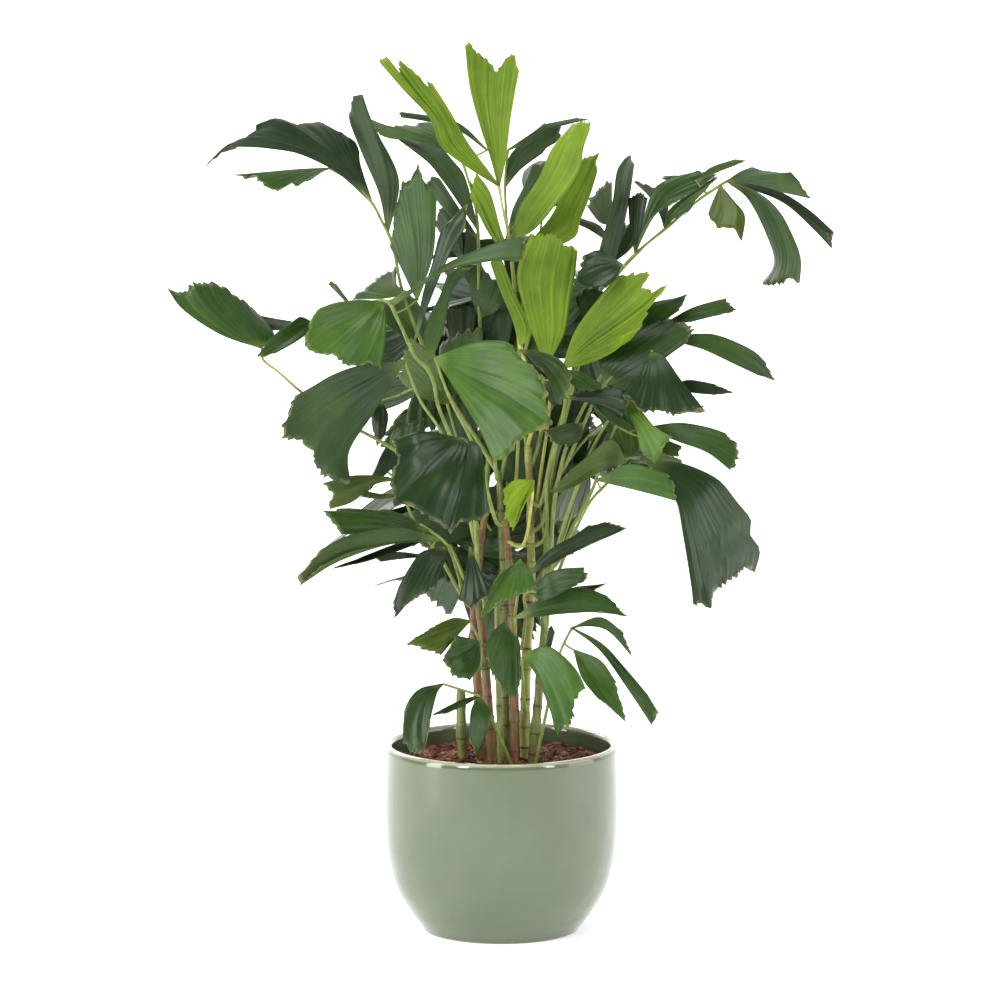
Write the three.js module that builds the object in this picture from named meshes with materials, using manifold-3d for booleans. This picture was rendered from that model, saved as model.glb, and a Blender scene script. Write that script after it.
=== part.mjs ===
// Potted fishtail palm (Caryota mitis): a clump of canes with fan-shaped, ragged-ended
// leaflets, growing in a glazed ceramic pot filled with soil and covered with bark.
// Millimetres, +Z up, origin at the centre of the pot's underside, front toward -Y.
import * as THREE from 'three';
import { mergeVertices } from 'three/addons/utils/BufferGeometryUtils.js';
import Module from 'manifold-3d';

const wasm = await Module();
wasm.setup();

// ---- driving dimensions ----
const POT_HEIGHT = 242;        // underside to the top of the rim
const POT_MAX_RADIUS = 151.3;  // widest point of the belly
const POT_FOOT_RADIUS = 100.5;
const POT_WALL = 9.7;
const POT_FLOOR = 12;
const POT_SIDES = 40;
const SOIL_TOP = 205;
const MULCH_TOP = 221;
const GAP = 0.35;              // clearance between pieces that touch
const LEAF_THICKNESS = 1.2;
const STALK_SIDES = 4;
const CANE_SIDES = 7;
const SNAP = 14;               // a blade this near its stalk grows straight out of it
const CUT_MARGIN = 0.4;        // how far a leaf stays off its neighbours

// Outer wall of the pot, radius and height, from the foot to the rim.
const POT_OUTSIDE = [
  [POT_FOOT_RADIUS, 0], [109.3, 13], [123, 31.8], [136, 55], [143.4, 79],
  [148, 102], [POT_MAX_RADIUS, 155], [150, 208], [149.2, 237], [147.4, 241], [144.6, POT_HEIGHT],
];

// Canes: centre lines from the soil upwards, foot and top radius.
const CANES = [
  { name: 'cane_1', foot: 6.6, top: 6.0, line: [[-49.4,8,206.4],[-51.6,8,276.8],[-51.6,8,309.4]] },
  { name: 'cane_2', foot: 6.6, top: 4.2, line: [[-22.6,14,206.4],[-29.8,14,308.3],[-34.9,14,399.5],[-28.4,12,477.8],[-18.2,8,556.1]] },
  { name: 'cane_3', foot: 6.6, top: 4.2, line: [[-10.4,-22,206.4],[-22,-22,366.9],[-28.3,-22,431.6],[-30.9,-24,483.6],[-29.6,-26,522.7]] },
  { name: 'cane_4', foot: 4.0, top: 3.0, line: [[-0.5,-40,206.4],[-4.1,-40,344.1],[-5.4,-38,408.5],[-4.1,-34,446.6]] },
  { name: 'cane_5', foot: 6.2, top: 4.0, line: [[6.6,20,206.4],[3.6,20,424.5],[1,18,502.8],[-2.8,14,587.5]] },
  { name: 'cane_6', foot: 6.4, top: 4.2, line: [[18.4,-18,206.4],[13.8,-18,430.9],[9.9,-20,483],[4.8,-20,534.6]] },
  { name: 'cane_7', foot: 6.8, top: 4.2, line: [[28.4,8,206.4],[33.1,8,361.5],[36.9,8,426.6],[38.1,8,504.4],[34.2,6,627.4]] },
  { name: 'cane_8', foot: 6.4, top: 4.2, line: [[38.7,-22,206.4],[49.6,-22,327.9],[55.9,-22,405.7],[60.9,-20,483]] },
];

// Fronds. stalk runs from the rachis tip down to the cane or soil. Each blade is
// [base, one side edge out to its corner, ragged end margin, other side edge, cells across, cells along].
const FRONDS = [
  { name: 'frond_01', tone: 'young', tip: 1.50, foot: 2.99,
    stalk: [[-2.8,0,959.6],[2.3,0,929.1],[11.1,2,890.7],[13.7,3,862.5],[17.5,0,814.3],[23.9,0,756.7],[44.2,-34.2,685.4],[34.2,6,627.4]],
    blades: [
      [[-2.8,0,959.6], [[-45.8,-13.8,987.6],[-77.3,-22.2,1013.8],[-88.5,-27,1045.8],[-121.1,-30.6,1081.5],[-153.8,-30,1119.2]], [[-145,-28.4,1126.6],[-127.5,-24.4,1104.9],[-130,-21.6,1122.3],[-112.4,-17.9,1108.1],[-98.7,-13.9,1090.1],[-92.4,-12.6,1086.2],[-93.6,-10.9,1094.9]], [[-26.8,-10.4,993.6],[-44.5,-14.8,1019.4],[-64.6,-15.4,1056.1],[-87.4,-9.6,1092.3]], 2, 3],
      [[-2.8,0,959.6], [[-14.2,0.4,999],[-26.9,3.8,1036.7],[-39.5,11.8,1082.9],[-45.9,25.8,1136.3]], [[-42.1,25.9,1141.3],[-31.9,25.1,1130],[-24.3,23.7,1122.5],[-19.3,22.8,1123.8],[-14.2,20.4,1113.9],[-5.3,16.5,1104.1],[2.2,12.3,1113.3],[8.6,7.6,1122.5],[17.4,2.7,1127.9],[19.9,-7.5,1111.1]], [[4.8,-7.8,993.4],[11.1,-13.3,1044.6],[16.1,-13.1,1076.2],[21.2,-10,1107.5]], 3, 4],
      [[11.4,2.1,889], [[25,-10.4,935.3],[47.7,-15.1,971.3],[61.6,-15.3,1004.3],[71.7,-14,1019.3],[90.6,-10,1041.8]], [[109.1,-43.7,1044.8]], [[41.5,-14.8,906.5],[76.7,-34,950.4],[99.2,-43.5,984.2],[104.1,-47.8,1012.4],[112.8,-50,1036.5]], 3, 4],
      [[13.7,2.4,862.1], [[59.4,14.6,913.5],[74.7,21.6,939.6],[105.3,40,991.3]], [[124.2,28.4,998.8],[120.4,25.6,990.2]], [[55.6,5.6,877.5],[93.7,9.4,893.7],[100,12.3,913.8],[111.5,17.6,942.5],[121.7,25,974.9]], 2, 3],
      [[13.7,2.4,862.1], [[-14.2,-28.9,900.4],[-29.3,-42.6,929.7],[-39.3,-50,950.7]], [[-39.3,-58.3,971.8],[-36.7,-60.7,960.7]], [[-1.6,-28.9,909.3],[-14.1,-49.5,957],[-31.7,-60,983.3]], 2, 3],
      [[24.8,-2.4,755.5], [[13.7,-8.8,792.3],[-1.6,-15.8,828.9],[-14.2,-20,865.1]], [[-9.1,-30.2,876.4]], [[40.4,-8.2,776.9],[21.3,-19.7,816.6],[2.2,-30,866.2]], 2, 3],
    ] },
  { name: 'frond_02', tone: 'young', tip: 1.50, foot: 2.59,
    stalk: [[78.5,-8,728.2],[60.7,-5,738.1],[62.2,4.7,699],[60.1,7.5,660.4],[51.2,7.5,596],[43.3,12.7,543.2],[37.2,7.5,543.2]],
    blades: [
      [[59.9,-3.8,734.7], [[49.3,-6.7,751.1],[36.5,-18.5,784.6],[26.3,-25.6,817.3],[20,-28.2,843.1],[22.5,-28.3,866],[36.4,-23.9,901.1]], [[50.2,-34.4,901],[69.1,-43.5,903.2],[74.1,-45.6,895.9],[82.9,-46.3,888.3],[91.8,-45.2,885.7]], [[72.1,-12.8,758.3],[80.8,-23.9,778.9],[86.9,-38.1,818.8],[93.1,-43.8,851.3],[96.8,-43.9,883]], 3, 4],
      [[78.5,-8,728.2], [[93.5,-22.7,776.2],[121.2,-30.6,817.9],[143.9,-30.5,845.9],[152.7,-29.4,852.2]], [[185.2,-46.5,854.1],[187.7,-47.8,853],[176.2,-57.1,836.3],[193.7,-64.2,832.1],[211.1,-71.2,843],[189.5,-79.9,820],[174.4,-85.9,792.9]], [[112.2,-49.9,740.1],[139.5,-77.8,757.7],[145.5,-89.4,776.9]], 3, 4],
    ] },
  { name: 'frond_03', tone: 'dark', tip: 1.50, foot: 3.00,
    stalk: [[-218.4,14,981.1],[-189.4,18,962.9],[-164.2,20,935.9],[-154,20,916.8],[-138.9,20,884.8],[-126.6,32.6,824.1],[-103.8,42.2,759.3],[-72,42.2,694.9],[-31.1,29.6,631.6],[-2.8,14,587.5]],
    blades: [
      [[-164.2,20,936], [[-198.2,13.7,968.4],[-218.4,11.7,982.6],[-255,10.1,999.3],[-280.3,10.2,1004.4],[-318.4,11.9,1008],[-354,15.2,1005.2],[-379.8,20,980.5]], [[-369.6,20.7,990.7],[-336.6,24,1006.9],[-325.2,25.7,1014.4],[-315.1,27.8,1024.3],[-303.7,30.6,1035.6],[-277.3,36.1,1028.7],[-258.4,40.8,1033.3],[-243.2,44.9,1035.5],[-218.1,53.4,1022]], [[-179.5,31.5,983.2],[-182.2,41.3,1001.4],[-190,50.2,1012.1],[-203,60,1008.6]], 3, 4],
      [[-218.4,14,981.1], [[-254.8,2.4,981],[-298.8,-6.7,978.1],[-336.7,-10,974.6]], [[-323.9,-13.5,968.6],[-315,-15.7,973.9],[-301,-18.5,964],[-285.8,-20.3,955.3],[-265.5,-21.2,966.8],[-256.7,-21.1,960.5]], [[-222,6.1,979.4],[-225.7,-0.1,978.7],[-241.6,-20,968]], 2, 3],
      [[-144.5,20.2,896.2], [[-154.1,26.8,945.4],[-173.3,41.6,988.6],[-190.2,61.9,1027.6],[-194.2,70,1040.9]], [[-191.5,64.5,1056.7],[-188.8,61.4,1068.5],[-178.5,59.5,1071.2]], [[-129.9,27.2,958.2],[-144,41.9,998.8],[-164.7,60,1027.8]], 1, 3],
    ] },
  { name: 'frond_04', tone: 'dark', tip: 1.50, foot: 3.00,
    stalk: [[8.7,84,997.4],[4.9,88,953.3],[8.7,80,888.6],[20.1,72.3,805.9],[21.9,63.3,729.7],[14.9,42.3,654.9],[-2.2,14.6,574.8]],
    blades: [
      [[4.9,87.8,949.5], [[6.1,90.9,973.6],[13.8,93.5,992.6],[34.3,99.9,1011.3],[56.2,110,1029.6]], [[75.3,97.9,1029.5],[75.2,89.3,1012.3]], [[24,80.4,972.1],[49.6,80,991.4]], 2, 3],
      [[8.7,84,997.4], [[34.3,85.7,1015.2],[56,89.6,1028.9],[94.5,100,1037]], [[113.7,96,1036]], [[36.8,84.4,1008.9],[58.6,87.4,1022.7],[94.5,96,1032.2]], 1, 2],
      [[9,80.4,889.7], [[15.1,71.2,921.6],[30.4,68,954.1],[40.6,70,979.5]], [[55.8,53.4,984.9]], [[24,64.7,919.8],[43.1,53.4,955.5],[59.6,50,977.6]], 1, 2],
    ] },
  { name: 'frond_05', tone: 'blue', tip: 1.50, foot: 3.00,
    stalk: [[-50,60,986.9],[-34.7,56,936],[-29.6,52,895.4],[-28.4,50,808.3],[-24.3,76.5,731],[-16.6,66.5,641.9],[-18.9,8.3,550.3]],
    blades: [
      [[-50,60,986.9], [[-90.5,33.1,1009.9],[-115.8,29.3,1015.3],[-141.3,33.7,1017.4],[-155.4,40,1022]], [[-164.1,33.8,1041.6],[-143.9,38.2,1032.3],[-135.1,43.2,1033.1],[-110,67.9,1025.8]], [[-65.2,48.9,1010.9],[-86.9,59,1033],[-107.6,78.7,1032.5]], 2, 3],
      [[-30.8,52.6,899.6], [[-65.2,43.1,950.2],[-76.7,43.7,965.4],[-90.7,46,983.1],[-109.8,50.5,998],[-132.8,58.4,1015.1]], [[-145.6,62.7,1023.7]], [[-46.2,55.5,964.3],[-62.8,62.1,986.7],[-78.1,68.7,1001.4],[-123.1,88.4,1016.2]], 2, 3],
      [[-29.3,51.5,886.9], [[-65.5,68.4,915.5],[-93.8,90,948]], [[-96.3,87.5,953.4],[-88.6,86.3,963.8]], [[-52.7,67.6,922],[-78.4,90,959.6]], 1, 2],
      [[-18.1,66,999.1], [[-52.6,70.7,1023],[-91,78.8,1033.7],[-129.5,90,1039.1]], [[-130.7,88.2,1044.4]], [[-52.6,71.4,1031.9],[-91,79.5,1041.4],[-128.2,90,1045.6]], 1, 2],
      [[-27.5,56.9,785.2], [[-39.9,50.3,821.1],[-33.5,60,856]], [[-16.9,47.6,844.6]], [[-4.1,39.8,796.7],[4.8,40,819.8]], 2, 3],
      [[-28.2,52.7,810.3], [[-50.2,67.9,844.8],[-52.8,80,869.2]], [[-50.2,71.1,893.4],[-39.9,69,901.3]], [[-24.6,60,845.7],[-29.7,70,883.2]], 2, 3],
      [[-50.2,66,855.4], [[-72,83.5,881.7],[-85,102.7,899]], [[-81,86.1,922.7]], [[-50.2,68.6,889.8],[-65.6,82.7,926.9]], 2, 3],
    ] },
  { name: 'frond_06', tone: 'dark', tip: 1.50, foot: 2.30,
    stalk: [[-8,72,702.3],[-6.9,65.8,639.1],[-1.8,40.8,577.9],[-1.9,14.9,568.5]],
    blades: [
      [[-46.5,70,702.5], [[-63.2,74.9,747.2],[-73.5,90,793.2]], [[-52.8,75.4,801.4]], [[-37.4,65,748.4],[-29.7,70,803.4]], 2, 3],
      [[-8,72,702.3], [[-20.8,72.8,747.5],[-27.2,80,785.4]], [[-4.1,64.4,796.3]], [[8.7,62.7,748.7],[17.7,60,796.8]], 2, 3],
      [[24.1,70,712.9], [[8.7,78.4,746.8],[11.3,95.9,774.4]], [[26.7,84.5,780.9]], [[34.4,75.5,747.1],[39.6,90,771.2]], 2, 3],
    ] },
  { name: 'frond_07', tone: 'green', tip: 1.50, foot: 3.00,
    stalk: [[-244,-50,788.5],[-191.1,-42,809.1],[-145.6,-42,818],[-131.8,-40,796.1],[-117.9,-40,765.6],[-107.8,-40,745.2],[-94,-38,732.2],[-85.2,-36,712.7],[-80.2,-34,684.3],[-62.5,-34,639.5],[-44.7,-36,588.5],[-29.6,-26,522.7]],
    blades: [
      [[-106.8,-10,815.5], [[-128.5,0.2,859],[-141.4,20,881]], [[-137.4,10.2,902.5],[-130.7,-5.3,942.4],[-126.7,-12.2,963.4],[-111.5,-17.8,976.6],[-106.3,-21.5,990.9],[-97.5,-26.3,968.6]], [[-96.5,-20.5,842.2],[-85,-30,881.5],[-81.1,-30,948.7]], 3, 4],
      [[-109.4,-14,764.9], [[-97.6,-34.8,831.2],[-87.4,-42.1,863.8],[-74.6,-48.4,908.8],[-51.9,-50,928]], [[-41.8,-57.5,946.5]], [[-90,-37.2,818.7],[-67.1,-53.6,873.9],[-45.6,-60,912.6]], 2, 3],
      [[-90.6,0,734.9], [[-98.1,-8.2,764.1],[-92.9,-12.5,790.2],[-77.6,-13.5,822.3],[-67.5,-10,851.2]], [[-52.2,-9.9,858.8]], [[-73.9,-7,776.8],[-62.4,-6.7,827.8],[-35.8,0,857.7]], 2, 3],
      [[-143,-41.9,817], [[-108.7,-53.6,837.2],[-77.1,-64.4,862.5],[-51.8,-70.5,875.8],[-20.4,-76.3,889.1],[11,-80,894.6]], [[33.5,-92.5,906],[31,-98.3,886.5]], [[-130.3,-46.8,817.3],[-89.7,-66.5,847.5],[-58.1,-78.4,864.1],[-7.8,-92.8,874.6],[24.8,-100,875.4]], 2, 3],
      [[-149.6,-41.8,816.6], [[-177.6,-76.5,823.4],[-208.5,-99.2,822.3],[-228.3,-107.8,817]], [[-239.5,-112.3,805],[-245.7,-117.2,780.3],[-247,-118.3,771.7],[-233.2,-119.6,760.5],[-208.2,-119.5,759.2],[-199.5,-118.3,746.4],[-179.5,-115.5,744.8],[-168.3,-113,749.5]], [[-144.9,-81.5,786],[-150.9,-107.9,740]], 3, 4],
      [[-188.4,-42.2,809.8], [[-203.9,-31.3,823.1],[-219.4,-20,837.1]], [[-215.5,-22,841.1]], [[-196.3,-32.4,820.7],[-209.2,-20,837.1]], 1, 2],
      [[-118.1,-20,825.6], [[-132.4,1.7,833.2],[-132.9,40,850.6]], [[-160.9,30.9,840.1],[-173.6,28.8,823.7]], [[-147.5,-4,817.3],[-190.2,30,812]], 2, 3],
      [[-244,-50,788.5], [[-280.2,-26.8,779.2],[-312.2,-18.8,780.8],[-333.5,-22.9,794.1]], [[-332.5,-15.3,798.2]], [[-269.9,-31.1,791.2],[-303.2,-19,796.1],[-327.1,-23.1,803]], 1, 2],
      [[-237.9,-49,791], [[-253.4,-70.4,801.1],[-265.7,-78.6,793.3],[-278.1,-84.6,786.4],[-293.1,-90,774.4]], [[-306.7,-100,755.4],[-300.3,-101,753]], [[-247.1,-72.8,778.6],[-265.5,-89.3,768],[-284,-100,759.2]], 2, 3],
    ] },
  { name: 'frond_08', tone: 'green', tip: 1.50, foot: 3.00,
    stalk: [[-301.9,-60,760.5],[-299.3,-90.2,749],[-280.1,-112.4,737.3],[-252.2,-117.8,713.3],[-208.6,-97.8,677.4],[-142.1,-74.4,637.5],[-72.7,-40.2,584.6],[-18.2,8,556.1]],
    blades: [
      [[-301.9,-60,760.5], [[-354.4,-67.6,779.2],[-402.1,-65.8,810.7],[-422.4,-60.1,837.9]], [[-411.1,-59.9,832.8],[-396,-58.9,832.7],[-389.7,-57.2,845.2],[-367.2,-53,843.4],[-344.9,-46.4,832.5],[-321.4,-36.2,816.1]], [[-286.8,-55.9,775.2],[-302.5,-36.5,798.3],[-307.9,-28.4,803.6]], 3, 4],
    ] },
  { name: 'frond_09', tone: 'dark', tip: 1.50, foot: 2.73,
    stalk: [[-121.5,-60,742.7],[-102.7,-58,694],[-76.6,-65,655.3],[-50,-64.2,590.6],[-33.7,-52,512.3],[-29.8,-25.7,517.4]],
    blades: [
      [[-121.5,-60,742.7], [[-177.3,-104.6,743.4],[-210.7,-122.9,734.4],[-239.3,-133.1,719.3],[-258,-136.3,709.7]], [[-264.2,-138.4,699.8],[-266.7,-140.6,683.7],[-274.2,-141.5,675],[-275.6,-142,656.1],[-255.6,-141.2,654.8],[-235.7,-138.5,641.7],[-234.6,-135.7,626.1],[-222.3,-129.7,605],[-204.9,-123.9,601.6]], [[-137.6,-78.5,719.6],[-162.5,-100.7,680.7],[-187.5,-112.7,644.4],[-192.5,-115.6,623.2],[-187.6,-116.3,591.5]], 3, 5],
      [[-153.2,-58,694], [[-163.3,-62.8,679.3],[-162.1,-60,656]], [[-157,-68.4,634.2]], [[-143,-67.5,676.2],[-146.8,-70,651]], 2, 2],
    ] },
  { name: 'frond_10', tone: 'olive', tip: 1.50, foot: 2.67,
    stalk: [[-138.7,-30,636.4],[-132.3,-40,589.1],[-119.6,-42,557.3],[-109.3,-35.1,534.2],[-76.5,-30.3,486.2],[-45.9,-28.1,433.8],[-28.8,-22.1,438.2]],
    blades: [
      [[-131.8,-39.7,589.6], [[-158.5,-62.1,597.5],[-190.8,-84.7,600.9],[-224.5,-100,594.2]], [[-211.7,-109.7,581.7],[-218,-111,567.9]], [[-159.7,-66.1,587.9],[-188.2,-94.7,569.2],[-215.5,-110,562.6]], 2, 3],
      [[-125.1,-41.4,570.2], [[-153.7,-52,572.9],[-176.3,-60,579.3]], [[-177.5,-65.4,575]], [[-153.6,-55,567],[-176.2,-66,571.2]], 1, 2],
      [[-138.7,-30,636.4], [[-150,-38.9,624.8],[-162.7,-40,595.5]], [[-181.5,-53.8,565.5]], [[-130.8,-50.7,616.3],[-147.1,-60,598.5]], 1, 2],
    ] },
  { name: 'frond_11', tone: 'dark', tip: 1.50, foot: 2.55,
    stalk: [[-49.2,-120,654.3],[-41.8,-101.3,610.8],[-33.9,-71.9,542.4],[-29.4,-46.3,474.2],[-30.9,-24.1,485.7]],
    blades: [
      [[-49.2,-120,654.3], [[-101.1,-184.7,672.3],[-135.7,-200,663.1]], [[-129.4,-205.8,636.4],[-138.1,-209.4,611.8],[-134.4,-210.5,599.4],[-134.4,-211.3,581.9],[-119.5,-211.3,583.2],[-98.5,-210.2,571.7],[-76.1,-207.4,558.7],[-63.7,-204.7,546.9],[-51.3,-200.8,560.2],[-28.9,-194.9,560.5]], [[-26.6,-148.5,647],[-20.2,-179.4,609.8],[-15.3,-190,567.3]], 3, 4],
    ] },
  { name: 'frond_12', tone: 'green', tip: 1.50, foot: 2.74,
    stalk: [[-83.1,-110,754.2],[-63.5,-104.6,699.7],[-31.8,-86.4,633.3],[-7,-54.6,539.3],[5.4,-20,529.2]],
    blades: [
      [[-83.1,-110,754.2], [[-47.6,-161.9,775.9],[-26.4,-182.1,784.7],[2.2,-197.2,786.6],[14.6,-200,780.8]], [[23.2,-208.1,766.8],[44.2,-218.6,752],[51.6,-224.2,736.5],[59,-228,724.5],[54.1,-230.4,714.9],[62.7,-234.8,686.8],[47.9,-235.9,680.7],[29.3,-236,672],[13.3,-234.2,653],[0.9,-231.9,642.7]], [[-64,-149.8,731.6],[-38.8,-194,696.1],[-26.3,-210.4,677.1],[-7.7,-230,637.4]], 3, 4],
    ] },
  { name: 'frond_13', tone: 'dark', tip: 1.50, foot: 3.00,
    stalk: [[285.9,0,966],[251.9,2,942.9],[214,0,910],[176,0,878.1],[143.2,0,839.8],[113.2,-5,775.9],[88.1,-8,699],[65.3,-8,621.8],[49.9,-5,550.9],[36.7,7.2,557.2]],
    blades: [
      [[170.3,0.1,871.8], [[175.6,-16.4,899],[188,-26,921.7],[203,-28.8,934.6]], [[239,-5.4,947.4],[274.9,11.3,975]], [[191.1,3.1,951.7],[216.5,9.2,968.9],[239.5,15.8,974.6]], 2, 3],
      [[207.4,0.2,905], [[210.8,-20.9,928.7],[225.5,-33.2,945.2],[250.5,-40,961.1]], [[272.9,-45.2,976.8]], [[215.8,-23,918.8],[235.3,-46.1,932.6],[228.9,-50,926.7]], 1, 2],
      [[170.3,0.1,871.8], [[163.8,24.2,907.4],[161.5,39.9,939]], [[176.4,24.7,949.5]], [[179,24.1,907.4],[186.9,41.2,941.4]], 1, 2],
      [[207.4,0.2,905], [[199.3,25.9,932.8],[183.3,50,952]], [[166.6,46.5,962.6]], [[212.1,29.2,932.4],[205,50,949.5]], 1, 2],
      [[251.9,6,962.8], [[227.1,25.6,969.8],[208.6,44.5,967.9]], [[203.4,42.5,965.6]], [[229.6,23.4,963.6],[209.9,44.5,962.8]], 1, 2],
      [[247.9,0,964.7], [[263.8,-15.5,984],[294.8,-30,996.8]], [[309.8,-32,995.7]], [[267.6,-15.5,976.4],[296.1,-30,989.2]], 1, 2],
      [[285.9,0,966], [[303.3,23.8,975.1],[319.5,50.4,978.8]], [[332.3,49.9,973.8],[357.8,49.4,971.3],[369.2,49.5,972.5],[380.8,49.9,959.7],[395.1,51.1,937.8]], [[296.8,17.7,957.8],[320,60,963.8]], 2, 3],
      [[285.9,0,966], [[327,-17.3,961.4],[358.3,-26.2,952.1],[392.1,-35.1,930.2],[419.7,-41.3,905.5]], [[417.5,-38.8,883.7]], [[327.1,-17.9,953.8],[358.3,-26.8,943.3],[385.9,-34.2,923.8],[413.5,-40,902.9]], 1, 2],
      [[277.7,0.5,960.4], [[264.3,-45.7,940.2],[260.1,-60,930.3]], [[271.1,-71.1,915.1],[290.9,-77.8,913.3],[299.7,-79.8,903.4]], [[292.7,-25.8,944.5],[306.9,-51.4,928.1],[303.5,-80,898.4]], 2, 3],
      [[285.9,0,966], [[313.1,-20.1,943.9],[339.5,-33.2,888.2],[343.6,-29.6,862.3],[329,-20.2,838.4]], [[338.7,-58.4,839],[354.8,-91.8,848],[362,-97.2,853.6]], [[326.2,-37.8,953.3],[350.5,-60.9,932.9],[366.3,-77.5,904.4],[376.1,-86.5,876.4],[374.9,-90,845.2]], 2, 3],
      [[152.9,-20,862.5], [[124.5,-51.4,883.8],[102.9,-60,877.2]], [[99.1,-66.4,860.2],[90.3,-70.6,843],[111.7,-72,835.5]], [[147.3,-48.1,851.8],[131.8,-70,839.1]], 2, 3],
    ] },
  { name: 'frond_14', tone: 'dark', tip: 1.50, foot: 3.00,
    stalk: [[141,30,906.8],[132.1,26,888],[122,20,811.9],[106.8,20,760.6],[85.9,3,696],[67.2,-4.8,618.6],[52.9,1,528.4],[37.9,7.9,515.1]],
    blades: [
      [[122.1,20.8,816.8], [[129.4,18.3,888.9],[142,21.9,939.6],[147.1,26.7,976.1],[157.3,30,992.3]], [[163.8,38,996.6]], [[136,23.2,837.1],[151.3,32.1,887.4],[162.8,45.6,939.7],[169.4,60,983]], 2, 3],
      [[141,30,906.8], [[125.9,44.3,909.1],[108.5,80,927.2]], [[126.2,69.2,950.1],[133.9,68.9,957.8]], [[141.1,40,924.9],[141.6,70,959]], 2, 3],
      [[135,27,887.4], [[113.2,41,899.2],[96.8,60,904.9]], [[96.8,57.2,911.6]], [[125.8,36,904.9],[100.6,60,912.6]], 1, 2],
      [[126.1,30,759.3], [[106.7,17.1,786.6],[95.2,15,812.5]], [[107.7,5.9,828.9],[122.9,3.8,829.2]], [[138.5,13.4,787.1],[130.6,5,820.1]], 2, 3],
    ] },
  { name: 'frond_15', tone: 'green', tip: 1.50, foot: 3.00,
    stalk: [[211.8,-6,786.9],[176.2,-10,777.1],[138.5,-29.2,739],[107,-43.8,688],[81.8,-48.5,630.2],[69.1,-41.8,572],[62.5,-31.2,507.9],[60.9,-20,483]],
    blades: [
      [[176.3,-10,777.2], [[182.4,-11.1,800.3],[192.5,-9.7,811.6],[227.1,0,816.8]], [[236.9,-10.2,824.4]], [[201.3,-19.7,787.3],[226.5,-20,803.9]], 2, 3],
      [[211.8,-6,786.9], [[239.3,-16.5,804.8],[264.5,-20.2,814.1],[284.7,-20,819.2]], [[298.3,-31.8,805.3]], [[239.1,-27.3,789.5],[267.7,-40,798.7]], 2, 3],
    ] },
  { name: 'frond_16', tone: 'blue', tip: 1.50, foot: 3.00,
    stalk: [[206.9,-50,771.9],[175.4,-50,750.3],[127.4,-50,709.5],[105.9,-19.3,659.6],[84.6,3.5,606.9],[68.2,9.5,567.4],[63.1,-3.3,468.2],[59.5,-20.7,459.9]],
    blades: [
      [[131.8,-48.1,711.5], [[127.4,-48.4,741.2],[156.6,-40.2,768.1],[201.2,-20,791.1]], [[225.9,-44.7,791.6],[244.4,-60.2,783.4]], [[175.1,-66.1,726.9],[231.6,-70,769.4]], 3, 4],
      [[206.9,-50,771.9], [[251,-52,777.3],[276.3,-50.9,774.6],[317.1,-45.2,756],[335.1,-40,738.8]], [[346.2,-49,717]], [[238.3,-54.7,763.6],[257.3,-55.9,757.4],[289,-55,742],[322.1,-50,726.1]], 2, 3],
    ] },
  { name: 'frond_17', tone: 'dark', tip: 1.50, foot: 3.00,
    stalk: [[220.7,-60,714.6],[187.7,-68,720.8],[152.3,-84.4,695.1],[118,-91.9,643.2],[85.8,-76.9,557],[67.9,-63.9,491.4],[55.7,-48.4,433],[58.6,-21.1,446.1]],
    blades: [
      [[190,-70,756.7], [[174.2,-102.3,738],[151.4,-120,708.7]], [[180.2,-125.5,685.4],[199,-125,689.2],[217.9,-122.1,683.7],[228,-119.6,685.9],[245.7,-113.8,686.4]], [[204.8,-83.1,752],[224.5,-102.2,726.6],[254.6,-110,688.4]], 2, 3],
      [[220.7,-60,714.6], [[238.2,-67.4,720.7],[269.6,-70,716]], [[294.7,-75.1,705.2]], [[238.2,-69.3,705.7],[269.6,-74,702.5]], 1, 2],
    ] },
  { name: 'frond_18', tone: 'green', tip: 1.50, foot: 2.72,
    stalk: [[155.7,-90,704.7],[147.1,-88,672.6],[131.4,-89.2,633.3],[113.1,-76.9,577],[90.5,-64.9,532.8],[72.7,-44.2,485.4],[60,-20.4,469.2]],
    blades: [
      [[155.7,-90,704.7], [[154.2,-106.2,687.9],[167.8,-120.6,670.8],[173.9,-130,640.5]], [[192.4,-145.5,623.8]], [[176.5,-120.2,687.2],[193.7,-139.3,669.7],[213.4,-150,659.8]], 2, 3],
      [[181.1,-90,662.7], [[222.1,-105.9,671.3],[257.2,-111,667],[281.1,-110,659.2]], [[298.2,-124.4,643.5],[295.7,-129.9,621.5]], [[224.5,-113.2,648.2],[259.4,-124.7,635.9],[288.2,-130,613.9]], 2, 3],
      [[181.2,-86,649.5], [[199.8,-98.2,651.2],[227.2,-110,642.7]], [[221.9,-118.8,630]], [[193.4,-104.4,639.4],[211.9,-120,631.5]], 1, 2],
    ] },
  { name: 'frond_19', tone: 'dark', tip: 1.50, foot: 2.58,
    stalk: [[174.9,-90,624.6],[156.1,-84,622.4],[137.3,-80,595],[111.9,-87.6,568],[89.3,-79.9,520.8],[69.4,-53.6,466.2],[58.9,-20.9,450.7]],
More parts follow.
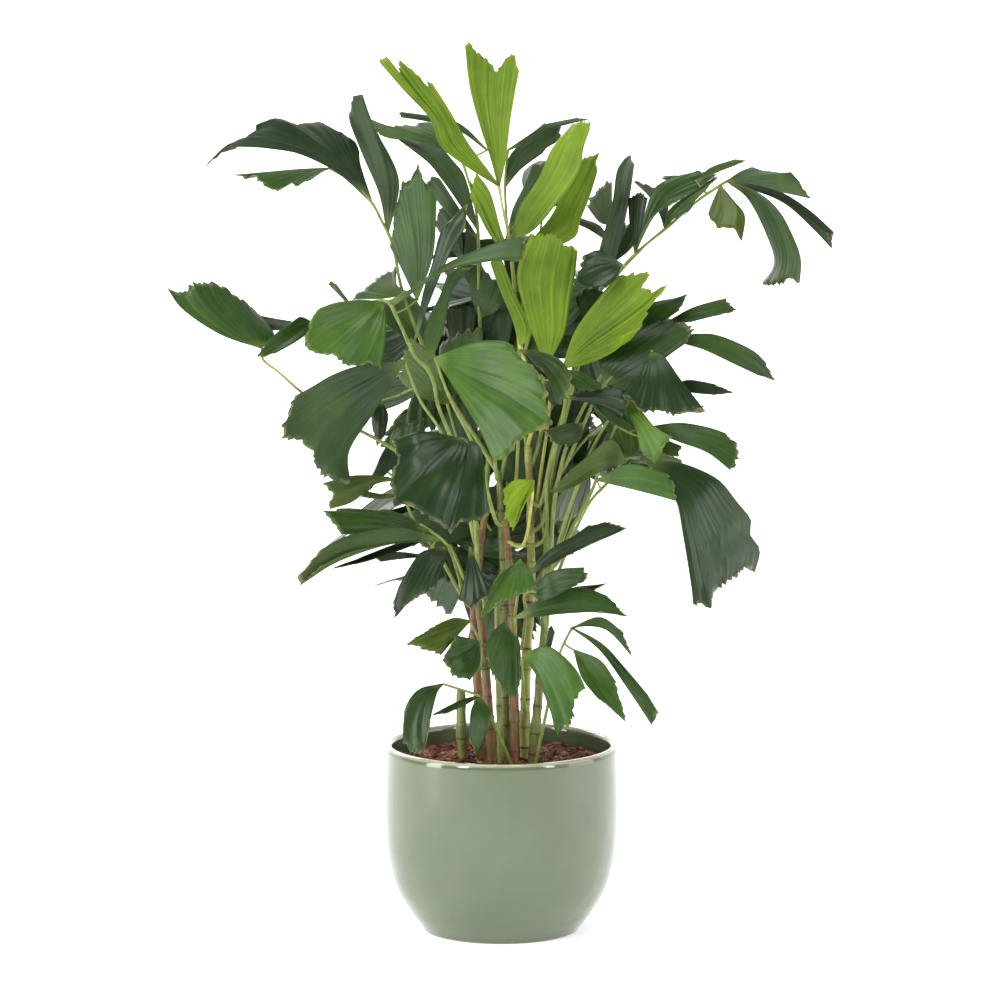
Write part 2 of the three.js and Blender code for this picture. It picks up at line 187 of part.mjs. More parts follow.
    blades: [
      [[174.9,-90,624.6], [[199.7,-107.4,605.5],[219.5,-123.5,576.1],[228.1,-137.8,533.9],[238.1,-148.7,472.1],[240.7,-150,448.1]], [[249.6,-146.9,447.6],[261.1,-141.4,441.6],[267.7,-128.8,459.8],[284.6,-113.2,468.7],[297.7,-99.4,474.1],[304.5,-82.9,485.5]], [[197.5,-92,621],[225.3,-93,618.6],[272.1,-91,598],[297.6,-86.1,567.9],[315.7,-80.6,544],[314.7,-76.4,525.4],[327.7,-69.8,503.9],[322,-60,472.8]], 3, 4],
      [[120.6,-100,598], [[161.7,-118.5,621.1],[209.2,-130,610.1]], [[216.6,-135.8,595.7]], [[174.3,-123.5,587.6],[219.2,-136,576.8]], 2, 3],
      [[157.2,-84.4,619], [[132.3,-68.8,657.2],[112.3,-52.3,690.7]], [[139.9,-65.2,684.8]], [[175.1,-78.1,639.4],[171.4,-70,663.8]], 2, 3],
      [[157.2,-84.4,619], [[139.3,-101.7,650.4],[111.5,-114.7,632],[86.4,-119.3,612.3]], [[60.1,-110.5,583]], [[124.3,-103.2,608.7],[99.1,-111.8,594.7],[76.4,-113.5,584.8]], 2, 3],
    ] },
  { name: 'frond_20', tone: 'blue', tip: 1.50, foot: 2.69,
    stalk: [[23.5,-122,765.8],[24.5,-71,699.7],[21.4,-29,631.9],[15.9,-11,557],[4.8,-20,534.6]],
    blades: [
      [[23.5,-122,765.8], [[48.4,-150.8,750.6],[60.8,-162,729.5],[68.3,-163,705.7]], [[73.2,-163.8,702.1],[86.9,-164.5,723.5]], [[54.6,-151.2,765.8],[75.7,-162.1,757.1],[86.9,-162.6,739.6]], 2, 3],
      [[23.5,-122,765.8], [[36,-116.6,750],[54.8,-130.9,731.7]], [[61,-132.2,729.3]], [[26,-115.6,765],[48.5,-130.1,746.7]], 1, 2],
    ] },
  { name: 'frond_21', tone: 'dark', tip: 1.50, foot: 2.82,
    stalk: [[76.4,-88,736.1],[80.3,-86,702.9],[74.2,-70,657.4],[57.7,-47.7,589.8],[54.1,-32.7,510.4],[8.1,-20.1,501.9]],
    blades: [
      [[76.4,-88,736.1], [[99,-98.1,734.9],[126.6,-100,720]], [[129.1,-102.8,712.7]], [[83.9,-99.6,725],[98.9,-104,710.4]], 1, 2],
      [[80.2,-85.4,700.7], [[111.6,-95.6,709.2],[139.1,-103.4,715.3],[155.4,-105.5,711.8]], [[158.6,-133.9,698]], [[124,-107.1,694.3],[151.5,-118.7,679.4]], 2, 3],
      [[111.6,-96,699.1], [[136.6,-106.9,694.3],[167.9,-114.2,669.9]], [[170.3,-121.8,663.4]], [[130.3,-112.6,678.6],[161.5,-124,662.4]], 1, 2],
      [[55.2,-76,721.9], [[56.4,-81.2,703.5],[64,-80,690.6]], [[76.5,-85.1,691.3]], [[63.9,-81.6,717.5],[74,-84,702.6]], 1, 2],
      [[103.4,-60,663.6], [[80.5,-72.7,665.4],[52.7,-80,657.5]], [[64,-84,644.1]], [[99.4,-74.5,645.3],[83,-80,637.1]], 1, 2],
    ] },
  { name: 'frond_22', tone: 'young', tip: 1.50, foot: 2.35,
    stalk: [[39.8,-140,602.7],[38.8,-120.9,575.6],[27.7,-60.9,508.7],[7.6,-20.1,507.4]],
    blades: [
      [[39.8,-140,602.7], [[17.2,-162,607.3],[2.2,-170,595.8]], [[4.7,-174.4,564.9],[14.7,-174.9,544.8]], [[39.7,-158.2,594],[29.7,-170,583.2]], 2, 3],
    ] },
  { name: 'frond_23', tone: 'dark', tip: 1.50, foot: 2.21,
    stalk: [[49.7,26,546.9],[56.1,22,476.2],[46.9,25.5,437.5],[36.4,8,416.9]],
    blades: [
      [[49.7,26,546.9], [[-1.6,40.9,583.5],[-27.2,40.6,628.9]], [[-1.6,44.1,647.8],[30.5,43.8,647.9]], [[56.1,38.6,583.9],[56.1,39.5,629.1]], 3, 4],
      [[55.2,22.8,477], [[43.3,34.7,526.1],[37,56.7,574.7]], [[56.2,57.3,626.5],[75.5,56.4,637]], [[70.2,29.8,526.9],[83.2,51.9,588.4]], 2, 3],
    ] },
  { name: 'frond_24', tone: 'dark', tip: 1.50, foot: 2.37,
    stalk: [[-103.2,-40,532.6],[-87.9,-44,522.9],[-68.9,-48,506.8],[-55.5,-22.7,466.9],[-45.5,-2.7,424.8],[-34,13.6,422.6]],
    blades: [
      [[-69,-46.7,505.8], [[-90.3,-65.2,503.2],[-102.9,-71.7,500.3],[-128,-86.7,464.3],[-138.1,-90,443.1]], [[-134.3,-98.8,422.8],[-112.6,-106.7,444.6]], [[-68.7,-65.8,496.8],[-77.3,-96.2,478.7],[-82.3,-110,463.1]], 2, 3],
      [[-90.7,-43.3,524.6], [[-128.3,-57.4,544.3],[-153.6,-60.5,552.4],[-191.6,-60,554.9]], [[-225.3,-75.4,554.7],[-216.4,-80.3,544],[-202.4,-86.2,527]], [[-109.3,-60.8,525.6],[-140.7,-77.6,524.4],[-178.3,-90,525]], 2, 3],
      [[-103.2,-40,532.6], [[-128.6,-37.1,545],[-147.8,-30,550.3]], [[-163,-34,548.4]], [[-122.2,-40.4,537.8],[-147.7,-34,543.2]], 1, 2],
      [[-74.9,-47.7,512.9], [[-128,-77.1,533.2],[-190.7,-98.9,527.7],[-228.3,-110,510.3]], [[-257.3,-116,476.9],[-253.5,-116.5,466.7]], [[-134.3,-81.5,514.7],[-190.7,-103.3,506.7],[-228.3,-116,489.6]], 2, 3],
      [[-82.6,-45.5,518.9], [[-128.2,-69.7,512.9],[-172.1,-90,499.5]], [[-216.3,-94,483.5]], [[-128.2,-72.2,504.3],[-172,-94,492.4]], 1, 2],
      [[-96.9,-44,492], [[-128.4,-59.2,499.6],[-153.6,-66,498.2]], [[-159.9,-70,493.7]], [[-128.4,-61.4,491],[-153.6,-70,488.5]], 1, 2],
    ] },
  { name: 'frond_25', tone: 'dark', tip: 1.50, foot: 2.21,
    stalk: [[-39.4,-90,509.7],[-28.6,-58.5,473.5],[-21.1,-28.5,417],[-28,-21.9,427.7]],
    blades: [
      [[-39.4,-90,509.7], [[-45.7,-110.4,478.5],[-54.5,-120,448.2]], [[-36.8,-127.4,436.6]], [[-24.2,-115.7,479.4],[-14.1,-126,455.5]], 2, 3],
    ] },
  { name: 'frond_26', tone: 'green', tip: 1.50, foot: 2.35,
    stalk: [[23.6,-140,502.4],[21.7,-98.7,459.3],[15.5,-48.7,405.8],[14.4,-17.9,409.1]],
    blades: [
      [[23.6,-140,502.4], [[-5.3,-174.4,486.5],[-19,-190,460]], [[-26.5,-192.6,438.9],[-1.6,-191.9,455.2]], [[36,-164.7,493.8],[44.7,-180,473.5]], 2, 3],
    ] },
  { name: 'frond_27', tone: 'green', tip: 1.50, foot: 2.44,
    stalk: [[74.1,-116,452.6],[32.5,-118,458],[31,-54.8,417.4],[24.8,-14.8,365.3],[15,-17.8,381.7]],
    blades: [
      [[37.3,-113.2,454.8], [[55,-132,480.8],[73.8,-137.1,490.5],[105.2,-140,493.5]], [[108.9,-147.5,480.8]], [[55,-136.8,451],[88.8,-150,468.5]], 2, 3],
      [[74.1,-116,452.6], [[93.5,-73.7,457],[112.4,-77.9,459]], [[135.3,-75,462.4]], [[93.4,-77.6,446.1],[114.9,-79.9,453]], 1, 2],
    ] },
  { name: 'frond_28', tone: 'dark', tip: 1.50, foot: 2.15,
    stalk: [[33.8,-90,475.1],[50.2,-85.3,438],[58.1,-55.3,394.2],[55.1,-22.1,395.3]],
    blades: [
      [[33.8,-90,475.1], [[61.6,-95.9,508.1],[93.1,-94,526.9],[109.5,-90,539.1]], [[137.2,-98.6,544.3],[159.8,-104,537.5]], [[67.8,-104.5,494.1],[111.8,-110,519.3]], 2, 3],
    ] },
  { name: 'frond_29', tone: 'green', tip: 1.50, foot: 2.27,
    stalk: [[17.4,-110,423.4],[17.7,-58.2,375.4],[17.8,-28.2,324.7],[16.2,-17.8,326.9]],
    blades: [
      [[17.4,-110,423.4], [[55.1,-121.9,452.3],[99.1,-125.7,465.7],[133.2,-123,453.8]], [[159.4,-136.8,430.6]], [[48.8,-125.4,428.6],[73.9,-133.7,432.6],[124.1,-140,436.2]], 1, 3],
    ] },
  { name: 'frond_30', tone: 'green', tip: 1.50, foot: 2.07,
    stalk: [[-39.7,-60,411],[-27,-62,383],[-28.3,-45.1,347.6],[-20.6,-22,348.8]],
    blades: [
      [[-39.7,-60,411], [[-58.6,-79.9,418.3],[-77.5,-90,414.9]], [[-119.2,-99.2,388.2],[-96.4,-100.5,380.8]], [[-54.8,-81.4,396.7],[-76.2,-100,374.2]], 2, 3],
      [[-28.7,-61.3,385.1], [[-42.1,-88,394],[-58.4,-100,399.9]], [[-73.6,-104.9,368.7],[-62.3,-104.1,348]], [[-26.9,-88.8,359.4],[-39.5,-100,342.1]], 2, 3],
    ] },
  { name: 'frond_31', tone: 'green', tip: 1.50, foot: 2.26,
    stalk: [[4.8,-70,411.4],[6,-47.6,371.8],[7.4,-17.6,321.1],[5.1,20.2,320.8]],
    blades: [
      [[4.8,-70,411.4], [[-7.9,-96.2,405.7],[-21.7,-120,390.6]], [[-14.2,-126.9,357.3],[2.2,-127.8,334.4],[18.6,-125.8,321.2]], [[14.9,-86.5,397.6],[22.5,-93.8,392.4],[26.2,-120,345.8]], 2, 3],
    ] },
  { name: 'frond_32', tone: 'green', tip: 1.50, foot: 2.42,
    stalk: [[49,-112,367.4],[27.5,-118,377.4],[27.5,-96.2,340.3],[30.3,-36.2,293],[30.8,8,290.6]],
    blades: [
      [[26.9,-117.3,376.1], [[42.5,-140.8,358.5],[61.4,-150,319.3]], [[70.1,-160.9,281.7],[90.2,-163.7,302.7],[93.9,-162.8,328]], [[55.1,-139.2,392.7],[76.4,-150.2,383.2],[96.4,-158.1,362.9],[106.5,-160,341.6]], 2, 3],
      [[49,-112,367.4], [[56.5,-111.9,389.2],[60.3,-106,409.9]], [[64.1,-108.6,415.5]], [[60.3,-113.3,380.5],[67.9,-108,405.2]], 1, 2],
    ] },
  { name: 'frond_33', tone: 'green', tip: 1.50, foot: 2.45,
    stalk: [[89.9,-60,402],[74.8,-55,368.8],[60.9,-50,307.1],[42.2,-40.7,214]],
    blades: [
      [[89.9,-60,402], [[121.5,-72.6,381],[149.4,-83.1,349.3],[178.5,-90,315.8]], [[191.2,-92.9,281.5],[200,-93.1,298.4]], [[127.9,-74.1,383.8],[156.9,-84.6,354.8],[186,-92,321.3]], 1, 3],
      [[89.9,-60,402], [[125.5,-56.2,415.5],[153.7,-50,396.4]], [[167.7,-53.1,363.3]], [[125.5,-57.1,407.9],[149.8,-52,389]], 1, 2],
      [[92.5,-64,374.3], [[102.3,-94.7,345],[121.1,-110,323.4]], [[159.1,-110.2,287.4]], [[125.1,-89,365.8],[144,-100,342.1]], 2, 3],
    ] },
  { name: 'frond_34', tone: 'blue', tip: 1.50, foot: 2.35,
    stalk: [[-73.9,-80,333.3],[-49.8,-80,325.6],[-26.9,-84,317.3],[-14.3,-70,291.4],[16.8,-45.6,214]],
    blades: [
      [[-73.9,-80,333.3], [[-105.4,-95.7,328.5],[-123.1,-105.6,303.3],[-121.8,-110,273.2]], [[-124.3,-114.2,262.4],[-110.3,-119.2,249.2],[-97.6,-121.2,253.5]], [[-81.4,-94.9,325.7],[-90,-120,294.4]], 2, 3],
      [[-28.4,-84.2,318.5], [[-49.7,-92.6,315],[-71.2,-100.8,306.2]], [[-90.3,-97.2,295.2]], [[-45.9,-90.4,308.2],[-68.7,-97.3,299.1]], 1, 2],
      [[-28.4,-84.2,318.5], [[-38.2,-109.8,302.8],[-39.5,-125.2,269.7]], [[-29.4,-120.7,246.9]], [[-12.9,-102.3,297.5],[-23.1,-109.6,264.1]], 2, 3],
    ] },
  { name: 'frond_35', tone: 'dark', tip: 1.50, foot: 2.51,
    stalk: [[-148.6,20,593.1],[-104.1,30,552.8],[-65.7,30,494.4],[-40,22,437.2],[-31.9,13.1,445.9]],
    blades: [
      [[-74.6,30.7,509.7], [[-48.5,35.9,489.7],[-20.6,37.3,477.4],[3.7,35.5,474.1],[28.6,31.1,476.1]], [[31.5,24.7,483.5],[18.4,16.5,490.7],[25.1,14.9,495.9],[15.2,16.5,503],[20,19.7,507.7],[7.3,31.8,513.6],[10,38.8,517.9]], [[-49.4,50.2,517.1],[-23.8,61.4,520.4],[-5.8,65.1,520.6]], 2, 3],
      [[-51.6,26.6,462.4], [[-19.5,57.1,446.8],[6.7,88,424.2],[22.3,114.5,400],[33.1,143.6,371.3]], [[27.7,147.8,363.6],[15.2,152,370.8],[13.1,152.8,361.2],[0.4,151.4,365.6],[-2.9,149,358.2],[-17.3,141.4,365.9],[-21.9,136.3,360.5]], [[-51,59.4,427.2],[-44.4,94.1,394.7],[-36.8,120.4,373.2]], 2, 3],
      [[-86.5,31.1,529], [[-66.9,36.7,507],[-51.2,46.4,482.4],[-43.8,56.4,459.6],[-40.5,69,434.7]], [[-45.8,66.6,431.3],[-53.4,62.2,442.8],[-56.6,59.8,436.1],[-64.9,56.8,444.2],[-68.8,55.3,439.2],[-78,52.6,449.7],[-82.4,51.6,446.4]], [[-93.4,32.3,502.7],[-93.7,40.5,477.5],[-91.4,49.5,459.7]], 2, 3],
      [[-64,29.5,489.8], [[-37.7,48.4,491.1],[-13.3,57.9,489.1],[5.8,59.7,483.6],[23.9,56.1,475.2]], [[24.1,52.3,470.2],[12.6,45.9,471.3],[15.9,43.3,466],[6.3,40.8,464.2],[8.2,40.1,459.1],[-3.7,40.4,457.5],[-3.3,41.2,452.5]], [[-47.6,48.9,469.9],[-30.3,52,457.4],[-17.2,45.8,452]], 2, 3],
      [[-137.3,22.8,583.5], [[-119.5,13.3,602.1],[-105.9,8.8,621.8],[-99.5,7.7,639.6],[-96.7,9,658.4]], [[-101.1,8.3,661.7],[-107.5,7.7,653],[-110.3,8,658.8],[-117.4,9.2,652.4],[-120.6,10.4,656.7],[-128.5,13.8,647.8],[-132.3,15.7,650.5]], [[-142.1,16.3,605.9],[-142.1,17.6,625.9],[-139.9,22,638.8]], 2, 3],
    ] },
  { name: 'frond_36', tone: 'dark', tip: 1.50, foot: 2.91,
    stalk: [[-97.6,60,783.9],[-81,58,717.1],[-59.3,50,640.5],[-37.5,40,564.2],[-27.9,21.1,501.2],[-26,11.1,498.2]],
    blades: [
      [[-68.5,53.8,672.7], [[-73,23.5,705.2],[-83.5,4.5,733.8],[-97.5,-5.1,752.5],[-115.3,-9.8,767.3]], [[-121.9,-1.6,763.3],[-117.3,12,749.3],[-125.3,19.4,748.7],[-124,28.8,736.1],[-130.8,33.8,734.5],[-127.8,42.3,719.7],[-133.5,45.4,717]], [[-93.4,39.7,680.7],[-114.6,42.3,692.3],[-127.5,51.7,701.3]], 2, 3],
      [[-44.5,44,590.2], [[-33.6,36.1,619.2],[-30.3,31.5,650.2],[-34.3,28.9,674.8],[-43.3,27.3,698.4]], [[-50.7,38.3,697.7],[-52.6,56.5,681],[-59.6,65.4,684.6],[-64,76,671.4],[-70.8,80.9,673.7],[-74.6,87.6,658.1],[-81,89.2,658.8]], [[-63,58.7,606],[-76.2,75.9,626.4],[-82.7,89.3,641.4]], 2, 3],
      [[-88.5,59.3,746.6], [[-116.7,38.5,760],[-139.3,26.5,773.2],[-153.8,21.4,788.1],[-164.9,20.1,806]], [[-161.7,31,810.7],[-151.2,47.1,803.5],[-150.8,55.3,810.1],[-140.5,64.4,806.9],[-138.9,68.5,812.8],[-126.7,73.4,808.4],[-123.9,74.2,813.6]], [[-93.8,54.2,776],[-102.6,61.4,795.7],[-110.9,72.5,807.2]], 2, 3],
      [[-81.3,57.9,718.7], [[-102.7,43.5,702.3],[-116.4,46.1,678.6],[-121.4,58.7,655.9],[-121.7,81.5,630.5]], [[-115.1,82.1,627.2],[-108.4,83.6,637.7],[-103.7,84.9,631.2],[-95.6,87,638.8],[-90.5,88.7,633.8],[-81.9,92.2,643.7],[-76.2,94.2,640.4]], [[-72.1,49.9,698.7],[-68.2,70.6,672.9],[-68.5,99.5,653]], 2, 3],
      [[-97.6,60,783.9], [[-113,69.3,751.4],[-132.8,70,727.3],[-153.6,65.3,714.5],[-177.4,55.6,707.5]], [[-183.7,61.9,712.8],[-174.8,73,722.7],[-183.7,80.4,724.7],[-178.6,91.3,735.3],[-185.9,98.5,738.2],[-178.4,112.8,749.9],[-184.1,119.9,754.1]], [[-128.5,103.5,780.2],[-155.5,128.1,772.9],[-173,137.5,765.6]], 2, 3],
      [[-73.7,55.6,691], [[-84.7,76.9,714.1],[-90.5,97.7,733.4],[-91.5,115.3,749.8],[-89.6,133.8,766.2]], [[-85.4,131.9,768],[-82.7,128.4,758.1],[-79.3,127,763],[-75.4,125.6,755.1],[-71.9,125.1,758.3],[-67.9,125,748],[-64.5,125.3,749.7]], [[-67,82,710.4],[-62.7,108.1,725.8],[-61.3,127.4,736.9]], 2, 3],
      [[-79,57.4,709.4], [[-104.4,77.3,686.4],[-131.8,100.3,667.2],[-156.4,121.5,656.1],[-182.5,145.5,648.2]], [[-186.2,142.8,653.3],[-173.4,137.3,661.7],[-180.7,135,664.5],[-171.5,132.2,673.2],[-176.9,131.1,676.6],[-164.7,129.6,686],[-168.2,129.4,690]], [[-107.2,79.4,710.4],[-134.1,107.1,705.3],[-152.9,130.2,699]], 2, 3],
      [[-68.5,53.8,672.7], [[-47,38.3,702],[-31.3,32.4,727.9],[-24.5,33.4,750.5],[-22.8,39.9,773.9]], [[-28.9,38.7,777.9],[-36.4,38.6,766.3],[-40.6,39.8,773.3],[-49.4,43.3,764.6],[-54.1,46.3,769.5],[-63.6,54.7,757.4],[-68.9,59.3,760.4]], [[-77.2,48.6,704.6],[-79.2,58.8,728.7],[-77.9,74.1,744.3]], 2, 3],
    ] },
  { name: 'frond_37', tone: 'dark', tip: 1.50, foot: 3.00,
    stalk: [[126.2,50,857.2],[111.1,55,782],[90.7,50,692.3],[70.2,42,602.8],[57.6,-1.9,517],[60.3,-20.3,473.8]],
    blades: [
      [[91.5,50.6,696.3], [[107.3,82,664.9],[113.6,102.3,630.8],[111,112.6,604.3],[102.3,117.8,579]], [[93.8,123.2,577.1],[90.8,130.5,590.7],[82.9,133.7,585.1],[77.1,136.4,596.7],[69.5,137.1,593.3],[64.1,136.1,608.5],[56.7,134.5,607.6]], [[72.7,95,672.2],[59.4,119.6,645],[53.2,128.2,626.1]], 2, 3],
      [[108.4,54.3,770.3], [[94.9,65.3,734.6],[90,79,702.5],[93.6,92.4,676.6],[103.3,108.5,650.9]], [[111.7,107.7,650.3],[114.4,107.2,664.7],[122.1,107.5,659.8],[127.7,108.8,671.4],[135.2,110,668.3],[140.2,113.3,682.5],[147.5,115.4,681.3]], [[129,75.5,743.2],[143.4,100.8,717.4],[150.4,121.5,697.8]], 2, 3],
      [[121.3,52,832.4], [[110.2,34.4,808.9],[95.6,22.9,789.1],[79.7,17,776.5],[61.2,13.9,766.7]], [[56.1,9.1,770.8],[62.8,0.9,781.9],[55.6,-3.2,783.1],[59.3,-8.1,793.5],[53.5,-10.4,795.5],[59.1,-13.8,807.2],[54.5,-14.8,810.2]], [[96.8,17.8,833],[76,-4.7,828.3],[62.7,-15.6,822.3]], 2, 3],
      [[123.7,51,844.8], [[146,45.4,859.4],[163,44,872.5],[173.2,45.3,886.2],[180.3,49,901.9]], [[176.8,50.6,906.1],[168.8,54.4,899.8],[167.5,57.3,905.5],[159.3,62.3,901.7],[157.4,65.8,906.3],[148.1,73.7,900.4],[145.2,77.7,903.9]], [[125.5,60.4,868.7],[130.3,75.3,885.2],[135.7,89,895.3]], 2, 3],
      [[74.5,45.1,622.4], [[83.3,36.3,643.1],[93.6,43.3,656.7],[104.4,59.6,664.3],[117,85.8,669]], [[119.9,79.2,668.4],[114.9,65,663.4],[119.2,58.9,664.5],[116.3,50.9,659.3],[119.8,47.6,659.4],[115.6,42.3,652.6],[118.3,41.3,651.4]], [[90.2,19.9,633.4],[103.6,23.4,639.9],[112.4,40.7,643.4]], 1, 2],
    ] },
  { name: 'frond_38', tone: 'dark', tip: 1.50, foot: 2.32,
    stalk: [[-40,40,551.2],[-1.6,40,492.8],[24.1,28,436.2],[37.5,8,444.9]],
    blades: [
      [[-4.4,40.4,497.6], [[14.4,49.3,524.9],[37.4,58.4,543.1],[59.6,66.2,551],[84,74.7,553.3]], [[89,79,545.6],[78.3,84.3,535.2],[86.4,86.3,530.5],[79.3,87.4,519.8],[85.5,87,514.6],[75.7,84.1,503.3],[80,81.6,497.8]], [[23.1,52.2,489.5],[49.3,64.4,486.7],[66.9,73.3,488]], 2, 3],
      [[15.5,33.5,454.3], [[14.5,38.6,430.6],[19.1,47.9,404.4],[26.8,58.3,383.8],[37.7,71.5,364]], [[42.6,68.7,364.7],[40.7,63.3,377.3],[46.2,61,374.7],[46.4,58.4,385.1],[51.3,57.4,383.8],[50.5,56.3,396.1],[54.8,56.2,396.1]], [[31.1,36.3,442.5],[44.4,46.4,424.4],[52.2,57.6,409.8]], 2, 3],
      [[-17.5,40.6,517.9], [[-50.5,26.6,535.4],[-80.8,24.5,541.8],[-105.7,30.1,539.3],[-130.6,42.6,530.6]], [[-132,33.6,524.8],[-117.5,19.9,523.9],[-123.1,14.6,518.2],[-111.7,10.6,513.5],[-115.3,10.3,507.4],[-101,14.4,501.5],[-102.7,18,494.9]], [[-43.4,21.2,506.4],[-67.8,22.6,495.4],[-85.6,34,488.8]], 2, 3],
      [[15.5,33.5,454.3], [[-9.5,36.7,434.5],[-28.2,45.4,409.7],[-38.2,55.5,385.9],[-43.9,68.6,359.3]], [[-38.6,64.8,355.4],[-29.5,57.1,367.6],[-26.8,52.7,360.7],[-17.3,46.3,369.2],[-13.7,42.6,363.9],[-3,34.9,375.3],[1.4,31.8,371.7]], [[18.2,21.5,429.5],[16.2,19.8,404.3],[12.1,23,386.4]], 2, 3],
      [[15.5,33.5,454.3], [[-7.4,60.5,425.4],[-22,74.6,395.7],[-26.3,77.9,370.8],[-24.8,74.1,346]], [[-17.1,79.8,341.6],[-10,86.5,353.2],[-4,88.9,345.6],[4.9,89.7,354.8],[11.1,88.8,349.9],[20.6,83.8,363.1],[27.3,79.9,360.5]], [[28.4,64.5,423.1],[34.5,72.5,395.5],[35.4,67.1,378.2]], 2, 3],
    ] },
  { name: 'frond_39', tone: 'dark', tip: 1.50, foot: 2.95,
    stalk: [[177.4,30,682.1],[139.3,38,642.2],[103.6,38,577.5],[77.9,24,501.8],[41.6,29.7,416],[56.8,-21.8,418.4]],
    blades: [
      [[76.1,25.4,498.6], [[39.2,47.1,491.5],[11,69.3,472.4],[-7.4,82.8,451.9],[-21.7,92.7,427.9]], [[-17.6,92.3,420.7],[-4.1,92.9,427.6],[-3.8,94.2,418.1],[9.2,97.2,420.7],[11,99.7,412.4],[26.2,106.3,416.7],[29.6,109.9,409.6]], [[66.9,67.4,467.4],[56.1,102.7,435.8],[45.7,121,416.6]], 2, 3],
      [[111.2,38.3,592.6], [[91.7,4.2,586],[75.8,-15.9,570.2],[67,-26.1,553.7],[61.8,-31,534.8]], [[66.1,-21.7,529.6],[73.8,-2.8,535.4],[75.9,7.8,527.4],[84,23.4,530.8],[86.9,32.1,524.6],[96.1,50.6,529.9],[99.7,58,525.2]], [[114.6,38.6,574.3],[112.5,57.3,550.3],[109,78.6,532.9]], 2, 3],
      [[169.5,31.8,674.2], [[140.2,12.9,657.5],[119.1,0.3,638.1],[108.1,-7.4,618.1],[101.7,-13,595.2]], [[107.6,-13.5,590],[117.5,-13.5,599.8],[120.7,-12.9,591.6],[131.3,-11.2,597.6],[135.3,-9.8,590.9],[147.3,-5.9,599.1],[152.2,-3.7,594]], [[171.3,14.1,646.2],[168.8,5.4,621.7],[164.2,3,605]], 2, 3],
      [[169.5,31.8,674.2], [[173.9,32.7,705],[172,38,733.5],[164.7,44.8,754.9],[153,54,774.5]], [[146.1,53.3,774.2],[146.8,52.7,760.6],[139.7,53,764.2],[137.7,54.3,752.4],[131.2,55.4,753.9],[130.2,58.8,739.3],[124.3,60.6,738.9]], [[149,39.5,690.7],[133.8,53.6,708.3],[125.5,67,721.6]], 2, 3],
      [[127.2,38.8,622.3], [[143.2,23.8,611.4],[159.9,16.8,602.3],[174.8,13.7,597.8],[190.6,13,595.4]], [[193.1,15.9,598.2],[185.4,23.4,601.9],[190.2,28.2,603.1],[184.7,36.3,607.3],[188.3,40.9,608.8],[181.1,52.9,613],[183.4,57.6,615.1]], [[145.6,44.4,624.9],[162.5,59.7,622.3],[174.2,74,618.4]], 2, 3],
      [[101.4,37.3,572.3], [[99.7,53.3,546.4],[97.4,69.6,522.5],[91.9,81.4,504.2],[83.8,92,486.8]], [[79.6,89.3,487.3],[80.6,82.4,498.4],[76,78.6,496.2],[75.3,72.2,505.5],[71.3,68.8,504.5],[71.2,60.2,516.2],[67.5,57,516.5]], [[85.1,41.9,556.8],[74.8,45.5,541.4],[69,46,530.2]], 2, 3],
      [[97.9,35,561.8], [[86.8,32.3,574.7],[81.1,36.2,585.4],[79,41.8,594.5],[78.9,50,603.9]], [[81.4,46.8,605.7],[84.1,41.4,601.2],[85.8,38.8,604.6],[89.1,35.8,601.1],[91.2,34.5,603.4],[94.6,32.8,598.6],[96.8,32.6,599.9]], [[98.8,26.7,576.2],[100.2,28.3,586.7],[100,33,593.5]], 1, 2],
    ] },
  { name: 'frond_40', tone: 'dark', tip: 1.50, foot: 2.83,
    stalk: [[26.8,115,800.6],[20.4,100,711.6],[12.6,75,624],[6.2,45,550.5],[-1.3,15.6,555.8]],
    blades: [
      [[22.4,104.9,738.4], [[46,100.1,761.1],[71.9,95.4,778.3],[95.4,90.8,786],[120.3,85.5,788.6]], [[124.3,81.4,782.5],[112.2,78,775],[119.6,78.6,770.5],[111.2,83.1,760.8],[116.9,87.7,755.3],[105.6,101.8,743.4],[109.5,110,736.8]], [[50.4,118.7,726.8],[76.9,130.1,723.3],[95.1,136.8,724]], 2, 3],
      [[9.8,62.1,587.2], [[16.2,71,555.8],[17.3,84,525.8],[12.7,96.5,501.4],[3.9,110.9,477.8]], [[-2.3,104.1,478.4],[-3.1,91.2,493.5],[-9.2,84.7,490.4],[-12.1,75.7,502.6],[-17.8,71.3,500.8],[-20.1,63,515.6],[-25.5,60.1,515.4]], [[-7.7,53.1,568.2],[-19.8,51.8,547.9],[-26,53.6,532.3]], 2, 3],
      [[26.1,113.4,790.2], [[11.6,119.8,818.8],[4,129.7,846.3],[4.1,140.2,868.9],[9.2,153.3,891.3]], [[16,151.9,893.2],[19.9,150,880],[25.8,149.5,885.8],[31.7,149.6,875.3],[37.5,150.1,879],[43.3,152.1,865.4],[49.3,153.4,867.2]], [[40.9,125,813.3],[50,142.5,835],[53.6,158.1,850.4]], 2, 3],
      [[16.5,88.3,666.9], [[12.7,107.5,629.7],[3.2,119.3,597.3],[-10.1,123.9,574.1],[-27.6,123.7,554.2]], [[-34.3,118.5,556.7],[-30.1,110.1,572.5],[-38.1,107.1,570.6],[-37.2,104.9,583.7],[-44.2,105,583.1],[-41.6,108.2,598.1],[-47.6,110.6,599]], [[-9,111.9,648.4],[-29.8,122,629.1],[-42.2,121.7,614.8]], 2, 3],
    ] },
  { name: 'frond_41', tone: 'dark', tip: 1.50, foot: 3.00,
    stalk: [[-66.4,231,768],[-58.2,190.1,754.3],[-50.4,151,736],[-43.1,114.5,712.5],[-36.5,81.9,683.9],[-36.9,88.6,650.4],[-35,80.9,612.7],[-29.5,51.5,571.6],[-19.7,8.6,544.5]],
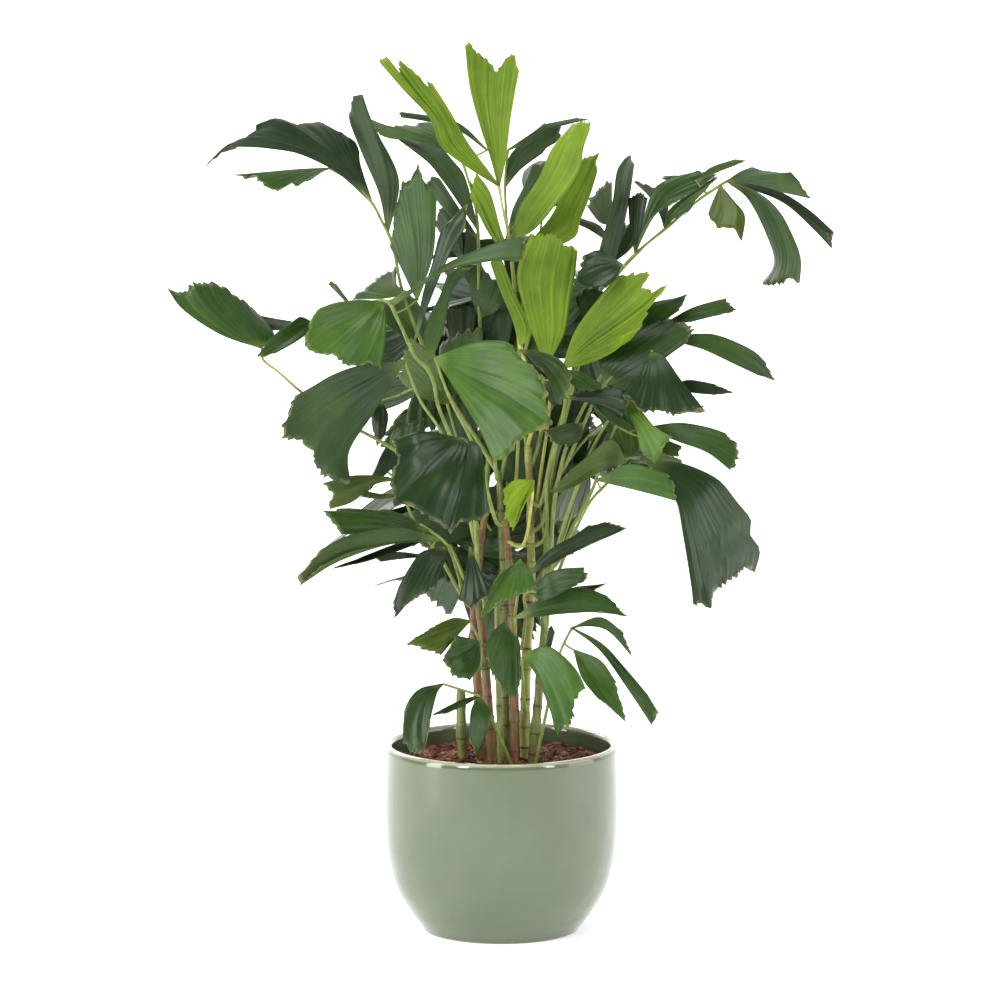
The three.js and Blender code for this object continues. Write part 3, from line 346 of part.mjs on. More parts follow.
    blades: [
      [[-66.4,231,768], [[-45.9,282.8,755.6],[-48.2,329.7,740.5],[-60.7,366.8,727.7],[-80.8,405.4,714.1]], [[-89.4,402.2,718.4],[-92.9,382.4,728.9],[-106.4,384.3,729.3],[-111.6,364.9,737.2],[-119.7,366.2,736],[-120.7,341.1,745],[-132.2,339.9,743.6]], [[-98.8,260.2,767.1],[-121.2,292.4,759.7],[-135.1,316.4,750.8]], 2, 3],
      [[-56.9,183.3,751.3], [[-82.2,233.7,759],[-112.8,265.9,746.9],[-141.2,284.5,729.7],[-173.8,299.4,706.9]], [[-177.3,291.1,703.9],[-169.4,275,708.2],[-172.4,266.9,703.5],[-164.3,246.7,703.6],[-168.3,240.1,695.9],[-151.7,221.4,702.8],[-154.7,213.8,694.3]], [[-92,180.5,731],[-122.9,187.4,710.5],[-143.5,196.2,694.6]], 2, 3],
      [[-51.6,157.2,739], [[-33.1,207.8,726.6],[-1.5,242.7,711.4],[30.9,265.1,698.7],[69.6,285.2,684.6]], [[73.4,278.6,689],[63.4,263.6,698.8],[71.6,265.9,696.5],[65.4,240.7,708.4],[66,237,709.4],[54.4,218.3,717.6],[60.1,210.8,717.8]], [[-11.6,166.5,739.7],[24.2,181.2,732.9],[49.2,193.1,724.6]], 2, 3],
      [[-46.6,132.2,724.5], [[-100.8,116.7,718],[-149.8,119.8,703.6],[-188.3,131.2,689],[-228.4,149.1,671.4]], [[-224.6,157,673.7],[-205.3,161.3,682.3],[-209.7,167.7,679.6],[-183.8,175.5,687.9],[-184.6,182.7,685.4],[-157.9,184,693.7],[-155.3,195.2,689.9]], [[-76.4,162.4,717.9],[-109.8,183,706.8],[-134.8,195.4,695.8]], 2, 3],
      [[-41.8,108.2,708.1], [[-25.7,154.1,690.5],[-0.3,181.6,667.1],[25.8,195.8,645.6],[57,205.7,621.3]], [[61.2,200.8,621.9],[57.8,183.3,633.5],[63.8,175.8,632],[55.4,158,643.7],[59.5,152,641.7],[50.1,134.5,652],[54,126.1,649.5]], [[-5.2,102.8,692.5],[25.3,106.9,673.9],[45.4,112,657.9]], 2, 3],
      [[-37.5,87,688.8], [[-57.9,120.8,662.3],[-86.9,139.2,639],[-115.6,146.7,621.3],[-149.3,149.9,603.2]], [[-157.1,142.5,607.4],[-146.5,133.6,620.9],[-151.9,128.1,622.3],[-139,118.4,635.6],[-143.2,113.3,636.3],[-135.2,94.4,649.9],[-139,90.9,649.1]], [[-73.9,78.4,683],[-105.6,78.5,671.8],[-127.3,79.4,660.4]], 2, 3],
    ] },
  { name: 'frond_42', tone: 'green', tip: 1.50, foot: 2.78,
    stalk: [[-2.7,195,749.4],[-2.4,161.8,738.1],[-2.2,130.1,723.3],[-2,100.6,704.4],[-1.8,74.2,681.4],[-6.3,5.2,654.6],[-8.2,-31.8,624.4],[-6.1,-24.8,591.6],[-2.5,14.3,581.2]],
    blades: [
      [[-2.7,195,749.4], [[-32.1,240,743.8],[-42.1,283.5,728.7],[-40.9,319.3,712.8],[-33.7,357.6,693.4]], [[-21.9,357.5,693.8],[-15.8,342.1,701.6],[-4.8,345.9,697.7],[4.8,324,706.3],[11.6,328,701.9],[21.4,302.1,710.6],[26.7,304,707.2]], [[20.5,227.1,737.9],[32.6,260.1,723.7],[38.3,284.2,710.9]], 2, 3],
      [[-2.4,161.6,737.8], [[-37.2,197.9,718.5],[-75.6,216.8,694.2],[-109.4,223,671.8],[-147,223.7,646.2]], [[-151.1,215,647],[-137.2,199.4,661.4],[-139.7,196.8,660],[-127.6,181.5,670.2],[-127.5,172.6,670.2],[-111.5,159,680.9],[-114.4,158.3,678.7]], [[-39.2,144.2,722.6],[-73.9,139.7,704.2],[-97.8,139.1,688]], 2, 3],
      [[-2.3,135.9,726], [[45.6,128.6,715.1],[81.8,133.4,692.3],[106.7,144,668.8],[130.4,159.4,640.7]], [[128.5,167,637.5],[110.3,171.5,648.3],[110.2,176.9,643.6],[85.8,184.9,650.8],[85.3,184.3,651.8],[62.4,188.7,658.7],[57.9,192.9,655.5]], [[10.4,164.2,704],[28.5,182.8,680.8],[42.7,193.1,662.4]], 2, 3],
      [[-2.1,117.4,715.8], [[-18.8,161.9,702],[-45.1,195.4,683.5],[-72.2,217.1,666],[-104.6,236.6,645.5]], [[-110.6,230.9,646.9],[-103.2,215.7,657.3],[-107.1,212.4,657],[-102.1,195.8,665],[-106.3,189.5,664.4],[-95.8,169.7,674.1],[-101.8,163.1,671.5]], [[-39.9,122.1,705.3],[-71.2,135.9,691.7],[-92.3,147.5,679.2]], 2, 3],
      [[-1.9,94.6,699.1], [[54.8,103.9,685],[91.9,128.5,662.3],[113.6,156.9,641.4],[131.2,192.4,617.8]], [[126.6,200.7,617.5],[105.6,195.2,631.4],[103.1,205,627.7],[76.2,198.6,640.9],[70.6,202.8,640],[46.3,197,649.1],[38.8,201.9,647.2]], [[-1.5,138.9,687],[9,174.3,669.3],[18.9,197.4,653.4]], 2, 3],
      [[-1.9,78.5,685.5], [[-42.9,90,662.7],[-69.5,115.7,645.6],[-85.8,143,634],[-99.5,176.3,623.2]], [[-93,183.4,630.8],[-82.5,176.2,640.3],[-81,176.6,641.5],[-65.3,174,652.9],[-61.6,178.4,654.5],[-46.8,165.3,664.8],[-40.2,174.9,666.4]], [[-7.8,112.8,686.5],[-17.9,143.8,681.8],[-25.7,165.5,675.1]], 2, 3],
    ] },
  { name: 'frond_43', tone: 'dark', tip: 1.50, foot: 3.00,
    stalk: [[79,226.5,821.1],[71,185.9,807.1],[63.4,147.1,788.5],[56.3,111,764.9],[49.9,78.6,736.2],[54.1,46.9,702.8],[53.8,23.4,665.1],[46.9,10.1,624.1],[35.4,6.6,592.3]],
    blades: [
      [[79,226.5,821.1], [[118.8,267.5,811.5],[133.9,313.2,802.8],[135.3,353.4,797.2],[129.8,398.1,792.5]], [[121,401.9,796.9],[110.7,383.5,805.6],[100.3,388,808.5],[89.5,367,815.3],[76.5,371.1,817],[65.4,349.7,822.3],[57.8,348.8,823.2]], [[58.6,265.1,829.8],[48.8,303.8,830.4],[43.8,332.3,827]], 2, 3],
      [[69.9,180.2,804.4], [[21.6,193,788.1],[-9.5,218.8,768.3],[-27.3,247.2,752],[-41.5,282.2,734.6]], [[-36.5,284.7,738],[-20.7,279.1,750.1],[-15.8,293.1,748.2],[4.2,285.8,759.9],[8.4,288.4,760.5],[29.3,282.9,769.5],[35.3,286.3,769.6]], [[70.1,222.3,800.5],[61.6,256.2,789.2],[53.8,279,777.7]], 2, 3],
      [[64.9,154.7,792.4], [[112,188.4,799.6],[159,210.7,789.4],[198.2,223.3,773.2],[240.7,233.4,750.9]], [[240,219.1,744.6],[223,210,751.4],[227.8,204.9,744.2],[207.1,188.6,746.4],[210.8,184.3,738.8],[184.8,167.7,741.9],[184.1,165.5,739.7]], [[102.6,145.7,771.5],[140.1,147.6,752.7],[167,152.9,738.2]], 2, 3],
      [[60.1,130.4,778.2], [[31.9,176.3,796.9],[-7.6,210.4,805.5],[-45.9,232,808.1],[-90.8,251.3,807.9]], [[-98.2,243.8,807.1],[-81.3,222.3,805.8],[-86.8,221,804.8],[-73.9,199.3,800.6],[-77.8,196.6,798.9],[-60.9,175.8,793.8],[-65.5,170.3,790.2]], [[15.5,128.7,780.6],[-25.1,139.2,783.1],[-53.9,150.3,782.9]], 2, 3],
      [[54.2,101.8,757.5], [[103,96.6,754],[146,102.6,741.6],[179.3,114.4,728.1],[213.6,131.4,711.4]], [[209.9,137.8,712.7],[192.3,139.5,720.1],[194.2,147.1,717.4],[172.5,148.4,724.6],[171.8,153.4,722.7],[152.1,151.6,729.3],[149.8,162.8,724.1]], [[79,131.6,750.8],[107.2,150.7,739.9],[128.5,162.3,729.7]], 2, 3],
      [[50.1,80.9,738.4], [[38.1,121.1,783.1],[7.5,152.8,809.1],[-26.4,173.9,823.5],[-68.1,193.3,834.6]], [[-73.2,186.2,830.8],[-66.9,165.5,818.2],[-77,163.1,815],[-70.4,143.8,799.5],[-77.9,143,796.6],[-62.6,122,779.1],[-76,117.7,768.6]], [[4.2,80.1,743],[-35.4,90.7,750.9],[-62.8,102.9,756.5]], 2, 3],
    ] },
  { name: 'frond_44', tone: 'dark', tip: 1.50, foot: 2.77,
    stalk: [[13.3,219.5,647.6],[11.1,185,649.9],[9,150.5,646.9],[7,117.2,637.8],[5,86.3,622.3],[-14.6,69.7,600.6],[-23.4,52.7,573.3],[-16.8,34.2,541.7],[-0.5,16.5,536.8]],
    blades: [
      [[13.3,219.5,647.6], [[-15.1,251.2,615.4],[-20,281,582.5],[-13.1,305.7,555.9],[1.1,332.4,527.8]], [[5.2,332.1,531.2],[16.1,325.1,546.6],[22.1,325.9,547.7],[34.8,315.9,562.6],[46.6,316.2,562.6],[53.8,299.9,581.3],[59.4,300.1,580.4]], [[41.2,246,633.2],[58.7,270.5,612.4],[69.1,286.8,594.2]], 2, 3],
      [[10.5,174.8,649.6], [[-25.1,170.7,625.5],[-52,180,599.2],[-70.7,194.1,576.8],[-88.4,213.3,552.3]], [[-88,218.1,552.5],[-75.9,220.4,567.1],[-75.7,227.7,564.8],[-61.2,226.9,580],[-61.3,230.8,577.9],[-46.9,226.1,593.3],[-41.8,238.1,590.6]], [[-2.4,201.6,636.5],[-17.5,221.9,618.8],[-28.4,234.8,603.5]], 2, 3],
      [[8.8,147.1,646], [[49.5,144.3,634.4],[81.2,147.7,612.4],[103.3,153.8,589.6],[124.6,162.3,562.1]], [[122.1,166.5,560.1],[105.7,170.8,569.6],[106.5,173.7,564.8],[91.3,176,573],[87.3,180.2,568.4],[71.7,179.7,579.4],[65.3,182.1,578.2]], [[20.9,165.7,623.1],[37.5,177.7,600.2],[50.5,183.8,582.8]], 2, 3],
      [[7.3,120.2,638.6], [[-43.8,120.3,634.3],[-85.3,136.2,624],[-115.5,156.9,613.7],[-145.4,184,601.3]], [[-141.4,187.4,603.2],[-123.3,186.2,610.6],[-123,196.9,609.1],[-100.2,195.2,615.6],[-99.8,202.7,613.5],[-75.4,195.5,620.2],[-73.1,205.7,616.8]], [[-10.2,155,636.3],[-33.3,182.3,629.4],[-51.6,200.3,621.6]], 2, 3],
      [[6.2,89.7,624.8], [[30.3,73.9,592.3],[48.3,72.7,557.5],[61.3,80,528.5],[74,92.9,497.2]], [[74.1,101.3,500.1],[68.4,106.9,516.4],[70.4,110.2,510.6],[61.8,117.6,529.6],[60.3,123.9,529.9],[50.9,131.4,545.8],[47.9,141,544.6]], [[19.8,116.6,605.4],[32.3,132.3,580.9],[39.9,141.4,561]], 2, 3],
    ] },
  { name: 'frond_45', tone: 'dark', tip: 1.50, foot: 2.57,
    stalk: [[-118,141.8,562.7],[-102.8,118.7,557.9],[-88.1,96.2,549.6],[-74.2,75.1,537.3],[-61.6,55.9,521],[-42.3,48.6,500.9],[-30.3,39.5,477.5],[-28,26.9,451.4],[-30.7,12.7,457.5]],
    blades: [
      [[-118,141.8,562.7], [[-116.8,199.5,552],[-130.5,242,528.9],[-149.6,270.3,504.8],[-175,296.4,476.1]], [[-183.7,288.5,476.3],[-184.6,268.7,486.5],[-192.8,265,482.2],[-194.7,239.8,490.3],[-199.2,236.3,487.2],[-195.7,217.4,496.1],[-206.3,206.4,487.5]], [[-155.8,152.7,541],[-183.4,171.6,517.6],[-200.1,187.2,498.6]], 2, 3],
      [[-98.7,112.4,556], [[-139.5,123.4,537.3],[-174.6,118.2,516.3],[-201.3,105.8,498.4],[-228.4,87.5,478.8]], [[-228,80.1,480.5],[-214.4,80.2,492],[-212.3,73.5,493.6],[-195.7,67,504.5],[-194.9,61.3,503.8],[-176.1,56.4,514],[-173.9,55.3,515]], [[-119.1,84.3,547.9],[-142.2,64.5,534.7],[-158.9,52,522.4]], 2, 3],
      [[-87,94.7,548.6], [[-39.4,108.4,551.5],[-4.3,128.8,538.6],[18.7,149.3,521.3],[39.6,173.6,498.7]], [[36.5,178.8,494.6],[16,174.8,499.5],[11.6,180.1,493.4],[-8.2,172.7,498.8],[-15.8,177,490.9],[-32.5,168.2,496.9],[-40.1,171.4,488.6]], [[-82.3,124.4,526.5],[-68.8,149,506.4],[-56.3,164.5,491]], 2, 3],
      [[-76.1,77.8,538.9], [[-112,53.2,522.2],[-148.6,48.3,505.5],[-179.2,53,492.3],[-212.4,63.4,478.7]], [[-214.4,72.4,482.5],[-200.3,78,493.1],[-203.7,85.1,493.4],[-187.1,88.8,503],[-185.7,96.1,504.9],[-168.7,103.6,513.8],[-167.8,108.9,514.5]], [[-104.5,97.7,537.2],[-133.6,110.5,529.5],[-154.5,118.2,520.8]], 2, 3],
      [[-64.2,58.6,524.2], [[-58.1,107.2,510.3],[-37.4,142.8,493.7],[-13.1,167.1,479.6],[17.4,189.8,464.1]], [[22.3,189.4,464.4],[19.2,169.1,477.9],[26.7,168.1,477.2],[20.8,149.5,487.2],[33.4,144.5,485.5],[17.8,128,496.1],[28,122.4,494.7]], [[-28,71.3,521.3],[1.7,88.7,512.2],[21.8,102.4,502.6]], 2, 3],
    ] },
  { name: 'frond_46', tone: 'dark', tip: 1.50, foot: 2.76,
    stalk: [[153.5,140.9,651.1],[132.2,116.4,640.2],[111.8,92.9,625.7],[92.8,71.1,607.3],[75.7,51.5,584.9],[64.4,53.3,558.6],[54.2,47.7,529.1],[45,31,497],[38.1,8,501.1]],
    blades: [
      [[153.5,140.9,651.1], [[164.6,196.6,647],[192.4,237.9,640.8],[223.3,265.7,635.6],[261.5,291.5,629.9]], [[269.7,287.6,632.8],[257.1,266,640.4],[268.5,262.1,641.8],[258.1,242.9,646.8],[268.3,233.8,647.6],[254.2,213.3,651.7],[260.6,205.3,651.7]], [[195.1,151.4,657.3],[230.8,169.9,657.2],[255.8,185.3,653.7]], 2, 3],
      [[126.6,110,636.7], [[144.5,153.7,624.2],[143.6,191.4,605.9],[133.4,220,589],[116.5,249.1,569.8]], [[106.9,245.6,572.5],[100.5,231.5,581.1],[95.6,230.4,580.9],[88.3,214.5,588.2],[78.3,213.8,585],[74.5,190.8,595.2],[69.7,188.9,593.9]], [[95.6,130.3,626.2],[75.7,154.3,612.1],[64,172.2,599.2]], 2, 3],
      [[110.6,91.6,624.6], [[143,66.6,607.4],[178.8,59.1,594.7],[210,60.1,586.5],[244.6,65.9,579.2]], [[245.2,69.3,582.5],[233.2,77.5,594],[234.7,80.6,595.5],[220.9,85.9,603.4],[222.1,93.2,606.6],[204.9,98.3,614.2],[205.2,105.7,616.7]], [[140.6,103.1,629.3],[170.7,110.3,627.7],[192.6,114.7,623.4]], 2, 3],
      [[95.6,74.2,610.1], [[88.3,117.3,588.6],[66.2,150.8,575.2],[40.8,174.1,568.5],[8.9,196.4,564.2]], [[3.6,196,568.1],[11.1,180.1,580.6],[4.7,177.8,585.1],[11.2,162.3,594.6],[3.3,158.4,599.1],[11.8,137.8,609.3],[6.2,137.4,610.4]], [[61.1,87,620.5],[31.8,104.7,622.1],[10.8,118.1,619.6]], 2, 3],
      [[79.1,54.4,590.2], [[124.5,35.8,593.2],[165.5,36.2,587.1],[197.3,45.8,578.6],[230.2,62,567.5]], [[226.3,70.4,568.1],[209.7,75.9,571.9],[208.1,87.4,569.1],[190,91.9,571.4],[189.1,97.8,569],[169.4,106.9,567.9],[165.1,110.4,566.6]], [[101.1,84.7,582.7],[127.6,104.3,574.3],[148.1,115.4,566.2]], 2, 3],
    ] },
  { name: 'frond_47', tone: 'dark', tip: 1.50, foot: 2.74,
    stalk: [[-26.1,193.6,574],[-15.2,161.6,575.3],[-4.4,129.8,571.6],[6.1,99.1,562],[15.8,70.7,546.3],[26.6,95.2,524.7],[34.3,96,497.9],[37.7,62.6,467],[38.1,8.1,473]],
    blades: [
      [[-26.1,193.6,574], [[-15.1,241.2,550.9],[-22.6,281.3,524.9],[-37.5,311.7,502.7],[-59.1,342.4,478.3]], [[-69.6,342.7,479.6],[-67.5,326.4,494.2],[-77.4,327.4,492.8],[-75.6,306,509.5],[-86.3,303.9,508.7],[-87.4,285.1,520.8],[-96.9,281.2,520]], [[-57.6,217.5,563.5],[-80.7,243.8,547],[-95.2,262.8,531.9]], 2, 3],
      [[-11.9,152,574.4], [[-43.2,181,570.5],[-73.5,198.4,554.9],[-98.6,207.1,537.3],[-125.6,212.8,515.1]], [[-127.7,206.7,512.2],[-114.7,194.5,520.7],[-118.6,190.1,515.1],[-104.4,176.4,521.4],[-105.2,175.7,520.1],[-92.9,161.3,521.8],[-91.9,157.6,519.4]], [[-37.2,143.4,555.9],[-61.6,143.5,537.6],[-78.6,146.4,523.3]], 2, 3],
      [[-3.9,128.4,570.9], [[10.5,177.3,556.8],[32,210.5,531.1],[54.2,229.9,505.3],[80.9,245.7,474.7]], [[89.3,237.5,471.4],[82.8,219.3,485.5],[88.6,218.3,479.7],[84.3,194.3,489.9],[86,194.5,487.9],[78.6,173.6,498.4],[80.6,167.6,496]], [[30.8,126.1,547.1],[58.1,135,522],[75.2,144,502]], 2, 3],
      [[5.8,99.9,562.3], [[-36.3,84.5,554.6],[-69.4,79.9,534],[-93.2,82.8,512],[-116.8,90.2,485.5]], [[-114,98.6,483.4],[-101.6,103.9,491.8],[-101.1,112.9,484.3],[-84.9,118.4,493.7],[-79.8,125,490.5],[-61.3,131.5,498],[-61.8,133.1,495.3]], [[-10.6,123.4,540.3],[-29.6,135.1,517.6],[-43.8,140.3,500]], 2, 3],
      [[14.3,78.1,548.9], [[33.9,128.7,550.4],[57.1,165.2,532],[78.9,187.7,508.8],[104.1,206.8,479.1]], [[107.9,197.1,475.2],[103,176.2,480.5],[107.6,177.7,474.3],[100.1,151.1,478],[103.7,144,467.9],[92.7,124.6,476.7],[93.4,115.6,468.7]], [[44.4,75.5,519.2],[69.5,86.3,491.9],[85.1,97.7,471.6]], 2, 3],
    ] },
  { name: 'frond_48', tone: 'dark', tip: 1.50, foot: 2.51,
    stalk: [[-63.9,169,461],[-59.1,143.8,466.9],[-54.1,118,468.4],[-49.2,92.4,464.7],[-44.6,68.3,455.4],[-35.2,55.4,440.5],[-29.7,41.9,420.7],[-29.7,27.1,397],[-34.9,14,399.2]],
    blades: [
      [[-63.9,169,461], [[-49.2,206.8,439.3],[-48.7,238.7,412.2],[-55.1,262.8,387.7],[-66.2,287.1,359.8]], [[-73.8,287.8,358.7],[-78.1,273.5,374.5],[-85.8,273.9,371.6],[-85.9,261.1,384.9],[-93.7,260.5,381.9],[-98.5,244.5,394.5],[-102.5,241.1,395.2]], [[-85.9,189.5,443.4],[-99.9,211,422.4],[-107.8,226.3,405.1]], 2, 3],
      [[-56.4,129.9,468.1], [[-75.9,163.4,449.2],[-96.9,180.1,423.8],[-115.7,186.6,400.4],[-136.9,189,373.8]], [[-140.9,183.7,371.8],[-133.3,174.1,386],[-137.1,164.9,383.5],[-129.8,152.5,394.8],[-133.2,146.9,389.9],[-123.4,137.3,402.9],[-123.6,131.7,401.6]], [[-80.9,120.9,449.5],[-101.7,119,428.2],[-115.2,119.6,411.1]], 2, 3],
      [[-51.8,106,467.4], [[-12.4,106.3,451.2],[12.4,115.6,427.1],[26.5,127.8,404],[37.7,143.9,377.2]], [[33.1,147.6,378.2],[20,150.8,386.1],[17.3,152.9,385.5],[5.5,152.9,393.7],[-3.2,157.1,392.7],[-20.2,157.3,400.5],[-24.3,158.9,399.6]], [[-51.6,129.9,446.1],[-45.1,147.7,423.9],[-38.9,158,406.3]], 2, 3],
      [[-47,78.9,460.3], [[-82.6,66.2,456.9],[-114.4,68.7,448.5],[-138.8,77.5,439.6],[-163.9,91.2,428.9]], [[-162.9,98.4,429.3],[-147.9,99.5,435.4],[-147.9,104.2,434.7],[-134.7,109.3,437.9],[-132.6,121.6,433.9],[-117.7,117,440],[-112.7,123.6,438.4]], [[-63.7,100.6,455],[-84,116.3,447.8],[-99.5,125.6,440.6]], 2, 3],
    ] },
  { name: 'frond_49', tone: 'dark', tip: 1.50, foot: 2.93,
    stalk: [[53.5,134.7,914.4],[49.9,111.1,882.4],[46.6,89.1,849.4],[43.6,69,815.1],[40.9,51,779.6],[30.1,41.5,742.9],[24.6,31.1,705.2],[26.6,18.8,666.6],[34.6,6.2,613.4]],
    blades: [
      [[53.5,134.7,914.4], [[30.4,187.7,936.7],[27.9,242,948.5],[35.6,287.3,954.3],[50.2,336.4,957.8]], [[59,334.7,957.9],[66,309.2,955.7],[72.8,315.4,955.2],[81.5,288.2,950.3],[91.9,289.5,947.1],[93.8,263.3,942.5],[107.2,264.9,936.9]], [[83.5,170,922.1],[102.3,209.7,928.1],[112.6,240.5,930.2]], 2, 3],
      [[49.2,106.1,875.1], [[15.6,131.3,863.5],[-21.2,142.7,856.7],[-53.5,145.1,852.7],[-89.5,143.1,849.5]], [[-93.6,136.6,854],[-75.4,130.8,861],[-80.4,125.7,863],[-64.3,118,868.9],[-67.8,113.8,870],[-48.7,104.6,875.7],[-51.9,98.2,876.9]], [[18,94.4,881.1],[-12.9,90.5,883],[-35.7,88.5,881.4]], 2, 3],
      [[46.3,87,846.1], [[85.5,63.8,837.3],[121.1,58.8,821.4],[149.4,63.4,805.8],[179.1,73.9,787.6]], [[177.9,81.2,788.8],[164.6,87,797],[164.2,100.6,794.9],[150,103.3,802.3],[147.9,113.8,799.9],[131.7,118.2,806.9],[127.4,128.5,804.2]], [[70.1,111,835.2],[95.3,125.2,821.5],[113.8,132.8,809.3]], 2, 3],
      [[43.9,69.5,816.1], [[6.4,104.9,813.1],[-34.8,121.6,802.6],[-71,127.4,792.1],[-111.3,128.6,779.7]], [[-116.5,119.5,780.9],[-98.4,110.2,789.1],[-105.8,101.3,787.6],[-86.5,92.3,794.6],[-85.4,89,795],[-67.9,75.9,800.1],[-69.6,67.4,798.5]], [[7.2,58.8,816.3],[-28.3,55.4,809.6],[-54,55.2,802]], 2, 3],
      [[41,54.1,785.1], [[56.5,98.7,792.3],[84.4,125.9,794],[113.1,140.8,794.7],[147.4,152,795.2]], [[151.8,144.2,797.4],[140.7,128.5,799.6],[146.6,125.7,799.9],[138.6,106.3,800.4],[147,98.4,799.1],[132,85.3,798.9],[135.2,77.7,797.5]], [[75.6,50.7,793],[107.1,55.6,795.8],[129.5,61.8,795.3]], 2, 3],
    ] },
];

// ---- helpers ----
const vec = (p) => new THREE.Vector3(p[0], p[1], p[2]);

function solidOf(geometry) {
  const g = geometry.index ? geometry.clone() : geometry;
  g.deleteAttribute('normal');
  g.deleteAttribute('uv');
  const m = mergeVertices(g, 1e-4);
  const solid = new wasm.Manifold(new wasm.Mesh({
    numProp: 3,
    vertProperties: new Float32Array(m.attributes.position.array),
    triVerts: new Uint32Array(m.index.array),
  }));
  return solid;
}

function geometryOf(solid) {
  const m = solid.getMesh();
  const n = m.vertProperties.length / m.numProp;
  const position = new Float32Array(n * 3);
  for (let i = 0; i < n; i += 1) {
    for (let k = 0; k < 3; k += 1) position[i * 3 + k] = m.vertProperties[i * m.numProp + k];
  }
  const g = new THREE.BufferGeometry();
  g.setAttribute('position', new THREE.BufferAttribute(position, 3));
  g.setIndex(new THREE.BufferAttribute(new Uint32Array(m.triVerts), 1));
  g.computeVertexNormals();
  return g;
}

// A round rod along a curve whose radius is radiusAt(0..1): a capped cylinder, bent.
function rod(curve, radiusAt, sides, steps) {
  const g = new THREE.CylinderGeometry(1, 1, 1, sides, steps, false);
  const p = g.attributes.position;
  const frames = curve.computeFrenetFrames(steps, false);
  for (let i = 0; i < p.count; i += 1) {
    const t = THREE.MathUtils.clamp(0.5 - p.getY(i), 0, 1);
    const j = Math.round(t * steps);
    const c = curve.getPointAt(j / steps);
    const a = frames.normals[j];
    const b = frames.binormals[j];
    const r = radiusAt(t);
    const x = p.getX(i) * r;
    const z = p.getZ(i) * r;
    p.setXYZ(i, c.x + a.x * x + b.x * z, c.y + a.y * x + b.y * z, c.z + a.z * x + b.z * z);
  }
  const solid = solidOf(g);
  if (solid.volume() > 0) return solid;
  const m = mergeVertices(g, 1e-4);
  const ix = m.index.array;
  for (let i = 0; i < ix.length; i += 3) { const swap = ix[i]; ix[i] = ix[i + 1]; ix[i + 1] = swap; }
  return solidOf(m);
}

function alongLine(points, u) {
  const lengths = [0];
  for (let i = 1; i < points.length; i += 1) lengths.push(lengths[i - 1] + points[i].distanceTo(points[i - 1]));
  const want = u * lengths[lengths.length - 1];
  let k = 1;
  while (k < points.length - 1 && lengths[k] < want) k += 1;
  const span = lengths[k] - lengths[k - 1];
  return points[k - 1].clone().lerp(points[k], span > 0 ? (want - lengths[k - 1]) / span : 0);
}

// A leaflet: a thin box bent onto the surface held between its two side edges and its margin.
function blade(spec, thickness) {
  const [base, leftPoints, marginPoints, rightPoints, across, along] = spec;
  const foot = vec(base);
  const left = new THREE.CatmullRomCurve3([foot, ...leftPoints.map(vec)], false, 'centripetal');
  const right = new THREE.CatmullRomCurve3([foot, ...rightPoints.map(vec)], false, 'centripetal');
  const leftCorner = vec(leftPoints[leftPoints.length - 1]);
  const rightCorner = vec(rightPoints[rightPoints.length - 1]);
  const margin = [leftCorner, ...marginPoints.map(vec), rightCorner];
  // the narrow foot lies square to the way the blade leaves its stalk
  const left1 = left.getPointAt(1 / along);
  const right1 = right.getPointAt(1 / along);
  const out = left1.clone().add(right1).multiplyScalar(0.5).sub(foot).normalize();
  const side = left1.sub(right1);
  side.addScaledVector(out, -side.dot(out)).normalize().multiplyScalar(1.5);
  const S = [];
  for (let i = 0; i <= across; i += 1) {
    const u = i / across;
    const end = alongLine(margin, u).sub(leftCorner.clone().lerp(rightCorner, u));
    S.push([]);
    for (let j = 0; j <= along; j += 1) {
      const v = j / along;
      const w = (1 - v) * (1 - v);
      const l = left.getPointAt(v).addScaledVector(side, w);
      const r = right.getPointAt(v).addScaledVector(side, -w);
      S[i].push(l.lerp(r, u).addScaledVector(end, v ** 1.4));
    }
  }
  const g = new THREE.BoxGeometry(1, 1, 1, across, along, 1);
  // both broad sides split their cells along the same diagonal, so a twisted cell keeps its thickness
  const back = g.groups[5];
  const ix = g.index.array;
  for (let k = back.start; k < back.start + back.count; k += 6) {
    const [a, b, d, , c] = ix.slice(k, k + 5);
    ix.set([a, b, c, a, c, d], k);
  }
  const p = g.attributes.position;
  const du = new THREE.Vector3();
  const dv = new THREE.Vector3();
  for (let k = 0; k < p.count; k += 1) {
    const i = Math.round((p.getX(k) + 0.5) * across);
    const j = Math.round((p.getY(k) + 0.5) * along);
    du.subVectors(S[Math.min(i + 1, across)][j], S[Math.max(i - 1, 0)][j]);
    dv.subVectors(S[i][Math.min(j + 1, along)], S[i][Math.max(j - 1, 0)]);
    const n = du.cross(dv).normalize().multiplyScalar(p.getZ(k) * thickness);
    p.setXYZ(k, S[i][j].x + n.x, S[i][j].y + n.y, S[i][j].z + n.z);
  }
  return solidOf(g);
}

const boxesMeet = (a, b) => [0, 1, 2].every((k) => a.min[k] <= b.max[k] && b.min[k] <= a.max[k]);
const largest = (solid) => solid.decompose().reduce((best, s) => (s.volume() > best.volume() ? s : best));

// ---- materials ----
const paint = (color, roughness, metalness = 0) => new THREE.MeshStandardMaterial({ color, roughness, metalness });
const TONES = {
  young: paint(0x8fae3c, 0.42), green: paint(0x4f7a34, 0.38), dark: paint(0x2f4f2a, 0.32),
  blue: paint(0x58755a, 0.4), olive: paint(0x6b7a35, 0.45),
};

const plant = new THREE.Group();
plant.name = 'potted_fishtail_palm';
function addPiece(name, geometry, material) {
  const mesh = new THREE.Mesh(geometry, material);
  mesh.name = name;
  plant.add(mesh);
}

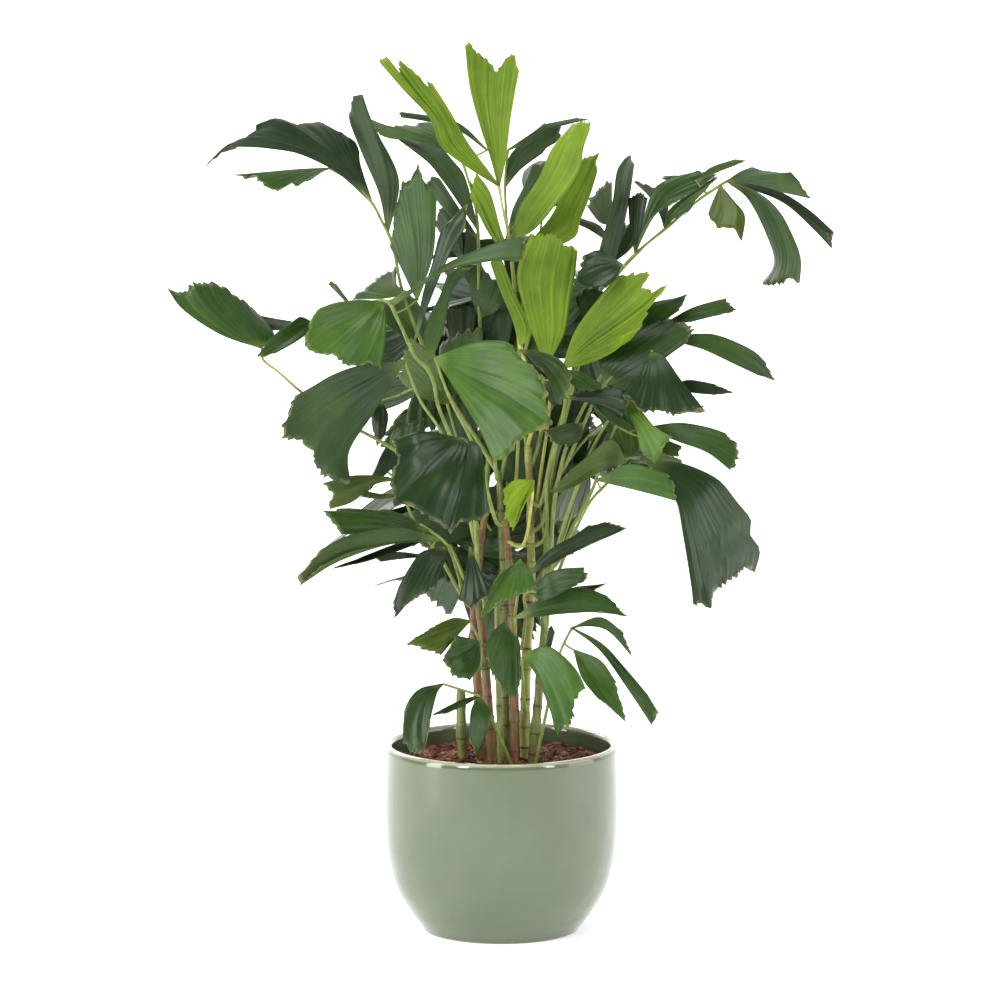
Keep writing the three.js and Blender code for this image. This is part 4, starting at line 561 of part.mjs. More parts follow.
// ---- pot ----
const innerAt = (z) => {
  let r = POT_OUTSIDE[0][0];
  for (let i = 1; i < POT_OUTSIDE.length; i += 1) {
    const [r0, z0] = POT_OUTSIDE[i - 1];
    const [r1, z1] = POT_OUTSIDE[i];
    if (z >= z0 && z <= z1) r = r0 + ((r1 - r0) * (z - z0)) / (z1 - z0);
  }
  return r - POT_WALL;
};
const WALL_STATIONS = [237, 155, 102, 79, 55, 31.8, 18];
const v2 = (r, z) => new THREE.Vector2(r, z);
const potProfile = [v2(0, 0), ...POT_OUTSIDE.map(([r, z]) => v2(r, z)), v2(141, 240.6),
  ...WALL_STATIONS.map((z) => v2(innerAt(z), z)), v2(innerAt(18) - 8, POT_FLOOR), v2(0, POT_FLOOR)];
const turned = (profile) => {
  const g = new THREE.LatheGeometry(profile, POT_SIDES);
  g.rotateX(Math.PI / 2);
  return solidOf(g);
};
addPiece('pot', geometryOf(turned(potProfile)), paint(0x8a9b7d, 0.22));

// ---- soil: fills the pot up to the bark ----
const soilStations = [205, 155, 102, 79, 55, 31.8, 18];
const soilProfile = [v2(0, POT_FLOOR + GAP), v2(innerAt(18) - 8 - GAP, POT_FLOOR + GAP),
  ...[...soilStations].reverse().map((z) => v2(innerAt(z) - GAP - 0.15, z + (z === 18 ? GAP : 0))), v2(0, SOIL_TOP)];
addPiece('potting_soil', geometryOf(turned(soilProfile)), paint(0x2e2018, 0.95));

// ---- canes ----
const canes = CANES.map((c) => {
  const curve = new THREE.CatmullRomCurve3(c.line.map(vec), false, 'centripetal');
  const steps = (c.line.length - 1) * 2;
  const radius = (grow) => (t) => c.foot + (c.top - c.foot) * t + grow + (Math.round(t * steps) % 2 === 1 ? 0.35 : 0);
  return { name: c.name, solid: rod(curve, radius(0), CANE_SIDES, steps), grown: rod(curve, radius(CUT_MARGIN + 0.35), CANE_SIDES, steps) };
});
canes.forEach((c, i) => {
  let s = c.solid;
  for (let k = 0; k < i; k += 1) {
    if (boxesMeet(s.boundingBox(), canes[k].grown.boundingBox())) s = s.subtract(canes[k].grown);
  }
  s = largest(s);
  c.solid = s;
  addPiece(c.name, geometryOf(s), paint(0x6f7a3a, 0.55));
});

// ---- bark layer, with the canes standing through it ----
const barkProfile = [v2(0, SOIL_TOP + GAP), v2(innerAt(SOIL_TOP) - GAP - 0.15, SOIL_TOP + GAP), v2(innerAt(212) - 0.5, 212),
  v2(138.2, MULCH_TOP - 1.5), v2(120, MULCH_TOP), v2(80, MULCH_TOP - 1), v2(40, MULCH_TOP + 0.5), v2(0, MULCH_TOP)];
let bark = turned(barkProfile);
canes.forEach((c) => { bark = bark.subtract(c.grown); });

// ---- fronds ----
const made = [];
for (const f of FRONDS) {
  const build = (grow) => {
    const curve = new THREE.CatmullRomCurve3(f.stalk.map(vec), false, 'centripetal');
    const radius = (t) => f.tip + (f.foot - f.tip) * t + grow;
    const steps = Math.round(f.stalk.length * 1.3);
    let s = rod(curve, radius, STALK_SIDES, steps);
    const rings = curve.getSpacedPoints(steps);
    const near = rings.flatMap((q, i) => (i ? [0.25, 0.5, 0.75, 1].map((t) => rings[i - 1].clone().lerp(q, t)) : [q]));
    for (const spec of f.blades) {
      const base = vec(spec[0]);
      const joint = near.reduce((best, q) => (q.distanceTo(base) < best.distanceTo(base) ? q : best));
      const reach = joint.distanceTo(base);
      if (reach < SNAP) {
        s = s.add(blade([joint.toArray(), ...spec.slice(1)], LEAF_THICKNESS + 2 * grow));
      } else {
        s = s.add(blade(spec, LEAF_THICKNESS + 2 * grow));
        const out = base.clone().sub(joint).normalize();
        const line = new THREE.LineCurve3(joint, base.clone().addScaledVector(out, 2.5));
        s = s.add(rod(line, () => f.tip * 0.85 + grow, 4, 1));
      }
    }
    return s;
  };
  let s = build(0);
  const whole = s.volume();
  const box = s.boundingBox();
  for (const c of canes) if (boxesMeet(box, c.grown.boundingBox())) s = s.subtract(c.grown);
  for (const m of made) {
    if (!boxesMeet(box, m.box)) continue;
    s = s.subtract(m.grown);
    if (s.intersect(m.solid).volume() > 1e-4) {
      for (const lift of [0, GAP, -GAP]) s = s.subtract(m.solid.translate([0, 0, lift]));
    }
  }
  s = largest(s);
  f.kept = s.volume() / whole;
  const grown = build(CUT_MARGIN);
  made.push({ name: f.name, solid: s, grown, box: grown.boundingBox() });
  if (box.min[2] < MULCH_TOP + 2) bark = bark.subtract(grown);
  addPiece(f.name, geometryOf(s), TONES[f.tone]);
}
addPiece('bark_mulch', geometryOf(largest(bark)), paint(0x7a4a33, 0.9));

export default plant;
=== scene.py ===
import bpy, math
import numpy as np
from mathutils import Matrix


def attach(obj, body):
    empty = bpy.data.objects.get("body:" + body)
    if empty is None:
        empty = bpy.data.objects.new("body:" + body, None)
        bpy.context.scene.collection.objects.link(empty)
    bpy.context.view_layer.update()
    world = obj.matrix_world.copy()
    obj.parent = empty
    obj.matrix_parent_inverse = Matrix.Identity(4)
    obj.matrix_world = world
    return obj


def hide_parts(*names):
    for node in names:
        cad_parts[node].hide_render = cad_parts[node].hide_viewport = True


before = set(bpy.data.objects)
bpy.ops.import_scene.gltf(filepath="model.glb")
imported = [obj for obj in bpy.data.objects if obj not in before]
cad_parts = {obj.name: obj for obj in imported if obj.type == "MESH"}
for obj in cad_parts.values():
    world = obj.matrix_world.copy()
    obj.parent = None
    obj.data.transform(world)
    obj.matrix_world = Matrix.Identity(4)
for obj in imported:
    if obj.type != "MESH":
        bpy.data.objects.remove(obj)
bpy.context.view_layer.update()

MM = 0.001
rng = np.random.default_rng(20)

# Canes: node, foot radius, top radius, kind, centre line in millimetres.
CANES = [
    ('cane_1', 6.6, 6.0, 'green', [(-49.4,8,206.4),(-51.6,8,276.8),(-51.6,8,309.4)]),
    ('cane_2', 6.6, 4.2, 'brown', [(-22.6,14,206.4),(-29.8,14,308.3),(-34.9,14,399.5),(-28.4,12,477.8),(-18.2,8,556.1)]),
    ('cane_3', 6.6, 4.2, 'brown', [(-10.4,-22,206.4),(-22,-22,366.9),(-28.3,-22,431.6),(-30.9,-24,483.6),(-29.6,-26,522.7)]),
    ('cane_4', 4.0, 3.0, 'green', [(-0.5,-40,206.4),(-4.1,-40,344.1),(-5.4,-38,408.5),(-4.1,-34,446.6)]),
    ('cane_5', 6.2, 4.0, 'green', [(6.6,20,206.4),(3.6,20,424.5),(1,18,502.8),(-2.8,14,587.5)]),
    ('cane_6', 6.4, 4.2, 'brown', [(18.4,-18,206.4),(13.8,-18,430.9),(9.9,-20,483),(4.8,-20,534.6)]),
    ('cane_7', 6.8, 4.2, 'yellow', [(28.4,8,206.4),(33.1,8,361.5),(36.9,8,426.6),(38.1,8,504.4),(34.2,6,627.4)]),
    ('cane_8', 6.4, 4.2, 'green', [(38.7,-22,206.4),(49.6,-22,327.9),(55.9,-22,405.7),(60.9,-20,483)]),
]

# Fronds: node, tip radius, foot radius, stalk line from the rachis tip down, leaflets.
# A leaflet is (tone, base, one side edge, ragged margin, other side edge).
# The darkest leaf tone is partly the leaves' own deep green and partly painted shade: it also goes on leaflets, and
# filler leaflets, that sit in shadow inside the clump.
FRONDS = [
    ('frond_01', 1.50, 2.99, [(-2.8,0,959.6),(2.3,0,929.1),(11.1,2,890.7),(13.7,3,862.5),(17.5,0,814.3),(23.9,0,756.7),(44.2,-34.2,685.4),(34.2,6,627.4)], [
        ('lime', (-2.8,0,959.6), [(-45.8,-13.8,987.6),(-77.3,-22.2,1013.8),(-88.5,-27,1045.8),(-121.1,-30.6,1081.5),(-153.8,-30,1119.2)], [(-145,-28.4,1126.6),(-127.5,-24.4,1104.9),(-130,-21.6,1122.3),(-112.4,-17.9,1108.1),(-98.7,-13.9,1090.1),(-92.4,-12.6,1086.2),(-93.6,-10.9,1094.9)], [(-26.8,-10.4,993.6),(-44.5,-14.8,1019.4),(-64.6,-15.4,1056.1),(-87.4,-9.6,1092.3)]),
        ('lime', (-2.8,0,959.6), [(-14.2,0.4,999),(-26.9,3.8,1036.7),(-39.5,11.8,1082.9),(-45.9,25.8,1136.3)], [(-42.1,25.9,1141.3),(-31.9,25.1,1130),(-24.3,23.7,1122.5),(-19.3,22.8,1123.8),(-14.2,20.4,1113.9),(-5.3,16.5,1104.1),(2.2,12.3,1113.3),(8.6,7.6,1122.5),(17.4,2.7,1127.9),(19.9,-7.5,1111.1)], [(4.8,-7.8,993.4),(11.1,-13.3,1044.6),(16.1,-13.1,1076.2),(21.2,-10,1107.5)]),
        ('lime', (11.4,2.1,889), [(25,-10.4,935.3),(47.7,-15.1,971.3),(61.6,-15.3,1004.3),(71.7,-14,1019.3),(90.6,-10,1041.8)], [(109.1,-43.7,1044.8)], [(41.5,-14.8,906.5),(76.7,-34,950.4),(99.2,-43.5,984.2),(104.1,-47.8,1012.4),(112.8,-50,1036.5)]),
        ('lime', (13.7,2.4,862.1), [(59.4,14.6,913.5),(74.7,21.6,939.6),(105.3,40,991.3)], [(124.2,28.4,998.8),(120.4,25.6,990.2)], [(55.6,5.6,877.5),(93.7,9.4,893.7),(100,12.3,913.8),(111.5,17.6,942.5),(121.7,25,974.9)]),
        ('lime', (13.7,2.4,862.1), [(-14.2,-28.9,900.4),(-29.3,-42.6,929.7),(-39.3,-50,950.7)], [(-39.3,-58.3,971.8),(-36.7,-60.7,960.7)], [(-1.6,-28.9,909.3),(-14.1,-49.5,957),(-31.7,-60,983.3)]),
        ('lime', (24.8,-2.4,755.5), [(13.7,-8.8,792.3),(-1.6,-15.8,828.9),(-14.2,-20,865.1)], [(-9.1,-30.2,876.4)], [(40.4,-8.2,776.9),(21.3,-19.7,816.6),(2.2,-30,866.2)]),
    ]),
    ('frond_02', 1.50, 2.59, [(78.5,-8,728.2),(60.7,-5,738.1),(62.2,4.7,699),(60.1,7.5,660.4),(51.2,7.5,596),(43.3,12.7,543.2),(37.2,7.5,543.2)], [
        ('lime', (59.9,-3.8,734.7), [(49.3,-6.7,751.1),(36.5,-18.5,784.6),(26.3,-25.6,817.3),(20,-28.2,843.1),(22.5,-28.3,866),(36.4,-23.9,901.1)], [(50.2,-34.4,901),(69.1,-43.5,903.2),(74.1,-45.6,895.9),(82.9,-46.3,888.3),(91.8,-45.2,885.7)], [(72.1,-12.8,758.3),(80.8,-23.9,778.9),(86.9,-38.1,818.8),(93.1,-43.8,851.3),(96.8,-43.9,883)]),
        ('lime', (78.5,-8,728.2), [(93.5,-22.7,776.2),(121.2,-30.6,817.9),(143.9,-30.5,845.9),(152.7,-29.4,852.2)], [(185.2,-46.5,854.1),(187.7,-47.8,853),(176.2,-57.1,836.3),(193.7,-64.2,832.1),(211.1,-71.2,843),(189.5,-79.9,820),(174.4,-85.9,792.9)], [(112.2,-49.9,740.1),(139.5,-77.8,757.7),(145.5,-89.4,776.9)]),
    ]),
    ('frond_03', 1.50, 3.00, [(-218.4,14,981.1),(-189.4,18,962.9),(-164.2,20,935.9),(-154,20,916.8),(-138.9,20,884.8),(-126.6,32.6,824.1),(-103.8,42.2,759.3),(-72,42.2,694.9),(-31.1,29.6,631.6),(-2.8,14,587.5)], [
        ('dark', (-164.2,20,936), [(-198.2,13.7,968.4),(-218.4,11.7,982.6),(-255,10.1,999.3),(-280.3,10.2,1004.4),(-318.4,11.9,1008),(-354,15.2,1005.2),(-379.8,20,980.5)], [(-369.6,20.7,990.7),(-336.6,24,1006.9),(-325.2,25.7,1014.4),(-315.1,27.8,1024.3),(-303.7,30.6,1035.6),(-277.3,36.1,1028.7),(-258.4,40.8,1033.3),(-243.2,44.9,1035.5),(-218.1,53.4,1022)], [(-179.5,31.5,983.2),(-182.2,41.3,1001.4),(-190,50.2,1012.1),(-203,60,1008.6)]),
        ('mid', (-218.4,14,981.1), [(-254.8,2.4,981),(-298.8,-6.7,978.1),(-336.7,-10,974.6)], [(-323.9,-13.5,968.6),(-315,-15.7,973.9),(-301,-18.5,964),(-285.8,-20.3,955.3),(-265.5,-21.2,966.8),(-256.7,-21.1,960.5)], [(-222,6.1,979.4),(-225.7,-0.1,978.7),(-241.6,-20,968)]),
        ('dark', (-144.5,20.2,896.2), [(-154.1,26.8,945.4),(-173.3,41.6,988.6),(-190.2,61.9,1027.6),(-194.2,70,1040.9)], [(-191.5,64.5,1056.7),(-188.8,61.4,1068.5),(-178.5,59.5,1071.2)], [(-129.9,27.2,958.2),(-144,41.9,998.8),(-164.7,60,1027.8)]),
    ]),
    ('frond_04', 1.50, 3.00, [(8.7,84,997.4),(4.9,88,953.3),(8.7,80,888.6),(20.1,72.3,805.9),(21.9,63.3,729.7),(14.9,42.3,654.9),(-2.2,14.6,574.8)], [
        ('dark', (4.9,87.8,949.5), [(6.1,90.9,973.6),(13.8,93.5,992.6),(34.3,99.9,1011.3),(56.2,110,1029.6)], [(75.3,97.9,1029.5),(75.2,89.3,1012.3)], [(24,80.4,972.1),(49.6,80,991.4)]),
        ('dark', (8.7,84,997.4), [(34.3,85.7,1015.2),(56,89.6,1028.9),(94.5,100,1037)], [(113.7,96,1036)], [(36.8,84.4,1008.9),(58.6,87.4,1022.7),(94.5,96,1032.2)]),
        ('blue', (9,80.4,889.7), [(15.1,71.2,921.6),(30.4,68,954.1),(40.6,70,979.5)], [(55.8,53.4,984.9)], [(24,64.7,919.8),(43.1,53.4,955.5),(59.6,50,977.6)]),
    ]),
    ('frond_05', 1.50, 3.00, [(-50,60,986.9),(-34.7,56,936),(-29.6,52,895.4),(-28.4,50,808.3),(-24.3,76.5,731),(-16.6,66.5,641.9),(-18.9,8.3,550.3)], [
        ('mid', (-50,60,986.9), [(-90.5,33.1,1009.9),(-115.8,29.3,1015.3),(-141.3,33.7,1017.4),(-155.4,40,1022)], [(-164.1,33.8,1041.6),(-143.9,38.2,1032.3),(-135.1,43.2,1033.1),(-110,67.9,1025.8)], [(-65.2,48.9,1010.9),(-86.9,59,1033),(-107.6,78.7,1032.5)]),
        ('blue', (-30.8,52.6,899.6), [(-65.2,43.1,950.2),(-76.7,43.7,965.4),(-90.7,46,983.1),(-109.8,50.5,998),(-132.8,58.4,1015.1)], [(-145.6,62.7,1023.7)], [(-46.2,55.5,964.3),(-62.8,62.1,986.7),(-78.1,68.7,1001.4),(-123.1,88.4,1016.2)]),
        ('blue', (-29.3,51.5,886.9), [(-65.5,68.4,915.5),(-93.8,90,948)], [(-96.3,87.5,953.4),(-88.6,86.3,963.8)], [(-52.7,67.6,922),(-78.4,90,959.6)]),
        ('dark', (-18.1,66,999.1), [(-52.6,70.7,1023),(-91,78.8,1033.7),(-129.5,90,1039.1)], [(-130.7,88.2,1044.4)], [(-52.6,71.4,1031.9),(-91,79.5,1041.4),(-128.2,90,1045.6)]),
        ('blue', (-27.5,56.9,785.2), [(-39.9,50.3,821.1),(-33.5,60,856)], [(-16.9,47.6,844.6)], [(-4.1,39.8,796.7),(4.8,40,819.8)]),
        ('dark', (-28.2,52.7,810.3), [(-50.2,67.9,844.8),(-52.8,80,869.2)], [(-50.2,71.1,893.4),(-39.9,69,901.3)], [(-24.6,60,845.7),(-29.7,70,883.2)]),
        ('dark', (-50.2,66,855.4), [(-72,83.5,881.7),(-85,102.7,899)], [(-81,86.1,922.7)], [(-50.2,68.6,889.8),(-65.6,82.7,926.9)]),
    ]),
    ('frond_06', 1.50, 2.30, [(-8,72,702.3),(-6.9,65.8,639.1),(-1.8,40.8,577.9),(-1.9,14.9,568.5)], [
        ('dark', (-46.5,70,702.5), [(-63.2,74.9,747.2),(-73.5,90,793.2)], [(-52.8,75.4,801.4)], [(-37.4,65,748.4),(-29.7,70,803.4)]),
        ('dark', (-8,72,702.3), [(-20.8,72.8,747.5),(-27.2,80,785.4)], [(-4.1,64.4,796.3)], [(8.7,62.7,748.7),(17.7,60,796.8)]),
        ('dark', (24.1,70,712.9), [(8.7,78.4,746.8),(11.3,95.9,774.4)], [(26.7,84.5,780.9)], [(34.4,75.5,747.1),(39.6,90,771.2)]),
    ]),
    ('frond_07', 1.50, 3.00, [(-244,-50,788.5),(-191.1,-42,809.1),(-145.6,-42,818),(-131.8,-40,796.1),(-117.9,-40,765.6),(-107.8,-40,745.2),(-94,-38,732.2),(-85.2,-36,712.7),(-80.2,-34,684.3),(-62.5,-34,639.5),(-44.7,-36,588.5),(-29.6,-26,522.7)], [
        ('mid', (-106.8,-10,815.5), [(-128.5,0.2,859),(-141.4,20,881)], [(-137.4,10.2,902.5),(-130.7,-5.3,942.4),(-126.7,-12.2,963.4),(-111.5,-17.8,976.6),(-106.3,-21.5,990.9),(-97.5,-26.3,968.6)], [(-96.5,-20.5,842.2),(-85,-30,881.5),(-81.1,-30,948.7)]),
        ('gloss', (-109.4,-14,764.9), [(-97.6,-34.8,831.2),(-87.4,-42.1,863.8),(-74.6,-48.4,908.8),(-51.9,-50,928)], [(-41.8,-57.5,946.5)], [(-90,-37.2,818.7),(-67.1,-53.6,873.9),(-45.6,-60,912.6)]),
        ('mid', (-90.6,0,734.9), [(-98.1,-8.2,764.1),(-92.9,-12.5,790.2),(-77.6,-13.5,822.3),(-67.5,-10,851.2)], [(-52.2,-9.9,858.8)], [(-73.9,-7,776.8),(-62.4,-6.7,827.8),(-35.8,0,857.7)]),
        ('mid', (-143,-41.9,817), [(-108.7,-53.6,837.2),(-77.1,-64.4,862.5),(-51.8,-70.5,875.8),(-20.4,-76.3,889.1),(11,-80,894.6)], [(33.5,-92.5,906),(31,-98.3,886.5)], [(-130.3,-46.8,817.3),(-89.7,-66.5,847.5),(-58.1,-78.4,864.1),(-7.8,-92.8,874.6),(24.8,-100,875.4)]),
        ('bright', (-149.6,-41.8,816.6), [(-177.6,-76.5,823.4),(-208.5,-99.2,822.3),(-228.3,-107.8,817)], [(-239.5,-112.3,805),(-245.7,-117.2,780.3),(-247,-118.3,771.7),(-233.2,-119.6,760.5),(-208.2,-119.5,759.2),(-199.5,-118.3,746.4),(-179.5,-115.5,744.8),(-168.3,-113,749.5)], [(-144.9,-81.5,786),(-150.9,-107.9,740)]),
        ('mid', (-188.4,-42.2,809.8), [(-203.9,-31.3,823.1),(-219.4,-20,837.1)], [(-215.5,-22,841.1)], [(-196.3,-32.4,820.7),(-209.2,-20,837.1)]),
        ('grey', (-118.1,-20,825.6), [(-132.4,1.7,833.2),(-132.9,40,850.6)], [(-160.9,30.9,840.1),(-173.6,28.8,823.7)], [(-147.5,-4,817.3),(-190.2,30,812)]),
        ('dark', (-244,-50,788.5), [(-280.2,-26.8,779.2),(-312.2,-18.8,780.8),(-333.5,-22.9,794.1)], [(-332.5,-15.3,798.2)], [(-269.9,-31.1,791.2),(-303.2,-19,796.1),(-327.1,-23.1,803)]),
        ('mid', (-237.9,-49,791), [(-253.4,-70.4,801.1),(-265.7,-78.6,793.3),(-278.1,-84.6,786.4),(-293.1,-90,774.4)], [(-306.7,-100,755.4),(-300.3,-101,753)], [(-247.1,-72.8,778.6),(-265.5,-89.3,768),(-284,-100,759.2)]),
    ]),
    ('frond_08', 1.50, 3.00, [(-301.9,-60,760.5),(-299.3,-90.2,749),(-280.1,-112.4,737.3),(-252.2,-117.8,713.3),(-208.6,-97.8,677.4),(-142.1,-74.4,637.5),(-72.7,-40.2,584.6),(-18.2,8,556.1)], [
        ('mid', (-301.9,-60,760.5), [(-354.4,-67.6,779.2),(-402.1,-65.8,810.7),(-422.4,-60.1,837.9)], [(-411.1,-59.9,832.8),(-396,-58.9,832.7),(-389.7,-57.2,845.2),(-367.2,-53,843.4),(-344.9,-46.4,832.5),(-321.4,-36.2,816.1)], [(-286.8,-55.9,775.2),(-302.5,-36.5,798.3),(-307.9,-28.4,803.6)]),
    ]),
    ('frond_09', 1.50, 2.73, [(-121.5,-60,742.7),(-102.7,-58,694),(-76.6,-65,655.3),(-50,-64.2,590.6),(-33.7,-52,512.3),(-29.8,-25.7,517.4)], [
        ('gloss', (-121.5,-60,742.7), [(-177.3,-104.6,743.4),(-210.7,-122.9,734.4),(-239.3,-133.1,719.3),(-258,-136.3,709.7)], [(-264.2,-138.4,699.8),(-266.7,-140.6,683.7),(-274.2,-141.5,675),(-275.6,-142,656.1),(-255.6,-141.2,654.8),(-235.7,-138.5,641.7),(-234.6,-135.7,626.1),(-222.3,-129.7,605),(-204.9,-123.9,601.6)], [(-137.6,-78.5,719.6),(-162.5,-100.7,680.7),(-187.5,-112.7,644.4),(-192.5,-115.6,623.2),(-187.6,-116.3,591.5)]),
        ('dark', (-153.2,-58,694), [(-163.3,-62.8,679.3),(-162.1,-60,656)], [(-157,-68.4,634.2)], [(-143,-67.5,676.2),(-146.8,-70,651)]),
    ]),
    ('frond_10', 1.50, 2.67, [(-138.7,-30,636.4),(-132.3,-40,589.1),(-119.6,-42,557.3),(-109.3,-35.1,534.2),(-76.5,-30.3,486.2),(-45.9,-28.1,433.8),(-28.8,-22.1,438.2)], [
        ('olive', (-131.8,-39.7,589.6), [(-158.5,-62.1,597.5),(-190.8,-84.7,600.9),(-224.5,-100,594.2)], [(-211.7,-109.7,581.7),(-218,-111,567.9)], [(-159.7,-66.1,587.9),(-188.2,-94.7,569.2),(-215.5,-110,562.6)]),
        ('olive', (-125.1,-41.4,570.2), [(-153.7,-52,572.9),(-176.3,-60,579.3)], [(-177.5,-65.4,575)], [(-153.6,-55,567),(-176.2,-66,571.2)]),
        ('dark', (-138.7,-30,636.4), [(-150,-38.9,624.8),(-162.7,-40,595.5)], [(-181.5,-53.8,565.5)], [(-130.8,-50.7,616.3),(-147.1,-60,598.5)]),
    ]),
    ('frond_11', 1.50, 2.55, [(-49.2,-120,654.3),(-41.8,-101.3,610.8),(-33.9,-71.9,542.4),(-29.4,-46.3,474.2),(-30.9,-24.1,485.7)], [
        ('gloss', (-49.2,-120,654.3), [(-101.1,-184.7,672.3),(-135.7,-200,663.1)], [(-129.4,-205.8,636.4),(-138.1,-209.4,611.8),(-134.4,-210.5,599.4),(-134.4,-211.3,581.9),(-119.5,-211.3,583.2),(-98.5,-210.2,571.7),(-76.1,-207.4,558.7),(-63.7,-204.7,546.9),(-51.3,-200.8,560.2),(-28.9,-194.9,560.5)], [(-26.6,-148.5,647),(-20.2,-179.4,609.8),(-15.3,-190,567.3)]),
    ]),
    ('frond_12', 1.50, 2.74, [(-83.1,-110,754.2),(-63.5,-104.6,699.7),(-31.8,-86.4,633.3),(-7,-54.6,539.3),(5.4,-20,529.2)], [
        ('bright', (-83.1,-110,754.2), [(-47.6,-161.9,775.9),(-26.4,-182.1,784.7),(2.2,-197.2,786.6),(14.6,-200,780.8)], [(23.2,-208.1,766.8),(44.2,-218.6,752),(51.6,-224.2,736.5),(59,-228,724.5),(54.1,-230.4,714.9),(62.7,-234.8,686.8),(47.9,-235.9,680.7),(29.3,-236,672),(13.3,-234.2,653),(0.9,-231.9,642.7)], [(-64,-149.8,731.6),(-38.8,-194,696.1),(-26.3,-210.4,677.1),(-7.7,-230,637.4)]),
    ]),
    ('frond_13', 1.50, 3.00, [(285.9,0,966),(251.9,2,942.9),(214,0,910),(176,0,878.1),(143.2,0,839.8),(113.2,-5,775.9),(88.1,-8,699),(65.3,-8,621.8),(49.9,-5,550.9),(36.7,7.2,557.2)], [
        ('mid', (170.3,0.1,871.8), [(175.6,-16.4,899),(188,-26,921.7),(203,-28.8,934.6)], [(239,-5.4,947.4),(274.9,11.3,975)], [(191.1,3.1,951.7),(216.5,9.2,968.9),(239.5,15.8,974.6)]),
        ('mid', (207.4,0.2,905), [(210.8,-20.9,928.7),(225.5,-33.2,945.2),(250.5,-40,961.1)], [(272.9,-45.2,976.8)], [(215.8,-23,918.8),(235.3,-46.1,932.6),(228.9,-50,926.7)]),
        ('dark', (170.3,0.1,871.8), [(163.8,24.2,907.4),(161.5,39.9,939)], [(176.4,24.7,949.5)], [(179,24.1,907.4),(186.9,41.2,941.4)]),
        ('dark', (207.4,0.2,905), [(199.3,25.9,932.8),(183.3,50,952)], [(166.6,46.5,962.6)], [(212.1,29.2,932.4),(205,50,949.5)]),
        ('dark', (251.9,6,962.8), [(227.1,25.6,969.8),(208.6,44.5,967.9)], [(203.4,42.5,965.6)], [(229.6,23.4,963.6),(209.9,44.5,962.8)]),
        ('mid', (247.9,0,964.7), [(263.8,-15.5,984),(294.8,-30,996.8)], [(309.8,-32,995.7)], [(267.6,-15.5,976.4),(296.1,-30,989.2)]),
        ('mid', (285.9,0,966), [(303.3,23.8,975.1),(319.5,50.4,978.8)], [(332.3,49.9,973.8),(357.8,49.4,971.3),(369.2,49.5,972.5),(380.8,49.9,959.7),(395.1,51.1,937.8)], [(296.8,17.7,957.8),(320,60,963.8)]),
        ('dark', (285.9,0,966), [(327,-17.3,961.4),(358.3,-26.2,952.1),(392.1,-35.1,930.2),(419.7,-41.3,905.5)], [(417.5,-38.8,883.7)], [(327.1,-17.9,953.8),(358.3,-26.8,943.3),(385.9,-34.2,923.8),(413.5,-40,902.9)]),
        ('olive', (277.7,0.5,960.4), [(264.3,-45.7,940.2),(260.1,-60,930.3)], [(271.1,-71.1,915.1),(290.9,-77.8,913.3),(299.7,-79.8,903.4)], [(292.7,-25.8,944.5),(306.9,-51.4,928.1),(303.5,-80,898.4)]),
        ('gloss', (285.9,0,966), [(313.1,-20.1,943.9),(339.5,-33.2,888.2),(343.6,-29.6,862.3),(329,-20.2,838.4)], [(338.7,-58.4,839),(354.8,-91.8,848),(362,-97.2,853.6)], [(326.2,-37.8,953.3),(350.5,-60.9,932.9),(366.3,-77.5,904.4),(376.1,-86.5,876.4),(374.9,-90,845.2)]),
        ('gloss', (152.9,-20,862.5), [(124.5,-51.4,883.8),(102.9,-60,877.2)], [(99.1,-66.4,860.2),(90.3,-70.6,843),(111.7,-72,835.5)], [(147.3,-48.1,851.8),(131.8,-70,839.1)]),
    ]),
    ('frond_14', 1.50, 3.00, [(141,30,906.8),(132.1,26,888),(122,20,811.9),(106.8,20,760.6),(85.9,3,696),(67.2,-4.8,618.6),(52.9,1,528.4),(37.9,7.9,515.1)], [
        ('dark', (122.1,20.8,816.8), [(129.4,18.3,888.9),(142,21.9,939.6),(147.1,26.7,976.1),(157.3,30,992.3)], [(163.8,38,996.6)], [(136,23.2,837.1),(151.3,32.1,887.4),(162.8,45.6,939.7),(169.4,60,983)]),
        ('grey', (141,30,906.8), [(125.9,44.3,909.1),(108.5,80,927.2)], [(126.2,69.2,950.1),(133.9,68.9,957.8)], [(141.1,40,924.9),(141.6,70,959)]),
        ('dark', (135,27,887.4), [(113.2,41,899.2),(96.8,60,904.9)], [(96.8,57.2,911.6)], [(125.8,36,904.9),(100.6,60,912.6)]),
        ('dark', (126.1,30,759.3), [(106.7,17.1,786.6),(95.2,15,812.5)], [(107.7,5.9,828.9),(122.9,3.8,829.2)], [(138.5,13.4,787.1),(130.6,5,820.1)]),
    ]),
    ('frond_15', 1.50, 3.00, [(211.8,-6,786.9),(176.2,-10,777.1),(138.5,-29.2,739),(107,-43.8,688),(81.8,-48.5,630.2),(69.1,-41.8,572),(62.5,-31.2,507.9),(60.9,-20,483)], [
        ('mid', (176.3,-10,777.2), [(182.4,-11.1,800.3),(192.5,-9.7,811.6),(227.1,0,816.8)], [(236.9,-10.2,824.4)], [(201.3,-19.7,787.3),(226.5,-20,803.9)]),
        ('mid', (211.8,-6,786.9), [(239.3,-16.5,804.8),(264.5,-20.2,814.1),(284.7,-20,819.2)], [(298.3,-31.8,805.3)], [(239.1,-27.3,789.5),(267.7,-40,798.7)]),
    ]),
    ('frond_16', 1.50, 3.00, [(206.9,-50,771.9),(175.4,-50,750.3),(127.4,-50,709.5),(105.9,-19.3,659.6),(84.6,3.5,606.9),(68.2,9.5,567.4),(63.1,-3.3,468.2),(59.5,-20.7,459.9)], [
